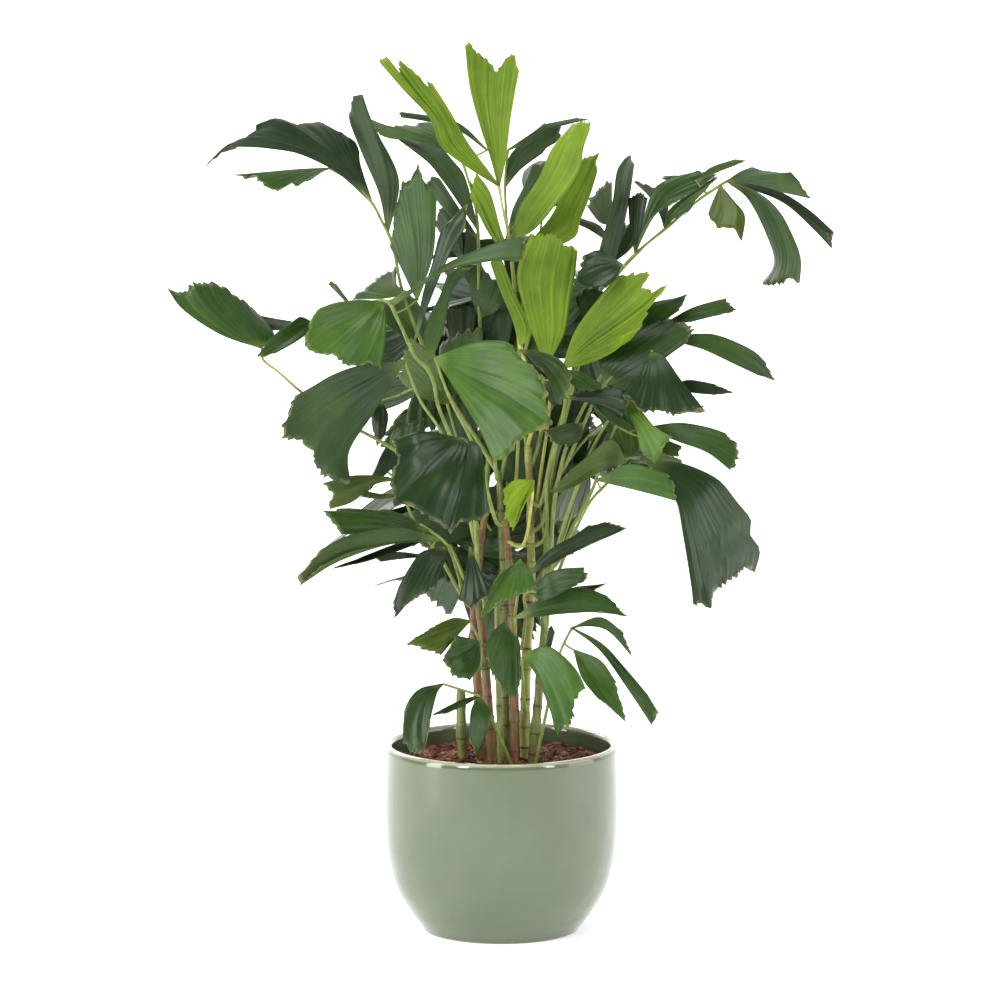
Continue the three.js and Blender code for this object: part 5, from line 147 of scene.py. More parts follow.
        ('blue', (131.8,-48.1,711.5), [(127.4,-48.4,741.2),(156.6,-40.2,768.1),(201.2,-20,791.1)], [(225.9,-44.7,791.6),(244.4,-60.2,783.4)], [(175.1,-66.1,726.9),(231.6,-70,769.4)]),
        ('mid', (206.9,-50,771.9), [(251,-52,777.3),(276.3,-50.9,774.6),(317.1,-45.2,756),(335.1,-40,738.8)], [(346.2,-49,717)], [(238.3,-54.7,763.6),(257.3,-55.9,757.4),(289,-55,742),(322.1,-50,726.1)]),
    ]),
    ('frond_17', 1.50, 3.00, [(220.7,-60,714.6),(187.7,-68,720.8),(152.3,-84.4,695.1),(118,-91.9,643.2),(85.8,-76.9,557),(67.9,-63.9,491.4),(55.7,-48.4,433),(58.6,-21.1,446.1)], [
        ('gloss', (190,-70,756.7), [(174.2,-102.3,738),(151.4,-120,708.7)], [(180.2,-125.5,685.4),(199,-125,689.2),(217.9,-122.1,683.7),(228,-119.6,685.9),(245.7,-113.8,686.4)], [(204.8,-83.1,752),(224.5,-102.2,726.6),(254.6,-110,688.4)]),
        ('dark', (220.7,-60,714.6), [(238.2,-67.4,720.7),(269.6,-70,716)], [(294.7,-75.1,705.2)], [(238.2,-69.3,705.7),(269.6,-74,702.5)]),
    ]),
    ('frond_18', 1.50, 2.72, [(155.7,-90,704.7),(147.1,-88,672.6),(131.4,-89.2,633.3),(113.1,-76.9,577),(90.5,-64.9,532.8),(72.7,-44.2,485.4),(60,-20.4,469.2)], [
        ('light', (155.7,-90,704.7), [(154.2,-106.2,687.9),(167.8,-120.6,670.8),(173.9,-130,640.5)], [(192.4,-145.5,623.8)], [(176.5,-120.2,687.2),(193.7,-139.3,669.7),(213.4,-150,659.8)]),
        ('mid', (181.1,-90,662.7), [(222.1,-105.9,671.3),(257.2,-111,667),(281.1,-110,659.2)], [(298.2,-124.4,643.5),(295.7,-129.9,621.5)], [(224.5,-113.2,648.2),(259.4,-124.7,635.9),(288.2,-130,613.9)]),
        ('mid', (181.2,-86,649.5), [(199.8,-98.2,651.2),(227.2,-110,642.7)], [(221.9,-118.8,630)], [(193.4,-104.4,639.4),(211.9,-120,631.5)]),
    ]),
    ('frond_19', 1.50, 2.58, [(174.9,-90,624.6),(156.1,-84,622.4),(137.3,-80,595),(111.9,-87.6,568),(89.3,-79.9,520.8),(69.4,-53.6,466.2),(58.9,-20.9,450.7)], [
        ('gloss', (174.9,-90,624.6), [(199.7,-107.4,605.5),(219.5,-123.5,576.1),(228.1,-137.8,533.9),(238.1,-148.7,472.1),(240.7,-150,448.1)], [(249.6,-146.9,447.6),(261.1,-141.4,441.6),(267.7,-128.8,459.8),(284.6,-113.2,468.7),(297.7,-99.4,474.1),(304.5,-82.9,485.5)], [(197.5,-92,621),(225.3,-93,618.6),(272.1,-91,598),(297.6,-86.1,567.9),(315.7,-80.6,544),(314.7,-76.4,525.4),(327.7,-69.8,503.9),(322,-60,472.8)]),
        ('bright', (120.6,-100,598), [(161.7,-118.5,621.1),(209.2,-130,610.1)], [(216.6,-135.8,595.7)], [(174.3,-123.5,587.6),(219.2,-136,576.8)]),
        ('olive', (157.2,-84.4,619), [(132.3,-68.8,657.2),(112.3,-52.3,690.7)], [(139.9,-65.2,684.8)], [(175.1,-78.1,639.4),(171.4,-70,663.8)]),
        ('olive', (157.2,-84.4,619), [(139.3,-101.7,650.4),(111.5,-114.7,632),(86.4,-119.3,612.3)], [(60.1,-110.5,583)], [(124.3,-103.2,608.7),(99.1,-111.8,594.7),(76.4,-113.5,584.8)]),
    ]),
    ('frond_20', 1.50, 2.69, [(23.5,-122,765.8),(24.5,-71,699.7),(21.4,-29,631.9),(15.9,-11,557),(4.8,-20,534.6)], [
        ('grey', (23.5,-122,765.8), [(48.4,-150.8,750.6),(60.8,-162,729.5),(68.3,-163,705.7)], [(73.2,-163.8,702.1),(86.9,-164.5,723.5)], [(54.6,-151.2,765.8),(75.7,-162.1,757.1),(86.9,-162.6,739.6)]),
        ('dark', (23.5,-122,765.8), [(36,-116.6,750),(54.8,-130.9,731.7)], [(61,-132.2,729.3)], [(26,-115.6,765),(48.5,-130.1,746.7)]),
    ]),
    ('frond_21', 1.50, 2.82, [(76.4,-88,736.1),(80.3,-86,702.9),(74.2,-70,657.4),(57.7,-47.7,589.8),(54.1,-32.7,510.4),(8.1,-20.1,501.9)], [
        ('mid', (76.4,-88,736.1), [(99,-98.1,734.9),(126.6,-100,720)], [(129.1,-102.8,712.7)], [(83.9,-99.6,725),(98.9,-104,710.4)]),
        ('dark', (80.2,-85.4,700.7), [(111.6,-95.6,709.2),(139.1,-103.4,715.3),(155.4,-105.5,711.8)], [(158.6,-133.9,698)], [(124,-107.1,694.3),(151.5,-118.7,679.4)]),
        ('mid', (111.6,-96,699.1), [(136.6,-106.9,694.3),(167.9,-114.2,669.9)], [(170.3,-121.8,663.4)], [(130.3,-112.6,678.6),(161.5,-124,662.4)]),
        ('dark', (55.2,-76,721.9), [(56.4,-81.2,703.5),(64,-80,690.6)], [(76.5,-85.1,691.3)], [(63.9,-81.6,717.5),(74,-84,702.6)]),
        ('grey', (103.4,-60,663.6), [(80.5,-72.7,665.4),(52.7,-80,657.5)], [(64,-84,644.1)], [(99.4,-74.5,645.3),(83,-80,637.1)]),
    ]),
    ('frond_22', 1.50, 2.35, [(39.8,-140,602.7),(38.8,-120.9,575.6),(27.7,-60.9,508.7),(7.6,-20.1,507.4)], [
        ('lime', (39.8,-140,602.7), [(17.2,-162,607.3),(2.2,-170,595.8)], [(4.7,-174.4,564.9),(14.7,-174.9,544.8)], [(39.7,-158.2,594),(29.7,-170,583.2)]),
    ]),
    ('frond_23', 1.50, 2.21, [(49.7,26,546.9),(56.1,22,476.2),(46.9,25.5,437.5),(36.4,8,416.9)], [
        ('dark', (49.7,26,546.9), [(-1.6,40.9,583.5),(-27.2,40.6,628.9)], [(-1.6,44.1,647.8),(30.5,43.8,647.9)], [(56.1,38.6,583.9),(56.1,39.5,629.1)]),
        ('dark', (55.2,22.8,477), [(43.3,34.7,526.1),(37,56.7,574.7)], [(56.2,57.3,626.5),(75.5,56.4,637)], [(70.2,29.8,526.9),(83.2,51.9,588.4)]),
    ]),
    ('frond_24', 1.50, 2.37, [(-103.2,-40,532.6),(-87.9,-44,522.9),(-68.9,-48,506.8),(-55.5,-22.7,466.9),(-45.5,-2.7,424.8),(-34,13.6,422.6)], [
        ('dark', (-69,-46.7,505.8), [(-90.3,-65.2,503.2),(-102.9,-71.7,500.3),(-128,-86.7,464.3),(-138.1,-90,443.1)], [(-134.3,-98.8,422.8),(-112.6,-106.7,444.6)], [(-68.7,-65.8,496.8),(-77.3,-96.2,478.7),(-82.3,-110,463.1)]),
        ('mid', (-90.7,-43.3,524.6), [(-128.3,-57.4,544.3),(-153.6,-60.5,552.4),(-191.6,-60,554.9)], [(-225.3,-75.4,554.7),(-216.4,-80.3,544),(-202.4,-86.2,527)], [(-109.3,-60.8,525.6),(-140.7,-77.6,524.4),(-178.3,-90,525)]),
        ('grey', (-103.2,-40,532.6), [(-128.6,-37.1,545),(-147.8,-30,550.3)], [(-163,-34,548.4)], [(-122.2,-40.4,537.8),(-147.7,-34,543.2)]),
        ('grey', (-74.9,-47.7,512.9), [(-128,-77.1,533.2),(-190.7,-98.9,527.7),(-228.3,-110,510.3)], [(-257.3,-116,476.9),(-253.5,-116.5,466.7)], [(-134.3,-81.5,514.7),(-190.7,-103.3,506.7),(-228.3,-116,489.6)]),
        ('dark', (-82.6,-45.5,518.9), [(-128.2,-69.7,512.9),(-172.1,-90,499.5)], [(-216.3,-94,483.5)], [(-128.2,-72.2,504.3),(-172,-94,492.4)]),
        ('dark', (-96.9,-44,492), [(-128.4,-59.2,499.6),(-153.6,-66,498.2)], [(-159.9,-70,493.7)], [(-128.4,-61.4,491),(-153.6,-70,488.5)]),
    ]),
    ('frond_25', 1.50, 2.21, [(-39.4,-90,509.7),(-28.6,-58.5,473.5),(-21.1,-28.5,417),(-28,-21.9,427.7)], [
        ('dark', (-39.4,-90,509.7), [(-45.7,-110.4,478.5),(-54.5,-120,448.2)], [(-36.8,-127.4,436.6)], [(-24.2,-115.7,479.4),(-14.1,-126,455.5)]),
    ]),
    ('frond_26', 1.50, 2.35, [(23.6,-140,502.4),(21.7,-98.7,459.3),(15.5,-48.7,405.8),(14.4,-17.9,409.1)], [
        ('bright', (23.6,-140,502.4), [(-5.3,-174.4,486.5),(-19,-190,460)], [(-26.5,-192.6,438.9),(-1.6,-191.9,455.2)], [(36,-164.7,493.8),(44.7,-180,473.5)]),
    ]),
    ('frond_27', 1.50, 2.44, [(74.1,-116,452.6),(32.5,-118,458),(31,-54.8,417.4),(24.8,-14.8,365.3),(15,-17.8,381.7)], [
        ('mid', (37.3,-113.2,454.8), [(55,-132,480.8),(73.8,-137.1,490.5),(105.2,-140,493.5)], [(108.9,-147.5,480.8)], [(55,-136.8,451),(88.8,-150,468.5)]),
        ('mid', (74.1,-116,452.6), [(93.5,-73.7,457),(112.4,-77.9,459)], [(135.3,-75,462.4)], [(93.4,-77.6,446.1),(114.9,-79.9,453)]),
    ]),
    ('frond_28', 1.50, 2.15, [(33.8,-90,475.1),(50.2,-85.3,438),(58.1,-55.3,394.2),(55.1,-22.1,395.3)], [
        ('dark', (33.8,-90,475.1), [(61.6,-95.9,508.1),(93.1,-94,526.9),(109.5,-90,539.1)], [(137.2,-98.6,544.3),(159.8,-104,537.5)], [(67.8,-104.5,494.1),(111.8,-110,519.3)]),
    ]),
    ('frond_29', 1.50, 2.27, [(17.4,-110,423.4),(17.7,-58.2,375.4),(17.8,-28.2,324.7),(16.2,-17.8,326.9)], [
        ('mid', (17.4,-110,423.4), [(55.1,-121.9,452.3),(99.1,-125.7,465.7),(133.2,-123,453.8)], [(159.4,-136.8,430.6)], [(48.8,-125.4,428.6),(73.9,-133.7,432.6),(124.1,-140,436.2)]),
    ]),
    ('frond_30', 1.50, 2.07, [(-39.7,-60,411),(-27,-62,383),(-28.3,-45.1,347.6),(-20.6,-22,348.8)], [
        ('olive', (-39.7,-60,411), [(-58.6,-79.9,418.3),(-77.5,-90,414.9)], [(-119.2,-99.2,388.2),(-96.4,-100.5,380.8)], [(-54.8,-81.4,396.7),(-76.2,-100,374.2)]),
        ('mid', (-28.7,-61.3,385.1), [(-42.1,-88,394),(-58.4,-100,399.9)], [(-73.6,-104.9,368.7),(-62.3,-104.1,348)], [(-26.9,-88.8,359.4),(-39.5,-100,342.1)]),
    ]),
    ('frond_31', 1.50, 2.26, [(4.8,-70,411.4),(6,-47.6,371.8),(7.4,-17.6,321.1),(5.1,20.2,320.8)], [
        ('mid', (4.8,-70,411.4), [(-7.9,-96.2,405.7),(-21.7,-120,390.6)], [(-14.2,-126.9,357.3),(2.2,-127.8,334.4),(18.6,-125.8,321.2)], [(14.9,-86.5,397.6),(22.5,-93.8,392.4),(26.2,-120,345.8)]),
    ]),
    ('frond_32', 1.50, 2.42, [(49,-112,367.4),(27.5,-118,377.4),(27.5,-96.2,340.3),(30.3,-36.2,293),(30.8,8,290.6)], [
        ('bright', (26.9,-117.3,376.1), [(42.5,-140.8,358.5),(61.4,-150,319.3)], [(70.1,-160.9,281.7),(90.2,-163.7,302.7),(93.9,-162.8,328)], [(55.1,-139.2,392.7),(76.4,-150.2,383.2),(96.4,-158.1,362.9),(106.5,-160,341.6)]),
        ('dark', (49,-112,367.4), [(56.5,-111.9,389.2),(60.3,-106,409.9)], [(64.1,-108.6,415.5)], [(60.3,-113.3,380.5),(67.9,-108,405.2)]),
    ]),
    ('frond_33', 1.50, 2.45, [(89.9,-60,402),(74.8,-55,368.8),(60.9,-50,307.1),(42.2,-40.7,214)], [
        ('mid', (89.9,-60,402), [(121.5,-72.6,381),(149.4,-83.1,349.3),(178.5,-90,315.8)], [(191.2,-92.9,281.5),(200,-93.1,298.4)], [(127.9,-74.1,383.8),(156.9,-84.6,354.8),(186,-92,321.3)]),
        ('mid', (89.9,-60,402), [(125.5,-56.2,415.5),(153.7,-50,396.4)], [(167.7,-53.1,363.3)], [(125.5,-57.1,407.9),(149.8,-52,389)]),
        ('bright', (92.5,-64,374.3), [(102.3,-94.7,345),(121.1,-110,323.4)], [(159.1,-110.2,287.4)], [(125.1,-89,365.8),(144,-100,342.1)]),
    ]),
    ('frond_34', 1.50, 2.35, [(-73.9,-80,333.3),(-49.8,-80,325.6),(-26.9,-84,317.3),(-14.3,-70,291.4),(16.8,-45.6,214)], [
        ('blue', (-73.9,-80,333.3), [(-105.4,-95.7,328.5),(-123.1,-105.6,303.3),(-121.8,-110,273.2)], [(-124.3,-114.2,262.4),(-110.3,-119.2,249.2),(-97.6,-121.2,253.5)], [(-81.4,-94.9,325.7),(-90,-120,294.4)]),
        ('mid', (-28.4,-84.2,318.5), [(-49.7,-92.6,315),(-71.2,-100.8,306.2)], [(-90.3,-97.2,295.2)], [(-45.9,-90.4,308.2),(-68.7,-97.3,299.1)]),
        ('mid', (-28.4,-84.2,318.5), [(-38.2,-109.8,302.8),(-39.5,-125.2,269.7)], [(-29.4,-120.7,246.9)], [(-12.9,-102.3,297.5),(-23.1,-109.6,264.1)]),
    ]),
    ('frond_35', 1.50, 2.51, [(-148.6,20,593.1),(-104.1,30,552.8),(-65.7,30,494.4),(-40,22,437.2),(-31.9,13.1,445.9)], [
        ('gloss', (-74.6,30.7,509.7), [(-48.5,35.9,489.7),(-20.6,37.3,477.4),(3.7,35.5,474.1),(28.6,31.1,476.1)], [(31.5,24.7,483.5),(18.4,16.5,490.7),(25.1,14.9,495.9),(15.2,16.5,503),(20,19.7,507.7),(7.3,31.8,513.6),(10,38.8,517.9)], [(-49.4,50.2,517.1),(-23.8,61.4,520.4),(-5.8,65.1,520.6)]),
        ('dark', (-51.6,26.6,462.4), [(-19.5,57.1,446.8),(6.7,88,424.2),(22.3,114.5,400),(33.1,143.6,371.3)], [(27.7,147.8,363.6),(15.2,152,370.8),(13.1,152.8,361.2),(0.4,151.4,365.6),(-2.9,149,358.2),(-17.3,141.4,365.9),(-21.9,136.3,360.5)], [(-51,59.4,427.2),(-44.4,94.1,394.7),(-36.8,120.4,373.2)]),
        ('dark', (-86.5,31.1,529), [(-66.9,36.7,507),(-51.2,46.4,482.4),(-43.8,56.4,459.6),(-40.5,69,434.7)], [(-45.8,66.6,431.3),(-53.4,62.2,442.8),(-56.6,59.8,436.1),(-64.9,56.8,444.2),(-68.8,55.3,439.2),(-78,52.6,449.7),(-82.4,51.6,446.4)], [(-93.4,32.3,502.7),(-93.7,40.5,477.5),(-91.4,49.5,459.7)]),
        ('dark', (-64,29.5,489.8), [(-37.7,48.4,491.1),(-13.3,57.9,489.1),(5.8,59.7,483.6),(23.9,56.1,475.2)], [(24.1,52.3,470.2),(12.6,45.9,471.3),(15.9,43.3,466),(6.3,40.8,464.2),(8.2,40.1,459.1),(-3.7,40.4,457.5),(-3.3,41.2,452.5)], [(-47.6,48.9,469.9),(-30.3,52,457.4),(-17.2,45.8,452)]),
        ('dark', (-137.3,22.8,583.5), [(-119.5,13.3,602.1),(-105.9,8.8,621.8),(-99.5,7.7,639.6),(-96.7,9,658.4)], [(-101.1,8.3,661.7),(-107.5,7.7,653),(-110.3,8,658.8),(-117.4,9.2,652.4),(-120.6,10.4,656.7),(-128.5,13.8,647.8),(-132.3,15.7,650.5)], [(-142.1,16.3,605.9),(-142.1,17.6,625.9),(-139.9,22,638.8)]),
    ]),
    ('frond_36', 1.50, 2.91, [(-97.6,60,783.9),(-81,58,717.1),(-59.3,50,640.5),(-37.5,40,564.2),(-27.9,21.1,501.2),(-26,11.1,498.2)], [
        ('olive', (-68.5,53.8,672.7), [(-73,23.5,705.2),(-83.5,4.5,733.8),(-97.5,-5.1,752.5),(-115.3,-9.8,767.3)], [(-121.9,-1.6,763.3),(-117.3,12,749.3),(-125.3,19.4,748.7),(-124,28.8,736.1),(-130.8,33.8,734.5),(-127.8,42.3,719.7),(-133.5,45.4,717)], [(-93.4,39.7,680.7),(-114.6,42.3,692.3),(-127.5,51.7,701.3)]),
        ('dark', (-44.5,44,590.2), [(-33.6,36.1,619.2),(-30.3,31.5,650.2),(-34.3,28.9,674.8),(-43.3,27.3,698.4)], [(-50.7,38.3,697.7),(-52.6,56.5,681),(-59.6,65.4,684.6),(-64,76,671.4),(-70.8,80.9,673.7),(-74.6,87.6,658.1),(-81,89.2,658.8)], [(-63,58.7,606),(-76.2,75.9,626.4),(-82.7,89.3,641.4)]),
        ('mid', (-88.5,59.3,746.6), [(-116.7,38.5,760),(-139.3,26.5,773.2),(-153.8,21.4,788.1),(-164.9,20.1,806)], [(-161.7,31,810.7),(-151.2,47.1,803.5),(-150.8,55.3,810.1),(-140.5,64.4,806.9),(-138.9,68.5,812.8),(-126.7,73.4,808.4),(-123.9,74.2,813.6)], [(-93.8,54.2,776),(-102.6,61.4,795.7),(-110.9,72.5,807.2)]),
        ('gloss', (-81.3,57.9,718.7), [(-102.7,43.5,702.3),(-116.4,46.1,678.6),(-121.4,58.7,655.9),(-121.7,81.5,630.5)], [(-115.1,82.1,627.2),(-108.4,83.6,637.7),(-103.7,84.9,631.2),(-95.6,87,638.8),(-90.5,88.7,633.8),(-81.9,92.2,643.7),(-76.2,94.2,640.4)], [(-72.1,49.9,698.7),(-68.2,70.6,672.9),(-68.5,99.5,653)]),
        ('dark', (-97.6,60,783.9), [(-113,69.3,751.4),(-132.8,70,727.3),(-153.6,65.3,714.5),(-177.4,55.6,707.5)], [(-183.7,61.9,712.8),(-174.8,73,722.7),(-183.7,80.4,724.7),(-178.6,91.3,735.3),(-185.9,98.5,738.2),(-178.4,112.8,749.9),(-184.1,119.9,754.1)], [(-128.5,103.5,780.2),(-155.5,128.1,772.9),(-173,137.5,765.6)]),
        ('dark', (-73.7,55.6,691), [(-84.7,76.9,714.1),(-90.5,97.7,733.4),(-91.5,115.3,749.8),(-89.6,133.8,766.2)], [(-85.4,131.9,768),(-82.7,128.4,758.1),(-79.3,127,763),(-75.4,125.6,755.1),(-71.9,125.1,758.3),(-67.9,125,748),(-64.5,125.3,749.7)], [(-67,82,710.4),(-62.7,108.1,725.8),(-61.3,127.4,736.9)]),
        ('dark', (-79,57.4,709.4), [(-104.4,77.3,686.4),(-131.8,100.3,667.2),(-156.4,121.5,656.1),(-182.5,145.5,648.2)], [(-186.2,142.8,653.3),(-173.4,137.3,661.7),(-180.7,135,664.5),(-171.5,132.2,673.2),(-176.9,131.1,676.6),(-164.7,129.6,686),(-168.2,129.4,690)], [(-107.2,79.4,710.4),(-134.1,107.1,705.3),(-152.9,130.2,699)]),
        ('mid', (-68.5,53.8,672.7), [(-47,38.3,702),(-31.3,32.4,727.9),(-24.5,33.4,750.5),(-22.8,39.9,773.9)], [(-28.9,38.7,777.9),(-36.4,38.6,766.3),(-40.6,39.8,773.3),(-49.4,43.3,764.6),(-54.1,46.3,769.5),(-63.6,54.7,757.4),(-68.9,59.3,760.4)], [(-77.2,48.6,704.6),(-79.2,58.8,728.7),(-77.9,74.1,744.3)]),
    ]),
    ('frond_37', 1.50, 3.00, [(126.2,50,857.2),(111.1,55,782),(90.7,50,692.3),(70.2,42,602.8),(57.6,-1.9,517),(60.3,-20.3,473.8)], [
        ('dark', (91.5,50.6,696.3), [(107.3,82,664.9),(113.6,102.3,630.8),(111,112.6,604.3),(102.3,117.8,579)], [(93.8,123.2,577.1),(90.8,130.5,590.7),(82.9,133.7,585.1),(77.1,136.4,596.7),(69.5,137.1,593.3),(64.1,136.1,608.5),(56.7,134.5,607.6)], [(72.7,95,672.2),(59.4,119.6,645),(53.2,128.2,626.1)]),
        ('dark', (108.4,54.3,770.3), [(94.9,65.3,734.6),(90,79,702.5),(93.6,92.4,676.6),(103.3,108.5,650.9)], [(111.7,107.7,650.3),(114.4,107.2,664.7),(122.1,107.5,659.8),(127.7,108.8,671.4),(135.2,110,668.3),(140.2,113.3,682.5),(147.5,115.4,681.3)], [(129,75.5,743.2),(143.4,100.8,717.4),(150.4,121.5,697.8)]),
        ('mid', (121.3,52,832.4), [(110.2,34.4,808.9),(95.6,22.9,789.1),(79.7,17,776.5),(61.2,13.9,766.7)], [(56.1,9.1,770.8),(62.8,0.9,781.9),(55.6,-3.2,783.1),(59.3,-8.1,793.5),(53.5,-10.4,795.5),(59.1,-13.8,807.2),(54.5,-14.8,810.2)], [(96.8,17.8,833),(76,-4.7,828.3),(62.7,-15.6,822.3)]),
        ('dark', (123.7,51,844.8), [(146,45.4,859.4),(163,44,872.5),(173.2,45.3,886.2),(180.3,49,901.9)], [(176.8,50.6,906.1),(168.8,54.4,899.8),(167.5,57.3,905.5),(159.3,62.3,901.7),(157.4,65.8,906.3),(148.1,73.7,900.4),(145.2,77.7,903.9)], [(125.5,60.4,868.7),(130.3,75.3,885.2),(135.7,89,895.3)]),
        ('dark', (74.5,45.1,622.4), [(83.3,36.3,643.1),(93.6,43.3,656.7),(104.4,59.6,664.3),(117,85.8,669)], [(119.9,79.2,668.4),(114.9,65,663.4),(119.2,58.9,664.5),(116.3,50.9,659.3),(119.8,47.6,659.4),(115.6,42.3,652.6),(118.3,41.3,651.4)], [(90.2,19.9,633.4),(103.6,23.4,639.9),(112.4,40.7,643.4)]),
    ]),
    ('frond_38', 1.50, 2.32, [(-40,40,551.2),(-1.6,40,492.8),(24.1,28,436.2),(37.5,8,444.9)], [
        ('dark', (-4.4,40.4,497.6), [(14.4,49.3,524.9),(37.4,58.4,543.1),(59.6,66.2,551),(84,74.7,553.3)], [(89,79,545.6),(78.3,84.3,535.2),(86.4,86.3,530.5),(79.3,87.4,519.8),(85.5,87,514.6),(75.7,84.1,503.3),(80,81.6,497.8)], [(23.1,52.2,489.5),(49.3,64.4,486.7),(66.9,73.3,488)]),
        ('dark', (15.5,33.5,454.3), [(14.5,38.6,430.6),(19.1,47.9,404.4),(26.8,58.3,383.8),(37.7,71.5,364)], [(42.6,68.7,364.7),(40.7,63.3,377.3),(46.2,61,374.7),(46.4,58.4,385.1),(51.3,57.4,383.8),(50.5,56.3,396.1),(54.8,56.2,396.1)], [(31.1,36.3,442.5),(44.4,46.4,424.4),(52.2,57.6,409.8)]),
        ('dark', (-17.5,40.6,517.9), [(-50.5,26.6,535.4),(-80.8,24.5,541.8),(-105.7,30.1,539.3),(-130.6,42.6,530.6)], [(-132,33.6,524.8),(-117.5,19.9,523.9),(-123.1,14.6,518.2),(-111.7,10.6,513.5),(-115.3,10.3,507.4),(-101,14.4,501.5),(-102.7,18,494.9)], [(-43.4,21.2,506.4),(-67.8,22.6,495.4),(-85.6,34,488.8)]),
        ('mid', (15.5,33.5,454.3), [(-9.5,36.7,434.5),(-28.2,45.4,409.7),(-38.2,55.5,385.9),(-43.9,68.6,359.3)], [(-38.6,64.8,355.4),(-29.5,57.1,367.6),(-26.8,52.7,360.7),(-17.3,46.3,369.2),(-13.7,42.6,363.9),(-3,34.9,375.3),(1.4,31.8,371.7)], [(18.2,21.5,429.5),(16.2,19.8,404.3),(12.1,23,386.4)]),
        ('olive', (15.5,33.5,454.3), [(-7.4,60.5,425.4),(-22,74.6,395.7),(-26.3,77.9,370.8),(-24.8,74.1,346)], [(-17.1,79.8,341.6),(-10,86.5,353.2),(-4,88.9,345.6),(4.9,89.7,354.8),(11.1,88.8,349.9),(20.6,83.8,363.1),(27.3,79.9,360.5)], [(28.4,64.5,423.1),(34.5,72.5,395.5),(35.4,67.1,378.2)]),
    ]),
    ('frond_39', 1.50, 2.95, [(177.4,30,682.1),(139.3,38,642.2),(103.6,38,577.5),(77.9,24,501.8),(41.6,29.7,416),(56.8,-21.8,418.4)], [
        ('dark', (76.1,25.4,498.6), [(39.2,47.1,491.5),(11,69.3,472.4),(-7.4,82.8,451.9),(-21.7,92.7,427.9)], [(-17.6,92.3,420.7),(-4.1,92.9,427.6),(-3.8,94.2,418.1),(9.2,97.2,420.7),(11,99.7,412.4),(26.2,106.3,416.7),(29.6,109.9,409.6)], [(66.9,67.4,467.4),(56.1,102.7,435.8),(45.7,121,416.6)]),
        ('gloss', (111.2,38.3,592.6), [(91.7,4.2,586),(75.8,-15.9,570.2),(67,-26.1,553.7),(61.8,-31,534.8)], [(66.1,-21.7,529.6),(73.8,-2.8,535.4),(75.9,7.8,527.4),(84,23.4,530.8),(86.9,32.1,524.6),(96.1,50.6,529.9),(99.7,58,525.2)], [(114.6,38.6,574.3),(112.5,57.3,550.3),(109,78.6,532.9)]),
        ('dark', (169.5,31.8,674.2), [(140.2,12.9,657.5),(119.1,0.3,638.1),(108.1,-7.4,618.1),(101.7,-13,595.2)], [(107.6,-13.5,590),(117.5,-13.5,599.8),(120.7,-12.9,591.6),(131.3,-11.2,597.6),(135.3,-9.8,590.9),(147.3,-5.9,599.1),(152.2,-3.7,594)], [(171.3,14.1,646.2),(168.8,5.4,621.7),(164.2,3,605)]),
        ('mid', (169.5,31.8,674.2), [(173.9,32.7,705),(172,38,733.5),(164.7,44.8,754.9),(153,54,774.5)], [(146.1,53.3,774.2),(146.8,52.7,760.6),(139.7,53,764.2),(137.7,54.3,752.4),(131.2,55.4,753.9),(130.2,58.8,739.3),(124.3,60.6,738.9)], [(149,39.5,690.7),(133.8,53.6,708.3),(125.5,67,721.6)]),
        ('gloss', (127.2,38.8,622.3), [(143.2,23.8,611.4),(159.9,16.8,602.3),(174.8,13.7,597.8),(190.6,13,595.4)], [(193.1,15.9,598.2),(185.4,23.4,601.9),(190.2,28.2,603.1),(184.7,36.3,607.3),(188.3,40.9,608.8),(181.1,52.9,613),(183.4,57.6,615.1)], [(145.6,44.4,624.9),(162.5,59.7,622.3),(174.2,74,618.4)]),
        ('mid', (101.4,37.3,572.3), [(99.7,53.3,546.4),(97.4,69.6,522.5),(91.9,81.4,504.2),(83.8,92,486.8)], [(79.6,89.3,487.3),(80.6,82.4,498.4),(76,78.6,496.2),(75.3,72.2,505.5),(71.3,68.8,504.5),(71.2,60.2,516.2),(67.5,57,516.5)], [(85.1,41.9,556.8),(74.8,45.5,541.4),(69,46,530.2)]),
        ('gloss', (97.9,35,561.8), [(86.8,32.3,574.7),(81.1,36.2,585.4),(79,41.8,594.5),(78.9,50,603.9)], [(81.4,46.8,605.7),(84.1,41.4,601.2),(85.8,38.8,604.6),(89.1,35.8,601.1),(91.2,34.5,603.4),(94.6,32.8,598.6),(96.8,32.6,599.9)], [(98.8,26.7,576.2),(100.2,28.3,586.7),(100,33,593.5)]),
    ]),
    ('frond_40', 1.50, 2.83, [(26.8,115,800.6),(20.4,100,711.6),(12.6,75,624),(6.2,45,550.5),(-1.3,15.6,555.8)], [
        ('gloss', (22.4,104.9,738.4), [(46,100.1,761.1),(71.9,95.4,778.3),(95.4,90.8,786),(120.3,85.5,788.6)], [(124.3,81.4,782.5),(112.2,78,775),(119.6,78.6,770.5),(111.2,83.1,760.8),(116.9,87.7,755.3),(105.6,101.8,743.4),(109.5,110,736.8)], [(50.4,118.7,726.8),(76.9,130.1,723.3),(95.1,136.8,724)]),
        ('mid', (9.8,62.1,587.2), [(16.2,71,555.8),(17.3,84,525.8),(12.7,96.5,501.4),(3.9,110.9,477.8)], [(-2.3,104.1,478.4),(-3.1,91.2,493.5),(-9.2,84.7,490.4),(-12.1,75.7,502.6),(-17.8,71.3,500.8),(-20.1,63,515.6),(-25.5,60.1,515.4)], [(-7.7,53.1,568.2),(-19.8,51.8,547.9),(-26,53.6,532.3)]),
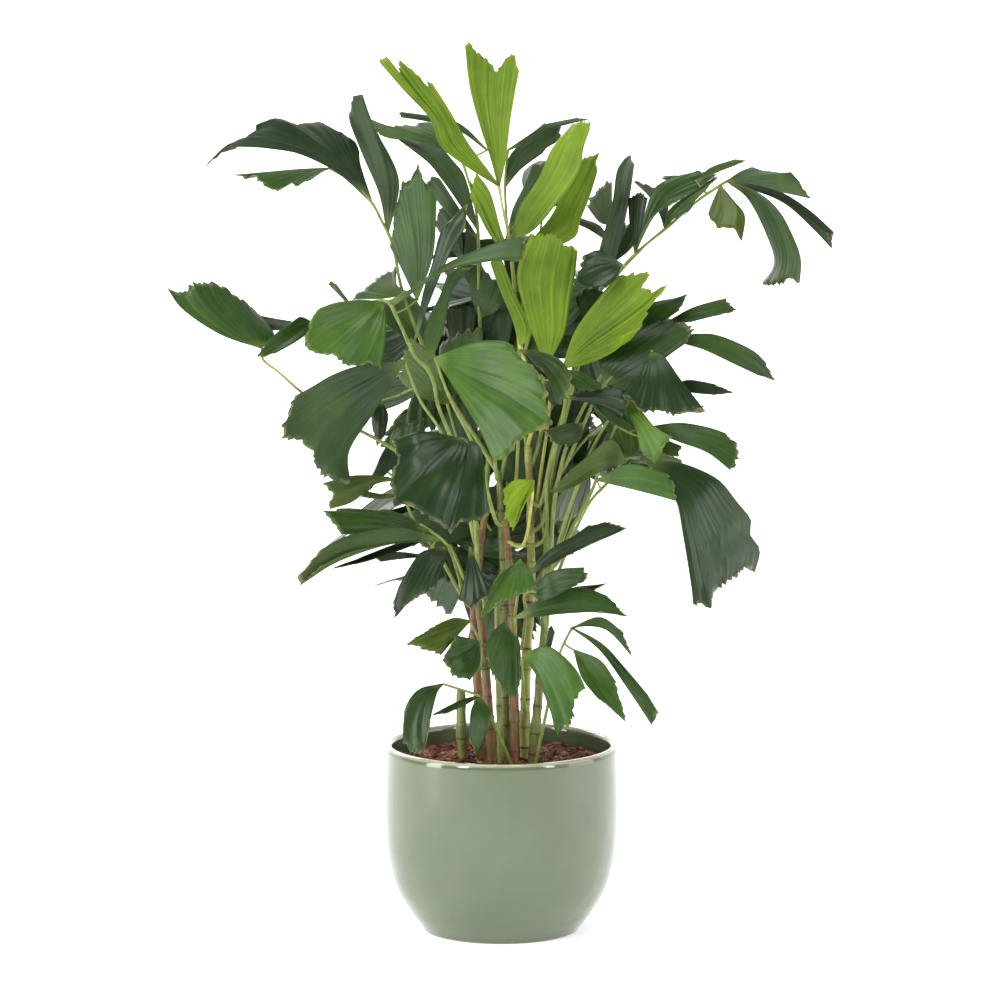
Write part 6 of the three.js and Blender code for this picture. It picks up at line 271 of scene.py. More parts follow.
        ('dark', (26.1,113.4,790.2), [(11.6,119.8,818.8),(4,129.7,846.3),(4.1,140.2,868.9),(9.2,153.3,891.3)], [(16,151.9,893.2),(19.9,150,880),(25.8,149.5,885.8),(31.7,149.6,875.3),(37.5,150.1,879),(43.3,152.1,865.4),(49.3,153.4,867.2)], [(40.9,125,813.3),(50,142.5,835),(53.6,158.1,850.4)]),
        ('olive', (16.5,88.3,666.9), [(12.7,107.5,629.7),(3.2,119.3,597.3),(-10.1,123.9,574.1),(-27.6,123.7,554.2)], [(-34.3,118.5,556.7),(-30.1,110.1,572.5),(-38.1,107.1,570.6),(-37.2,104.9,583.7),(-44.2,105,583.1),(-41.6,108.2,598.1),(-47.6,110.6,599)], [(-9,111.9,648.4),(-29.8,122,629.1),(-42.2,121.7,614.8)]),
    ]),
    ('frond_41', 1.50, 3.00, [(-66.4,231,768),(-58.2,190.1,754.3),(-50.4,151,736),(-43.1,114.5,712.5),(-36.5,81.9,683.9),(-36.9,88.6,650.4),(-35,80.9,612.7),(-29.5,51.5,571.6),(-19.7,8.6,544.5)], [
        ('gloss', (-66.4,231,768), [(-45.9,282.8,755.6),(-48.2,329.7,740.5),(-60.7,366.8,727.7),(-80.8,405.4,714.1)], [(-89.4,402.2,718.4),(-92.9,382.4,728.9),(-106.4,384.3,729.3),(-111.6,364.9,737.2),(-119.7,366.2,736),(-120.7,341.1,745),(-132.2,339.9,743.6)], [(-98.8,260.2,767.1),(-121.2,292.4,759.7),(-135.1,316.4,750.8)]),
        ('dark', (-56.9,183.3,751.3), [(-82.2,233.7,759),(-112.8,265.9,746.9),(-141.2,284.5,729.7),(-173.8,299.4,706.9)], [(-177.3,291.1,703.9),(-169.4,275,708.2),(-172.4,266.9,703.5),(-164.3,246.7,703.6),(-168.3,240.1,695.9),(-151.7,221.4,702.8),(-154.7,213.8,694.3)], [(-92,180.5,731),(-122.9,187.4,710.5),(-143.5,196.2,694.6)]),
        ('gloss', (-51.6,157.2,739), [(-33.1,207.8,726.6),(-1.5,242.7,711.4),(30.9,265.1,698.7),(69.6,285.2,684.6)], [(73.4,278.6,689),(63.4,263.6,698.8),(71.6,265.9,696.5),(65.4,240.7,708.4),(66,237,709.4),(54.4,218.3,717.6),(60.1,210.8,717.8)], [(-11.6,166.5,739.7),(24.2,181.2,732.9),(49.2,193.1,724.6)]),
        ('dark', (-46.6,132.2,724.5), [(-100.8,116.7,718),(-149.8,119.8,703.6),(-188.3,131.2,689),(-228.4,149.1,671.4)], [(-224.6,157,673.7),(-205.3,161.3,682.3),(-209.7,167.7,679.6),(-183.8,175.5,687.9),(-184.6,182.7,685.4),(-157.9,184,693.7),(-155.3,195.2,689.9)], [(-76.4,162.4,717.9),(-109.8,183,706.8),(-134.8,195.4,695.8)]),
        ('gloss', (-41.8,108.2,708.1), [(-25.7,154.1,690.5),(-0.3,181.6,667.1),(25.8,195.8,645.6),(57,205.7,621.3)], [(61.2,200.8,621.9),(57.8,183.3,633.5),(63.8,175.8,632),(55.4,158,643.7),(59.5,152,641.7),(50.1,134.5,652),(54,126.1,649.5)], [(-5.2,102.8,692.5),(25.3,106.9,673.9),(45.4,112,657.9)]),
        ('mid', (-37.5,87,688.8), [(-57.9,120.8,662.3),(-86.9,139.2,639),(-115.6,146.7,621.3),(-149.3,149.9,603.2)], [(-157.1,142.5,607.4),(-146.5,133.6,620.9),(-151.9,128.1,622.3),(-139,118.4,635.6),(-143.2,113.3,636.3),(-135.2,94.4,649.9),(-139,90.9,649.1)], [(-73.9,78.4,683),(-105.6,78.5,671.8),(-127.3,79.4,660.4)]),
    ]),
    ('frond_42', 1.50, 2.78, [(-2.7,195,749.4),(-2.4,161.8,738.1),(-2.2,130.1,723.3),(-2,100.6,704.4),(-1.8,74.2,681.4),(-6.3,5.2,654.6),(-8.2,-31.8,624.4),(-6.1,-24.8,591.6),(-2.5,14.3,581.2)], [
        ('mid', (-2.7,195,749.4), [(-32.1,240,743.8),(-42.1,283.5,728.7),(-40.9,319.3,712.8),(-33.7,357.6,693.4)], [(-21.9,357.5,693.8),(-15.8,342.1,701.6),(-4.8,345.9,697.7),(4.8,324,706.3),(11.6,328,701.9),(21.4,302.1,710.6),(26.7,304,707.2)], [(20.5,227.1,737.9),(32.6,260.1,723.7),(38.3,284.2,710.9)]),
        ('mid', (-2.4,161.6,737.8), [(-37.2,197.9,718.5),(-75.6,216.8,694.2),(-109.4,223,671.8),(-147,223.7,646.2)], [(-151.1,215,647),(-137.2,199.4,661.4),(-139.7,196.8,660),(-127.6,181.5,670.2),(-127.5,172.6,670.2),(-111.5,159,680.9),(-114.4,158.3,678.7)], [(-39.2,144.2,722.6),(-73.9,139.7,704.2),(-97.8,139.1,688)]),
        ('gloss', (-2.3,135.9,726), [(45.6,128.6,715.1),(81.8,133.4,692.3),(106.7,144,668.8),(130.4,159.4,640.7)], [(128.5,167,637.5),(110.3,171.5,648.3),(110.2,176.9,643.6),(85.8,184.9,650.8),(85.3,184.3,651.8),(62.4,188.7,658.7),(57.9,192.9,655.5)], [(10.4,164.2,704),(28.5,182.8,680.8),(42.7,193.1,662.4)]),
        ('mid', (-2.1,117.4,715.8), [(-18.8,161.9,702),(-45.1,195.4,683.5),(-72.2,217.1,666),(-104.6,236.6,645.5)], [(-110.6,230.9,646.9),(-103.2,215.7,657.3),(-107.1,212.4,657),(-102.1,195.8,665),(-106.3,189.5,664.4),(-95.8,169.7,674.1),(-101.8,163.1,671.5)], [(-39.9,122.1,705.3),(-71.2,135.9,691.7),(-92.3,147.5,679.2)]),
        ('dark', (-1.9,94.6,699.1), [(54.8,103.9,685),(91.9,128.5,662.3),(113.6,156.9,641.4),(131.2,192.4,617.8)], [(126.6,200.7,617.5),(105.6,195.2,631.4),(103.1,205,627.7),(76.2,198.6,640.9),(70.6,202.8,640),(46.3,197,649.1),(38.8,201.9,647.2)], [(-1.5,138.9,687),(9,174.3,669.3),(18.9,197.4,653.4)]),
        ('olive', (-1.9,78.5,685.5), [(-42.9,90,662.7),(-69.5,115.7,645.6),(-85.8,143,634),(-99.5,176.3,623.2)], [(-93,183.4,630.8),(-82.5,176.2,640.3),(-81,176.6,641.5),(-65.3,174,652.9),(-61.6,178.4,654.5),(-46.8,165.3,664.8),(-40.2,174.9,666.4)], [(-7.8,112.8,686.5),(-17.9,143.8,681.8),(-25.7,165.5,675.1)]),
    ]),
    ('frond_43', 1.50, 3.00, [(79,226.5,821.1),(71,185.9,807.1),(63.4,147.1,788.5),(56.3,111,764.9),(49.9,78.6,736.2),(54.1,46.9,702.8),(53.8,23.4,665.1),(46.9,10.1,624.1),(35.4,6.6,592.3)], [
        ('gloss', (79,226.5,821.1), [(118.8,267.5,811.5),(133.9,313.2,802.8),(135.3,353.4,797.2),(129.8,398.1,792.5)], [(121,401.9,796.9),(110.7,383.5,805.6),(100.3,388,808.5),(89.5,367,815.3),(76.5,371.1,817),(65.4,349.7,822.3),(57.8,348.8,823.2)], [(58.6,265.1,829.8),(48.8,303.8,830.4),(43.8,332.3,827)]),
        ('mid', (69.9,180.2,804.4), [(21.6,193,788.1),(-9.5,218.8,768.3),(-27.3,247.2,752),(-41.5,282.2,734.6)], [(-36.5,284.7,738),(-20.7,279.1,750.1),(-15.8,293.1,748.2),(4.2,285.8,759.9),(8.4,288.4,760.5),(29.3,282.9,769.5),(35.3,286.3,769.6)], [(70.1,222.3,800.5),(61.6,256.2,789.2),(53.8,279,777.7)]),
        ('gloss', (64.9,154.7,792.4), [(112,188.4,799.6),(159,210.7,789.4),(198.2,223.3,773.2),(240.7,233.4,750.9)], [(240,219.1,744.6),(223,210,751.4),(227.8,204.9,744.2),(207.1,188.6,746.4),(210.8,184.3,738.8),(184.8,167.7,741.9),(184.1,165.5,739.7)], [(102.6,145.7,771.5),(140.1,147.6,752.7),(167,152.9,738.2)]),
        ('dark', (60.1,130.4,778.2), [(31.9,176.3,796.9),(-7.6,210.4,805.5),(-45.9,232,808.1),(-90.8,251.3,807.9)], [(-98.2,243.8,807.1),(-81.3,222.3,805.8),(-86.8,221,804.8),(-73.9,199.3,800.6),(-77.8,196.6,798.9),(-60.9,175.8,793.8),(-65.5,170.3,790.2)], [(15.5,128.7,780.6),(-25.1,139.2,783.1),(-53.9,150.3,782.9)]),
        ('olive', (54.2,101.8,757.5), [(103,96.6,754),(146,102.6,741.6),(179.3,114.4,728.1),(213.6,131.4,711.4)], [(209.9,137.8,712.7),(192.3,139.5,720.1),(194.2,147.1,717.4),(172.5,148.4,724.6),(171.8,153.4,722.7),(152.1,151.6,729.3),(149.8,162.8,724.1)], [(79,131.6,750.8),(107.2,150.7,739.9),(128.5,162.3,729.7)]),
        ('dark', (50.1,80.9,738.4), [(38.1,121.1,783.1),(7.5,152.8,809.1),(-26.4,173.9,823.5),(-68.1,193.3,834.6)], [(-73.2,186.2,830.8),(-66.9,165.5,818.2),(-77,163.1,815),(-70.4,143.8,799.5),(-77.9,143,796.6),(-62.6,122,779.1),(-76,117.7,768.6)], [(4.2,80.1,743),(-35.4,90.7,750.9),(-62.8,102.9,756.5)]),
    ]),
    ('frond_44', 1.50, 2.77, [(13.3,219.5,647.6),(11.1,185,649.9),(9,150.5,646.9),(7,117.2,637.8),(5,86.3,622.3),(-14.6,69.7,600.6),(-23.4,52.7,573.3),(-16.8,34.2,541.7),(-0.5,16.5,536.8)], [
        ('mid', (13.3,219.5,647.6), [(-15.1,251.2,615.4),(-20,281,582.5),(-13.1,305.7,555.9),(1.1,332.4,527.8)], [(5.2,332.1,531.2),(16.1,325.1,546.6),(22.1,325.9,547.7),(34.8,315.9,562.6),(46.6,316.2,562.6),(53.8,299.9,581.3),(59.4,300.1,580.4)], [(41.2,246,633.2),(58.7,270.5,612.4),(69.1,286.8,594.2)]),
        ('gloss', (10.5,174.8,649.6), [(-25.1,170.7,625.5),(-52,180,599.2),(-70.7,194.1,576.8),(-88.4,213.3,552.3)], [(-88,218.1,552.5),(-75.9,220.4,567.1),(-75.7,227.7,564.8),(-61.2,226.9,580),(-61.3,230.8,577.9),(-46.9,226.1,593.3),(-41.8,238.1,590.6)], [(-2.4,201.6,636.5),(-17.5,221.9,618.8),(-28.4,234.8,603.5)]),
        ('dark', (8.8,147.1,646), [(49.5,144.3,634.4),(81.2,147.7,612.4),(103.3,153.8,589.6),(124.6,162.3,562.1)], [(122.1,166.5,560.1),(105.7,170.8,569.6),(106.5,173.7,564.8),(91.3,176,573),(87.3,180.2,568.4),(71.7,179.7,579.4),(65.3,182.1,578.2)], [(20.9,165.7,623.1),(37.5,177.7,600.2),(50.5,183.8,582.8)]),
        ('olive', (7.3,120.2,638.6), [(-43.8,120.3,634.3),(-85.3,136.2,624),(-115.5,156.9,613.7),(-145.4,184,601.3)], [(-141.4,187.4,603.2),(-123.3,186.2,610.6),(-123,196.9,609.1),(-100.2,195.2,615.6),(-99.8,202.7,613.5),(-75.4,195.5,620.2),(-73.1,205.7,616.8)], [(-10.2,155,636.3),(-33.3,182.3,629.4),(-51.6,200.3,621.6)]),
        ('dark', (6.2,89.7,624.8), [(30.3,73.9,592.3),(48.3,72.7,557.5),(61.3,80,528.5),(74,92.9,497.2)], [(74.1,101.3,500.1),(68.4,106.9,516.4),(70.4,110.2,510.6),(61.8,117.6,529.6),(60.3,123.9,529.9),(50.9,131.4,545.8),(47.9,141,544.6)], [(19.8,116.6,605.4),(32.3,132.3,580.9),(39.9,141.4,561)]),
    ]),
    ('frond_45', 1.50, 2.57, [(-118,141.8,562.7),(-102.8,118.7,557.9),(-88.1,96.2,549.6),(-74.2,75.1,537.3),(-61.6,55.9,521),(-42.3,48.6,500.9),(-30.3,39.5,477.5),(-28,26.9,451.4),(-30.7,12.7,457.5)], [
        ('dark', (-118,141.8,562.7), [(-116.8,199.5,552),(-130.5,242,528.9),(-149.6,270.3,504.8),(-175,296.4,476.1)], [(-183.7,288.5,476.3),(-184.6,268.7,486.5),(-192.8,265,482.2),(-194.7,239.8,490.3),(-199.2,236.3,487.2),(-195.7,217.4,496.1),(-206.3,206.4,487.5)], [(-155.8,152.7,541),(-183.4,171.6,517.6),(-200.1,187.2,498.6)]),
        ('olive', (-98.7,112.4,556), [(-139.5,123.4,537.3),(-174.6,118.2,516.3),(-201.3,105.8,498.4),(-228.4,87.5,478.8)], [(-228,80.1,480.5),(-214.4,80.2,492),(-212.3,73.5,493.6),(-195.7,67,504.5),(-194.9,61.3,503.8),(-176.1,56.4,514),(-173.9,55.3,515)], [(-119.1,84.3,547.9),(-142.2,64.5,534.7),(-158.9,52,522.4)]),
        ('gloss', (-87,94.7,548.6), [(-39.4,108.4,551.5),(-4.3,128.8,538.6),(18.7,149.3,521.3),(39.6,173.6,498.7)], [(36.5,178.8,494.6),(16,174.8,499.5),(11.6,180.1,493.4),(-8.2,172.7,498.8),(-15.8,177,490.9),(-32.5,168.2,496.9),(-40.1,171.4,488.6)], [(-82.3,124.4,526.5),(-68.8,149,506.4),(-56.3,164.5,491)]),
        ('gloss', (-76.1,77.8,538.9), [(-112,53.2,522.2),(-148.6,48.3,505.5),(-179.2,53,492.3),(-212.4,63.4,478.7)], [(-214.4,72.4,482.5),(-200.3,78,493.1),(-203.7,85.1,493.4),(-187.1,88.8,503),(-185.7,96.1,504.9),(-168.7,103.6,513.8),(-167.8,108.9,514.5)], [(-104.5,97.7,537.2),(-133.6,110.5,529.5),(-154.5,118.2,520.8)]),
        ('mid', (-64.2,58.6,524.2), [(-58.1,107.2,510.3),(-37.4,142.8,493.7),(-13.1,167.1,479.6),(17.4,189.8,464.1)], [(22.3,189.4,464.4),(19.2,169.1,477.9),(26.7,168.1,477.2),(20.8,149.5,487.2),(33.4,144.5,485.5),(17.8,128,496.1),(28,122.4,494.7)], [(-28,71.3,521.3),(1.7,88.7,512.2),(21.8,102.4,502.6)]),
    ]),
    ('frond_46', 1.50, 2.76, [(153.5,140.9,651.1),(132.2,116.4,640.2),(111.8,92.9,625.7),(92.8,71.1,607.3),(75.7,51.5,584.9),(64.4,53.3,558.6),(54.2,47.7,529.1),(45,31,497),(38.1,8,501.1)], [
        ('gloss', (153.5,140.9,651.1), [(164.6,196.6,647),(192.4,237.9,640.8),(223.3,265.7,635.6),(261.5,291.5,629.9)], [(269.7,287.6,632.8),(257.1,266,640.4),(268.5,262.1,641.8),(258.1,242.9,646.8),(268.3,233.8,647.6),(254.2,213.3,651.7),(260.6,205.3,651.7)], [(195.1,151.4,657.3),(230.8,169.9,657.2),(255.8,185.3,653.7)]),
        ('dark', (126.6,110,636.7), [(144.5,153.7,624.2),(143.6,191.4,605.9),(133.4,220,589),(116.5,249.1,569.8)], [(106.9,245.6,572.5),(100.5,231.5,581.1),(95.6,230.4,580.9),(88.3,214.5,588.2),(78.3,213.8,585),(74.5,190.8,595.2),(69.7,188.9,593.9)], [(95.6,130.3,626.2),(75.7,154.3,612.1),(64,172.2,599.2)]),
        ('olive', (110.6,91.6,624.6), [(143,66.6,607.4),(178.8,59.1,594.7),(210,60.1,586.5),(244.6,65.9,579.2)], [(245.2,69.3,582.5),(233.2,77.5,594),(234.7,80.6,595.5),(220.9,85.9,603.4),(222.1,93.2,606.6),(204.9,98.3,614.2),(205.2,105.7,616.7)], [(140.6,103.1,629.3),(170.7,110.3,627.7),(192.6,114.7,623.4)]),
        ('dark', (95.6,74.2,610.1), [(88.3,117.3,588.6),(66.2,150.8,575.2),(40.8,174.1,568.5),(8.9,196.4,564.2)], [(3.6,196,568.1),(11.1,180.1,580.6),(4.7,177.8,585.1),(11.2,162.3,594.6),(3.3,158.4,599.1),(11.8,137.8,609.3),(6.2,137.4,610.4)], [(61.1,87,620.5),(31.8,104.7,622.1),(10.8,118.1,619.6)]),
        ('dark', (79.1,54.4,590.2), [(124.5,35.8,593.2),(165.5,36.2,587.1),(197.3,45.8,578.6),(230.2,62,567.5)], [(226.3,70.4,568.1),(209.7,75.9,571.9),(208.1,87.4,569.1),(190,91.9,571.4),(189.1,97.8,569),(169.4,106.9,567.9),(165.1,110.4,566.6)], [(101.1,84.7,582.7),(127.6,104.3,574.3),(148.1,115.4,566.2)]),
    ]),
    ('frond_47', 1.50, 2.74, [(-26.1,193.6,574),(-15.2,161.6,575.3),(-4.4,129.8,571.6),(6.1,99.1,562),(15.8,70.7,546.3),(26.6,95.2,524.7),(34.3,96,497.9),(37.7,62.6,467),(38.1,8.1,473)], [
        ('mid', (-26.1,193.6,574), [(-15.1,241.2,550.9),(-22.6,281.3,524.9),(-37.5,311.7,502.7),(-59.1,342.4,478.3)], [(-69.6,342.7,479.6),(-67.5,326.4,494.2),(-77.4,327.4,492.8),(-75.6,306,509.5),(-86.3,303.9,508.7),(-87.4,285.1,520.8),(-96.9,281.2,520)], [(-57.6,217.5,563.5),(-80.7,243.8,547),(-95.2,262.8,531.9)]),
        ('dark', (-11.9,152,574.4), [(-43.2,181,570.5),(-73.5,198.4,554.9),(-98.6,207.1,537.3),(-125.6,212.8,515.1)], [(-127.7,206.7,512.2),(-114.7,194.5,520.7),(-118.6,190.1,515.1),(-104.4,176.4,521.4),(-105.2,175.7,520.1),(-92.9,161.3,521.8),(-91.9,157.6,519.4)], [(-37.2,143.4,555.9),(-61.6,143.5,537.6),(-78.6,146.4,523.3)]),
        ('gloss', (-3.9,128.4,570.9), [(10.5,177.3,556.8),(32,210.5,531.1),(54.2,229.9,505.3),(80.9,245.7,474.7)], [(89.3,237.5,471.4),(82.8,219.3,485.5),(88.6,218.3,479.7),(84.3,194.3,489.9),(86,194.5,487.9),(78.6,173.6,498.4),(80.6,167.6,496)], [(30.8,126.1,547.1),(58.1,135,522),(75.2,144,502)]),
        ('mid', (5.8,99.9,562.3), [(-36.3,84.5,554.6),(-69.4,79.9,534),(-93.2,82.8,512),(-116.8,90.2,485.5)], [(-114,98.6,483.4),(-101.6,103.9,491.8),(-101.1,112.9,484.3),(-84.9,118.4,493.7),(-79.8,125,490.5),(-61.3,131.5,498),(-61.8,133.1,495.3)], [(-10.6,123.4,540.3),(-29.6,135.1,517.6),(-43.8,140.3,500)]),
        ('dark', (14.3,78.1,548.9), [(33.9,128.7,550.4),(57.1,165.2,532),(78.9,187.7,508.8),(104.1,206.8,479.1)], [(107.9,197.1,475.2),(103,176.2,480.5),(107.6,177.7,474.3),(100.1,151.1,478),(103.7,144,467.9),(92.7,124.6,476.7),(93.4,115.6,468.7)], [(44.4,75.5,519.2),(69.5,86.3,491.9),(85.1,97.7,471.6)]),
    ]),
    ('frond_48', 1.50, 2.51, [(-63.9,169,461),(-59.1,143.8,466.9),(-54.1,118,468.4),(-49.2,92.4,464.7),(-44.6,68.3,455.4),(-35.2,55.4,440.5),(-29.7,41.9,420.7),(-29.7,27.1,397),(-34.9,14,399.2)], [
        ('gloss', (-63.9,169,461), [(-49.2,206.8,439.3),(-48.7,238.7,412.2),(-55.1,262.8,387.7),(-66.2,287.1,359.8)], [(-73.8,287.8,358.7),(-78.1,273.5,374.5),(-85.8,273.9,371.6),(-85.9,261.1,384.9),(-93.7,260.5,381.9),(-98.5,244.5,394.5),(-102.5,241.1,395.2)], [(-85.9,189.5,443.4),(-99.9,211,422.4),(-107.8,226.3,405.1)]),
        ('mid', (-56.4,129.9,468.1), [(-75.9,163.4,449.2),(-96.9,180.1,423.8),(-115.7,186.6,400.4),(-136.9,189,373.8)], [(-140.9,183.7,371.8),(-133.3,174.1,386),(-137.1,164.9,383.5),(-129.8,152.5,394.8),(-133.2,146.9,389.9),(-123.4,137.3,402.9),(-123.6,131.7,401.6)], [(-80.9,120.9,449.5),(-101.7,119,428.2),(-115.2,119.6,411.1)]),
        ('dark', (-51.8,106,467.4), [(-12.4,106.3,451.2),(12.4,115.6,427.1),(26.5,127.8,404),(37.7,143.9,377.2)], [(33.1,147.6,378.2),(20,150.8,386.1),(17.3,152.9,385.5),(5.5,152.9,393.7),(-3.2,157.1,392.7),(-20.2,157.3,400.5),(-24.3,158.9,399.6)], [(-51.6,129.9,446.1),(-45.1,147.7,423.9),(-38.9,158,406.3)]),
        ('gloss', (-47,78.9,460.3), [(-82.6,66.2,456.9),(-114.4,68.7,448.5),(-138.8,77.5,439.6),(-163.9,91.2,428.9)], [(-162.9,98.4,429.3),(-147.9,99.5,435.4),(-147.9,104.2,434.7),(-134.7,109.3,437.9),(-132.6,121.6,433.9),(-117.7,117,440),(-112.7,123.6,438.4)], [(-63.7,100.6,455),(-84,116.3,447.8),(-99.5,125.6,440.6)]),
    ]),
    ('frond_49', 1.50, 2.93, [(53.5,134.7,914.4),(49.9,111.1,882.4),(46.6,89.1,849.4),(43.6,69,815.1),(40.9,51,779.6),(30.1,41.5,742.9),(24.6,31.1,705.2),(26.6,18.8,666.6),(34.6,6.2,613.4)], [
        ('dark', (53.5,134.7,914.4), [(30.4,187.7,936.7),(27.9,242,948.5),(35.6,287.3,954.3),(50.2,336.4,957.8)], [(59,334.7,957.9),(66,309.2,955.7),(72.8,315.4,955.2),(81.5,288.2,950.3),(91.9,289.5,947.1),(93.8,263.3,942.5),(107.2,264.9,936.9)], [(83.5,170,922.1),(102.3,209.7,928.1),(112.6,240.5,930.2)]),
        ('dark', (49.2,106.1,875.1), [(15.6,131.3,863.5),(-21.2,142.7,856.7),(-53.5,145.1,852.7),(-89.5,143.1,849.5)], [(-93.6,136.6,854),(-75.4,130.8,861),(-80.4,125.7,863),(-64.3,118,868.9),(-67.8,113.8,870),(-48.7,104.6,875.7),(-51.9,98.2,876.9)], [(18,94.4,881.1),(-12.9,90.5,883),(-35.7,88.5,881.4)]),
        ('mid', (46.3,87,846.1), [(85.5,63.8,837.3),(121.1,58.8,821.4),(149.4,63.4,805.8),(179.1,73.9,787.6)], [(177.9,81.2,788.8),(164.6,87,797),(164.2,100.6,794.9),(150,103.3,802.3),(147.9,113.8,799.9),(131.7,118.2,806.9),(127.4,128.5,804.2)], [(70.1,111,835.2),(95.3,125.2,821.5),(113.8,132.8,809.3)]),
        ('mid', (43.9,69.5,816.1), [(6.4,104.9,813.1),(-34.8,121.6,802.6),(-71,127.4,792.1),(-111.3,128.6,779.7)], [(-116.5,119.5,780.9),(-98.4,110.2,789.1),(-105.8,101.3,787.6),(-86.5,92.3,794.6),(-85.4,89,795),(-67.9,75.9,800.1),(-69.6,67.4,798.5)], [(7.2,58.8,816.3),(-28.3,55.4,809.6),(-54,55.2,802)]),
        ('gloss', (41,54.1,785.1), [(56.5,98.7,792.3),(84.4,125.9,794),(113.1,140.8,794.7),(147.4,152,795.2)], [(151.8,144.2,797.4),(140.7,128.5,799.6),(146.6,125.7,799.9),(138.6,106.3,800.4),(147,98.4,799.1),(132,85.3,798.9),(135.2,77.7,797.5)], [(75.6,50.7,793),(107.1,55.6,795.8),(129.5,61.8,795.3)]),
    ]),
]


# ---------------------------------------------------------------- materials
def lin(c):
    return tuple((x / 12.92 if x <= 0.04045 else ((x + 0.055) / 1.055) ** 2.4) for x in (v / 255 for v in c)) + (1.0,)


class Mat:
    """A small helper that lays out a node material."""

    def __init__(self, name):
        self.m = bpy.data.materials.new(name)
        self.m.use_nodes = True
        self.t = self.m.node_tree
        self.p = self.t.nodes["Principled BSDF"]
        self.coord = self.t.nodes.new("ShaderNodeTexCoord")

    def node(self, kind, **inputs):
        n = self.t.nodes.new(kind)
        for k, v in inputs.items():
            if k in n.inputs:
                n.inputs[k].default_value = v
        return n

    def link(self, a, b):
        self.t.links.new(a, b)

    def mapped(self, scale, source="Object"):
        n = self.t.nodes.new("ShaderNodeMapping")
        n.inputs["Scale"].default_value = scale
        self.link(self.coord.outputs[source], n.inputs["Vector"])
        return n.outputs["Vector"]

    def noise(self, vector, scale, detail=4.0, rough=0.5, distort=0.0):
        n = self.node("ShaderNodeTexNoise", Scale=scale, Detail=detail, Roughness=rough, Distortion=distort)
        self.link(vector, n.inputs["Vector"])
        return n.outputs["Fac"]

    def ramp(self, fac, stops):
        n = self.t.nodes.new("ShaderNodeValToRGB")
        e = n.color_ramp.elements
        while len(e) < len(stops):
            e.new(0.5)
        for i, (pos, col) in enumerate(stops):
            e[i].position = pos
            e[i].color = col
        self.link(fac, n.inputs["Fac"])
        return n.outputs["Color"]

    def mix(self, fac, a, b, mode="MIX"):
        n = self.t.nodes.new("ShaderNodeMix")
        n.data_type = "RGBA"
        n.blend_type = mode
        for sock, v in ((n.inputs[0], fac), (n.inputs[6], a), (n.inputs[7], b)):
            if isinstance(v, (float, int, tuple)):
                sock.default_value = v
            else:
                self.link(v, sock)
        return n.outputs[2]

    def math(self, op, a, b=None, clamp=False):
        n = self.t.nodes.new("ShaderNodeMath")
        n.operation = op
        n.use_clamp = clamp
        for i, v in enumerate((a, b)):
            if v is None:
                continue
            if isinstance(v, (float, int)):
                n.inputs[i].default_value = v
            else:
                self.link(v, n.inputs[i])
        return n.outputs[0]

    def bump(self, height, strength, distance):
        n = self.node("ShaderNodeBump", Strength=strength, Distance=distance)
        self.link(height, n.inputs["Height"])
        self.link(n.outputs["Normal"], self.p.inputs["Normal"])

    def rough(self, low, high, fac):
        n = self.t.nodes.new("ShaderNodeMapRange")
        n.inputs["To Min"].default_value = low
        n.inputs["To Max"].default_value = high
        self.link(fac, n.inputs["Value"])
        self.link(n.outputs["Result"], self.p.inputs["Roughness"])


W0, W1 = (0.0, 0.0, 0.0, 1.0), (1.0, 1.0, 1.0, 1.0)

# tone: base, deep, vein colour, roughness, streak strength
TONES = {
    "lime": ((124, 158, 12), (86, 122, 8), (160, 188, 40), 0.42, 0.60),
    "light": ((84, 124, 32), (58, 98, 20), (122, 158, 58), 0.40, 0.42),
    "bright": ((64, 102, 28), (42, 80, 16), (96, 134, 50), 0.38, 0.34),
    "mid": ((46, 80, 20), (28, 58, 12), (74, 112, 36), 0.38, 0.36),
    "gloss": ((29, 58, 16), (15, 40, 9), (54, 90, 34), 0.30, 0.30),
    # darkest tone: partly the leaves' own deep green, partly painted shade for leaflets that sit in shadow
    "dark": ((25, 50, 14), (13, 33, 8), (48, 78, 28), 0.38, 0.30),
    "blue": ((44, 74, 34), (26, 52, 20), (78, 108, 60), 0.36, 0.32),
    "grey": ((60, 86, 40), (40, 64, 27), (96, 120, 68), 0.44, 0.32),
    "olive": ((72, 94, 22), (46, 70, 13), (106, 126, 44), 0.42, 0.34),
}


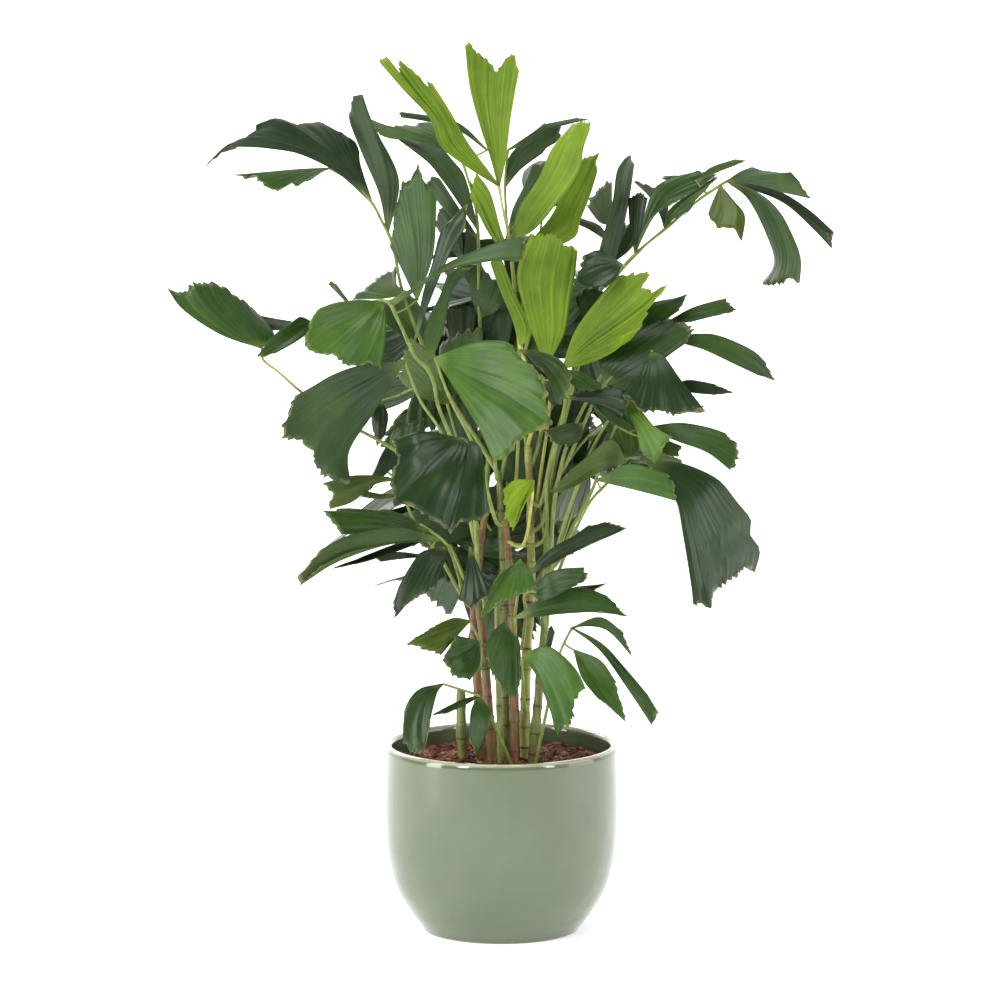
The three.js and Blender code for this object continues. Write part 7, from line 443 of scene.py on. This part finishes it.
def leaf_material(tone, under):
    base, deep, vein, rough, streak = TONES[tone]
    base, deep, vein = (tuple(c * f for c, f in zip(t, (0.90, 0.88, 0.62))) for t in (base, deep, vein))
    if under:
        base = tuple(int(c * 0.62 + p * 0.38) for c, p in zip(base, (88, 108, 66)))
        deep = tuple(int(c * 0.68 + p * 0.32) for c, p in zip(deep, (66, 88, 50)))
        vein = tuple(int(c * 0.7 + p * 0.3) for c, p in zip(vein, (118, 136, 90)))
        rough += 0.14
    m = Mat(("under_" if under else "leaf_") + tone)
    patch = m.noise(m.mapped((1, 1, 1)), 16.0, 5.0, 0.6)
    col = m.ramp(patch, [(0.34, lin(deep)), (0.66, lin(base))])
    fine = m.noise(m.mapped((110, 2.2, 1), "UV"), 1.0, 2.0, 0.6)
    wide = m.noise(m.mapped((22, 0.8, 1), "UV"), 1.0, 2.0, 0.5)
    lines = m.ramp(fine, [(0.50, W0), (0.72, W1)])
    ribs = m.ramp(wide, [(0.55, W0), (0.66, W1)])
    col = m.mix(m.math("MULTIPLY", lines, streak * 0.55), col, lin(vein))
    col = m.mix(m.math("MULTIPLY", ribs, streak * 0.55), col, lin(vein))
    grooves = m.ramp(wide, [(0.30, W1), (0.44, W0)])
    col = m.mix(m.math("MULTIPLY", grooves, streak * 0.7), col, lin(tuple(int(c * 0.8) for c in deep)))
    sep = m.t.nodes.new("ShaderNodeSeparateXYZ")
    m.link(m.coord.outputs["UV"], sep.inputs[0])
    rim = m.math("MULTIPLY", m.math("SUBTRACT", sep.outputs[1], 0.965), 26.0, clamp=True)
    spots = m.ramp(m.noise(m.mapped((1, 1, 1)), 90.0, 3.0, 0.6), [(0.46, W0), (0.60, W1)])
    col = m.mix(m.math("MULTIPLY", m.math("MULTIPLY", rim, spots), 0.6), col, lin((150, 138, 74)))
    foot = m.math("SUBTRACT", 1.0, m.math("MULTIPLY", sep.outputs[1], 5.0, clamp=True))
    col = m.mix(m.math("MULTIPLY", foot, 0.55), col, lin((120, 140, 60)))
    m.link(col, m.p.inputs["Base Color"])
    m.rough(rough - 0.07, rough + 0.10, patch)
    height = m.math("ADD", m.math("MULTIPLY", fine, 0.45), wide)
    m.bump(height, 0.30 if tone != "lime" else 0.38, 0.0012)
    m.p.inputs["Specular IOR Level"].default_value = 0.18 if tone == "lime" else 0.32
    return m.m


def stalk_material(name, a, b, c):
    m = Mat(name)
    v = m.mapped((1, 1, 0.16))
    long_streaks = m.noise(v, 240.0, 4.0, 0.6)
    blotch = m.noise(m.mapped((1, 1, 0.6)), 46.0, 4.0, 0.6)
    col = m.ramp(long_streaks, [(0.36, lin(a)), (0.64, lin(b))])
    col = m.mix(m.ramp(blotch, [(0.52, W0), (0.70, W1)]), col, lin(c))
    m.link(col, m.p.inputs["Base Color"])
    m.rough(0.36, 0.62, blotch)
    m.bump(long_streaks, 0.35, 0.0008)
    return m.m


LEAF = {t: leaf_material(t, False) for t in TONES}
UNDER = {t: leaf_material(t, True) for t in TONES}
STALK = stalk_material("stalk_green", (96, 118, 42), (128, 142, 66), (110, 104, 50))
STALK_YOUNG = stalk_material("stalk_young", (150, 150, 62), (176, 178, 92), (150, 118, 60))
CANE = {
    "green": stalk_material("cane_green", (84, 98, 40), (122, 132, 66), (104, 74, 44)),
    "brown": stalk_material("cane_brown", (96, 62, 36), (132, 96, 58), (92, 98, 44)),
    "yellow": stalk_material("cane_yellow", (120, 126, 52), (156, 158, 84), (126, 86, 48)),
}
RING = stalk_material("cane_ring", (70, 44, 26), (112, 78, 50), (52, 34, 22))
SHEATH = stalk_material("cane_sheath", (88, 68, 40), (126, 108, 66), (78, 88, 40))


# ---------------------------------------------------------------- geometry helpers
def catmull(P, u):
    P = np.array(P, float)
    if len(P) == 2:
        return P[0] + (P[1] - P[0]) * np.asarray(u)[:, None]
    k = np.r_[0, np.cumsum(np.maximum(np.linalg.norm(np.diff(P, axis=0), axis=1), 1e-6) ** 0.5)]
    m = np.zeros_like(P)
    m[1:-1] = (P[2:] - P[:-2]) / (k[2:] - k[:-2])[:, None]
    m[0] = (P[1] - P[0]) / (k[1] - k[0])
    m[-1] = (P[-1] - P[-2]) / (k[-1] - k[-2])
    out = []
    for i in range(len(P) - 1):
        h = k[i + 1] - k[i]
        t = np.linspace(0, 1, 13)[:-1][:, None]
        out.append((2 * t**3 - 3 * t**2 + 1) * P[i] + (t**3 - 2 * t**2 + t) * h * m[i]
                   + (-2 * t**3 + 3 * t**2) * P[i + 1] + (t**3 - t**2) * h * m[i + 1])
    out.append(P[-1:])
    D = np.vstack(out)
    s = np.r_[0, np.cumsum(np.linalg.norm(np.diff(D, axis=0), axis=1))]
    s /= s[-1]
    return np.stack([np.interp(u, s, D[:, j]) for j in range(3)], 1)


def polyline(P, u):
    P = np.array(P, float)
    s = np.r_[0, np.cumsum(np.linalg.norm(np.diff(P, axis=0), axis=1))]
    s /= s[-1]
    return np.stack([np.interp(u, s, P[:, j]) for j in range(3)], 1), s


class Build:
    """Collects vertices, faces, materials and leaf coordinates of one piece."""

    def __init__(self):
        self.v, self.f, self.m, self.uv = [], [], [], []
        self.mats = []

    def mat(self, m):
        if m not in self.mats:
            self.mats.append(m)
        return self.mats.index(m)

    def add(self, verts, faces, mat, uvs=None):
        base = sum(len(a) for a in self.v)
        self.v.append(np.asarray(verts, float))
        k = self.mat(mat)
        for face in faces:
            self.f.append(tuple(int(i) + base for i in face))
            self.m.append(k)
        self.uv.append(np.zeros((len(verts), 2)) if uvs is None else np.asarray(uvs, float))

    def make(self, name, smooth=True):
        me = bpy.data.meshes.new(name)
        V = np.vstack(self.v) * MM
        me.from_pydata([tuple(p) for p in V], [], self.f)
        for m in self.mats:
            me.materials.append(m)
        me.polygons.foreach_set("material_index", self.m)
        me.polygons.foreach_set("use_smooth", [smooth] * len(self.f))
        layer = me.uv_layers.new(name="leaf")
        UV = np.vstack(self.uv)
        loops = np.zeros(len(me.loops), dtype=np.int32)
        me.loops.foreach_get("vertex_index", loops)
        layer.data.foreach_set("uv", UV[loops].astype(np.float32).ravel())
        me.update()
        ob = bpy.data.objects.new(name, me)
        bpy.context.scene.collection.objects.link(ob)
        return ob


def tube(b, P, radius, sides, steps, mat, ring=None, squash=1.0, caps=True):
    """A closed tube with radius(t); ring(i) gives another material for step i."""
    Q = catmull(P, np.linspace(0, 1, steps + 1))
    T = np.gradient(Q, axis=0)
    T /= np.linalg.norm(T, axis=1, keepdims=True)
    V = []
    a = np.cross(T[0], np.eye(3)[int(np.argmin(abs(T[0])))])
    for i in range(steps + 1):
        a = a - T[i] * float(a @ T[i])
        a /= np.linalg.norm(a)
        c = np.cross(T[i], a)
        r = radius(i / steps)
        for k in range(sides):
            t = 2 * math.pi * k / sides
            V.append(Q[i] + r * (a * math.cos(t) + c * math.sin(t) * squash))
    groups = {}
    for i in range(steps):
        m = ring(i) if ring and ring(i) else mat
        for k in range(sides):
            p, q = i * sides + k, i * sides + (k + 1) % sides
            groups.setdefault(m, []).append((p, q, q + sides, p + sides))
    if caps:
        V += [Q[0], Q[-1]]
        n = len(V)
        for k in range(sides):
            groups.setdefault(mat, []).append((n - 2, (k + 1) % sides, k))
            groups[mat].append((n - 1, steps * sides + k, steps * sides + (k + 1) % sides))
    base = sum(len(x) for x in b.v)
    b.v.append(np.array(V))
    b.uv.append(np.zeros((len(V), 2)))
    for m, faces in groups.items():
        j = b.mat(m)
        for f in faces:
            b.f.append(tuple(i + base for i in f))
            b.m.append(j)
    return Q


def leaflet(b, tone, base, left, margin, right, r):
    """A thin closed blade: ribs fan out from the base to a ragged end margin."""
    base = np.array(base, float)
    pl, pr = np.array(left[-1], float), np.array(right[-1], float)
    length = 0.5 * (np.linalg.norm(pl - base) + np.linalg.norm(pr - base))
    width = max(np.linalg.norm(pl - pr), 4.0)
    M0 = [left[-1]] + list(margin) + [right[-1]]
    span = np.sum(np.linalg.norm(np.diff(np.array(M0, float), axis=0), axis=1))
    _, knots = polyline(M0, [0.0])
    n = int(np.clip(span / 3.2, 6, 40))
    u = np.union1d(np.round(np.linspace(0, 1, n + 1), 4), np.round(knots, 4))
    keep = [0]
    for i in range(1, len(u)):
        if u[i] - u[keep[-1]] > 0.25 / n or i == len(u) - 1:
            keep.append(i)
    u = u[keep]
    nu = len(u) - 1
    nv = int(np.clip(length / 6.5, 7, 26))
    v = np.linspace(0, 1, nv + 1)
    EL, ER = catmull([base] + list(left), v), catmull([base] + list(right), v)
    q = max(1, nv // 4)
    o = (EL[q] + ER[q]) / 2 - base
    o /= max(np.linalg.norm(o), 1e-9)
    side = EL[q] - ER[q]
    side = side - o * float(side @ o)
    side = side / max(np.linalg.norm(side), 1e-6) * 1.4
    w = ((1 - v) ** 2)[:, None]
    EL, ER = EL + side * w, ER - side * w
    M, _ = polyline(M0, u)
    # fine teeth on the end margin
    out = M - base
    out /= np.maximum(np.linalg.norm(out, axis=1, keepdims=True), 1e-6)
    teeth = r.uniform(-1.0, 1.0, nu + 1) * min(3.2, 0.06 * width + 0.7)
    teeth[::2] -= 1.2
    near = np.array([np.min(np.abs(k - knots)) < 0.004 for k in u])
    teeth[near] *= 0.25
    M = M + out * teeth[:, None]
    S = (1 - u)[:, None, None] * EL[None] + u[:, None, None] * ER[None]
    D = M - ((1 - u)[:, None] * pl + u[:, None] * pr)
    big = polyline(M0, u)[0] - ((1 - u)[:, None] * pl + u[:, None] * pr)
    S = S + big[:, None, :] * (v**1.4)[None, :, None] + (D - big)[:, None, :] * (v**12)[None, :, None]

    def normals(S):
        du, dv = np.gradient(S, axis=0), np.gradient(S, axis=1)
        N = np.cross(du, dv)
        return N / np.maximum(np.linalg.norm(N, axis=2, keepdims=True), 1e-9)

    # smooth normals from a coarse version, so the teeth don't show in them
    N = normals(S)
    for _ in range(3):
        N[1:-1] = (N[:-2] + 2 * N[1:-1] + N[2:]) / 4
        N[:, 1:-1] = (N[:, :-2] + 2 * N[:, 1:-1] + N[:, 2:]) / 4
    N /= np.maximum(np.linalg.norm(N, axis=2, keepdims=True), 1e-9)
    K = float(np.clip(round(width / 9.0), 3, 11))
    amp = {"lime": 0.9, "light": 0.6}.get(tone, 0.5) * min(1.0, width / 40)
    ph = r.uniform(0, 6.28, 4)
    uu, vv = np.meshgrid(u, v, indexing="ij")
    fold = np.abs(((uu * K + 0.13 * np.sin(9 * uu + ph[0])) % 1.0) * 2 - 1) * 2 - 1
    rise = amp * fold * np.sin(np.pi * np.clip(vv * 0.62 + 0.06, 0, 1))
    wave = min(2.2, width * 0.035) * vv**2 * np.sin(6.28 * (uu * 1.3) + ph[1]) * 0.7
    wave += min(1.6, width * 0.03) * vv**3 * np.sin(6.28 * uu * 3.4 + ph[2]) * 0.6
    S = S + N * (rise + wave)[:, :, None]
    th = 0.45
    top, bot = S + N * th, S - N * th
    V = np.concatenate([top.reshape(-1, 3), bot.reshape(-1, 3)])
    UV = np.concatenate([np.stack([uu.ravel(), vv.ravel()], 1)] * 2)
    # leaflets differ in where their streaks lie
    UV[:, 0] = UV[:, 0] * np.clip(width / 70, 0.35, 1.2) + r.uniform(0, 9)
    row = nv + 1
    h = (nu + 1) * row
    up, down, rim = [], [], []
    for i in range(nu):
        for j in range(nv):
            a, c = i * row + j, (i + 1) * row + j
            up.append((a, c, c + 1, a + 1))
            down.append((h + a, h + a + 1, h + c + 1, h + c))
    for i in range(nu):
        a, c = i * row, (i + 1) * row
        rim.append((h + a, h + c, c, a))
        a, c = i * row + nv, (i + 1) * row + nv
        rim.append((h + c, h + a, a, c))
    for j in range(nv):
        rim.append((h + j + 1, h + j, j, j + 1))
        a = nu * row + j
        rim.append((h + a, h + a + 1, a + 1, a))
    # the upper side of the leaf is the one that looks up, or out from the clump
    mean = N.reshape(-1, 3).mean(0)
    outward = np.array([S[..., 0].mean(), S[..., 1].mean() + 60, 0.0])
    outward /= max(np.linalg.norm(outward), 1e-6)
    upper = mean[2] * 1.0 + 0.55 * float(mean @ outward) >= 0
    A, B = (LEAF[tone], UNDER[tone]) if upper else (UNDER[tone], LEAF[tone])
    base_i = sum(len(x) for x in b.v)
    b.v.append(V)
    b.uv.append(UV)
    for faces, m in ((up, A), (down, B), (rim, LEAF[tone])):
        k = b.mat(m)
        for f in faces:
            b.f.append(tuple(i + base_i for i in f))
            b.m.append(k)


def done(ob, nodes):
    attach(ob, "root")
    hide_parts(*nodes)


# ---------------------------------------------------------------- fronds
for n, (node, tip, foot, line, blades) in enumerate(FRONDS):
    b = Build()
    r = np.random.default_rng(500 + n)
    young = sum(1 for x in blades if x[0] == "lime") > len(blades) / 2
    stalk = STALK_YOUNG if young else STALK
    P = np.array(line, float)
    steps = int(np.clip(len(P) * 5, 12, 60))
    Q = catmull(P, np.linspace(0, 1, 121))
    joints = []
    for x in blades:
        d = np.linalg.norm(Q - np.array(x[1]), axis=1)
        joints.append(int(np.argmin(d)) / 120)

    def radius(t, joints=joints, tip=tip, foot=foot):
        swell = sum(math.exp(-(((t - j) * 45) ** 2)) for j in joints)
        return (tip + (foot - tip) * t) * (1 + 0.22 * min(swell, 1.5))

    tube(b, P, radius, 10, steps, stalk)
    for x in blades:
        base = np.array(x[1], float)
        d = np.linalg.norm(Q - base, axis=1)
        k = int(np.argmin(d))
        if d[k] > 3.0:
            out = (base - Q[k]) / d[k]
            mid = (Q[k] + base) / 2 + np.array([0, 0, -0.05 * d[k]])
            tube(b, [Q[k], mid, base + out * 2.5], lambda t: tip * (0.95 - 0.2 * t), 8, 6, stalk)
        leaflet(b, x[0], x[1], x[2], x[3], x[4], r)
    ob = b.make("leaf_" + node)
    done(ob, [node])

# ---------------------------------------------------------------- canes
for n, (node, r0, r1, kind, line) in enumerate(CANES):
    b = Build()
    r = np.random.default_rng(900 + n)
    P = np.array(line, float)
    P[0] = P[1] + (P[0] - P[1]) * 1.0
    length = np.sum(np.linalg.norm(np.diff(P, axis=0), axis=1))
    steps = int(length / 3.0)
    marks, s = [], r.uniform(14, 30)
    while s < length - 10:
        marks.append(int(s / 3.0))
        s += r.uniform(26, 44)

    def radius(t, marks=marks, steps=steps):
        i = t * steps
        g = sum(math.exp(-((i - k) ** 2) / 1.3) for k in marks)
        taper = 1.0 if t < 0.97 else 0.9
        return (r0 + (r1 - r0) * t) * (1 + 0.09 * min(g, 1.0) + 0.02 * math.sin(i * 0.7)) * taper

    tube(b, P, radius, 18, steps, CANE[kind], ring=lambda i, marks=marks: RING if any(abs(i - k) < 1 for k in marks) else None)
    # papery sheath remains hug the cane above some of its rings
    for k in marks[1::2]:
        a, c = k / steps, min((k + r.integers(5, 10)) / steps, 1.0)
        u = np.linspace(a, c, 7)
        seg = catmull(P, u)
        rr = (r0 + (r1 - r0) * a)
        tube(b, seg, lambda t, rr=rr: rr * (1.10 + 0.06 * (1 - t)), 14, 6, SHEATH if kind == "brown" else CANE[kind])
    ob = b.make("stem_" + node)
    done(ob, [node])

# ---------------------------------------------------------------- pot
def glaze():
    m = Mat("pot_glaze")
    cloud = m.noise(m.mapped((1, 1, 1)), 5.5, 5.0, 0.6)
    fine = m.noise(m.mapped((1, 1, 1)), 420.0, 3.0, 0.6)
    col = m.ramp(cloud, [(0.30, lin((80, 91, 66))), (0.70, lin((90, 102, 75)))])
    specks = m.ramp(m.noise(m.mapped((1, 1, 1)), 900.0, 2.0, 0.5), [(0.68, W0), (0.76, W1)])
    col = m.mix(m.math("MULTIPLY", specks, 0.28), col, lin((104, 112, 84)))
    sep = m.t.nodes.new("ShaderNodeSeparateXYZ")
    m.link(m.coord.outputs["Object"], sep.inputs[0])
    z = sep.outputs[2]
    rim = m.math("MULTIPLY", m.math("SUBTRACT", z, 0.2375), 420.0, clamp=True)
    wobble = m.noise(m.mapped((1, 1, 1)), 60.0, 3.0, 0.6)
    rim = m.math("MULTIPLY", rim, m.math("ADD", wobble, 0.35), clamp=True)
    col = m.mix(m.math("MULTIPLY", rim, 0.75), col, lin((186, 180, 148)))
    foot = m.math("SUBTRACT", 1.0, m.math("MULTIPLY", z, 330.0, clamp=True))
    col = m.mix(foot, col, lin((112, 88, 62)))
    m.link(col, m.p.inputs["Base Color"])
    m.rough(0.07, 0.13, cloud)
    m.bump(m.math("ADD", m.math("MULTIPLY", fine, 0.15), m.noise(m.mapped((1, 1, 1)), 24.0, 3.0, 0.5)), 0.05, 0.002)
    m.p.inputs["Coat Weight"].default_value = 0.5
    m.p.inputs["Coat Roughness"].default_value = 0.05
    return m.m


OUT = [(98.5, 0), (100.6, 0.7), (101.0, 3.2), (103.2, 5.2), (109.3, 13), (116.5, 22), (123, 31.8), (130, 43), (136, 55),
       (140.4, 67), (143.4, 79), (148, 102), (150.4, 126), (151.3, 155), (151.0, 180), (150, 208), (149.4, 228),
       (149.2, 236), (148.8, 238.8), (147.6, 240.9), (145.9, 241.9), (144.2, 242.0), (142.2, 241.5), (140.6, 240.2),
       (139.7, 238), (139.6, 232), (140.3, 208), (141.4, 155), (138, 102), (126, 55), (104, 18), (96, 12.4), (60, 12), (0, 12)]


def lathe(b, profile, sides, mat, start=0.0):
    V, F = [], []
    n = len(profile)
    rings = []
    for rr, z in profile:
        if rr < 1e-6:
            rings.append([len(V)])
            V.append((0, 0, z))
        else:
            rings.append(list(range(len(V), len(V) + sides)))
            for k in range(sides):
                t = start + 2 * math.pi * k / sides
                V.append((rr * math.cos(t), rr * math.sin(t), z))
    for a, c in zip(rings[:-1], rings[1:]):
        for k in range(sides):
            j = (k + 1) % sides
            if len(a) == 1:
                F.append((a[0], c[j], c[k]))
            elif len(c) == 1:
                F.append((a[k], a[j], c[0]))
            else:
                F.append((a[k], a[j], c[j], c[k]))
    b.add(V, F, mat)


def smooth_profile(P, per=4):
    Q = [(x, 0.0, z) for x, z in P]
    u = np.linspace(0, 1, len(P) * per + 1)
    C = catmull(Q, u)
    return [(max(float(x), 0.0), float(z)) for x, _, z in C]


b = Build()
GLAZE = glaze()
prof = smooth_profile(OUT[1:-3], 4)
lathe(b, [(0, 0.0), (98.5, 0.0)] + prof + [(96, 12.2), (0, 12.2)], 144, GLAZE)
pot = b.make("glazed_pot")
done(pot, ["pot"])

# ---------------------------------------------------------------- soil and bark
m = Mat("soil_mix")
n1 = m.noise(m.mapped((1, 1, 1)), 160.0, 6.0, 0.7)
m.link(m.ramp(n1, [(0.3, lin((26, 17, 12))), (0.7, lin((66, 46, 32)))]), m.p.inputs["Base Color"])
m.rough(0.85, 1.0, n1)
m.bump(n1, 0.8, 0.004)
SOIL = m.m
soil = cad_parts["potting_soil"]
soil.data.materials.clear()
soil.data.materials.append(SOIL)


def bark_material(i, a, c):
    m = Mat(f"bark_{i}")
    grain = m.noise(m.mapped((1, 1, 1)), 330.0, 5.0, 0.65, 0.6)
    big = m.noise(m.mapped((1, 1, 1)), 70.0, 4.0, 0.6)
    col = m.ramp(grain, [(0.32, lin(a)), (0.68, lin(c))])
    col = m.mix(m.ramp(big, [(0.5, W0), (0.75, W1)]), col, lin(tuple(int(x * 0.6) for x in a)))
    m.link(col, m.p.inputs["Base Color"])
    m.rough(0.62, 0.95, grain)
    m.bump(grain, 0.7, 0.0012)
    return m.m


BARK = [bark_material(0, (70, 34, 20), (116, 62, 40)), bark_material(1, (88, 44, 26), (146, 84, 56)),
        bark_material(2, (52, 28, 18), (92, 54, 36)), bark_material(3, (104, 60, 38), (168, 112, 80)),
        bark_material(4, (118, 90, 62), (186, 156, 120))]
b = Build()
lathe(b, [(0, 206.0), (138.5, 206.0), (139.4, 211.0), (138.4, 215.5), (90, 216.5), (0, 216.8)], 72, SOIL)
r = np.random.default_rng(77)
canes_xy = [(np.array(c[4][0]), np.array(c[4][1])) for c in CANES]
count = 0
tries = 0
while count < 1350 and tries < 20000:
    tries += 1
    rr = 136.5 * math.sqrt(r.random())
    th = r.uniform(0, 2 * math.pi)
    L = float(np.clip(r.lognormal(2.25, 0.42), 5, 24))
    if rr + L * 0.4 > 138:
        continue
    W = L * r.uniform(0.38, 0.75)
    T = r.uniform(1.2, 3.2)
    z = 216.5 + r.uniform(0, 3.8) + (2.0 if r.random() < 0.12 else 0) - 1.6 * (rr / 138) ** 6
    # an uneven slab: eight corners pushed about, split into a bent prism
    nx = 3
    pts, faces = [], []
    for i in range(nx + 1):
        x = (i / nx - 0.5) * L
        end = 0.55 + 0.45 * math.sin(math.pi * (0.18 + 0.64 * i / nx))
        for sy, sz in ((-1, -1), (1, -1), (1, 1), (-1, 1)):
            pts.append([x + r.normal() * L * 0.05, sy * W / 2 * end * r.uniform(0.75, 1.15),
                        sz * T / 2 * r.uniform(0.7, 1.2) + 0.10 * T * math.sin(i * 1.7)])
    for i in range(nx):
        for k in range(4):
            p, q = i * 4 + k, i * 4 + (k + 1) % 4
            faces.append((p, q, q + 4, p + 4))
    faces.append((3, 2, 1, 0))
    faces.append((nx * 4, nx * 4 + 1, nx * 4 + 2, nx * 4 + 3))
    a, t1, t2 = r.uniform(0, 6.28), r.normal() * 0.30, r.normal() * 0.30
    Rz = np.array([[math.cos(a), -math.sin(a), 0], [math.sin(a), math.cos(a), 0], [0, 0, 1]])
    Rx = np.array([[1, 0, 0], [0, math.cos(t1), -math.sin(t1)], [0, math.sin(t1), math.cos(t1)]])
    Ry = np.array([[math.cos(t2), 0, math.sin(t2)], [0, 1, 0], [-math.sin(t2), 0, math.cos(t2)]])
    P = np.array(pts) @ (Rz @ Rx @ Ry).T + np.array([rr * math.cos(th), rr * math.sin(th), z])
    pick = r.choice(5, p=[0.34, 0.27, 0.2, 0.14, 0.05])
    b.add(P, faces, BARK[pick])
    count += 1
bark = b.make("bark_chips", smooth=False)
done(bark, ["bark_mulch"])

# ---------------------------------------------------------------- stage, light and camera
def plane(name, pts, mat):
    me = bpy.data.meshes.new(name)
    me.from_pydata(pts, [], [tuple(range(len(pts)))])
    me.materials.append(mat)
    ob = bpy.data.objects.new(name, me)
    bpy.context.scene.collection.objects.link(ob)
    return ob


m = Mat("studio_floor")
m.p.inputs["Base Color"].default_value = (0.93, 0.93, 0.93, 1)
m.p.inputs["Roughness"].default_value = 0.9
m.p.inputs["Specular IOR Level"].default_value = 0.05
m.p.inputs["Emission Color"].default_value = (1, 1, 1, 1)
m.p.inputs["Emission Strength"].default_value = 0.40
plane("floor", [(-30, -14, 0), (30, -14, 0), (30, 45, 0), (-30, 45, 0)], m.m)

m = Mat("studio_sweep")
m.p.inputs["Base Color"].default_value = (0.95, 0.95, 0.95, 1)
m.p.inputs["Roughness"].default_value = 0.9
m.p.inputs["Emission Color"].default_value = (1, 1, 1, 1)
m.p.inputs["Emission Strength"].default_value = 0.75
plane("sweep", [(-9, 4.2, 0.002), (9, 4.2, 0.002), (9, 4.2, 4), (-9, 4.2, 4)], m.m)

world = bpy.data.worlds.new("studio")
bpy.context.scene.world = world
world.use_nodes = True
world.node_tree.nodes["Background"].inputs["Color"].default_value = (1, 1, 1, 1)
world.node_tree.nodes["Background"].inputs["Strength"].default_value = 0.50


def area(name, loc, target, sx, sy, power, spread=180):
    li = bpy.data.lights.new(name, "AREA")
    li.shape = "RECTANGLE"
    li.size, li.size_y = sx, sy
    li.energy = power
    li.spread = math.radians(spread)
    ob = bpy.data.objects.new(name, li)
    ob.location = loc
    d = np.array(target) - np.array(loc)
    from mathutils import Vector
    ob.rotation_euler = Vector(d).to_track_quat("-Z", "Y").to_euler()
    bpy.context.scene.collection.objects.link(ob)


area("key_left", (-2.3, -2.9, 2.1), (0, 0, 0.6), 0.8, 1.8, 80)
area("fill_right", (2.6, -2.3, 1.5), (0, 0, 0.6), 0.6, 1.5, 36)
area("top_soft", (0.1, 0.2, 3.2), (0, 0, 0.5), 2.2, 2.0, 56)
area("strip_left", (-1.95, -0.80, 0.80), (0, 0, 0.80), 0.62, 1.5, 26)
area("strip_right", (2.05, -0.22, 0.80), (0, 0, 0.80), 1.2, 1.5, 14)
area("back_left", (-1.6, 2.6, 2.2), (0, 0, 0.8), 1.2, 1.2, 38)

cam = bpy.data.cameras.new("camera")
cam.sensor_width = 36
cam.lens = 222.7
cam.clip_end = 200
camo = bpy.data.objects.new("camera", cam)
camo.location = (-0.00155, -7.807, 1.745)
camo.rotation_euler = (math.radians(90 - 8.65), 0, 0)
bpy.context.scene.collection.objects.link(camo)
bpy.context.scene.camera = camo
bpy.context.scene.view_settings.view_transform = "Standard"
bpy.context.scene.view_settings.look = "None"
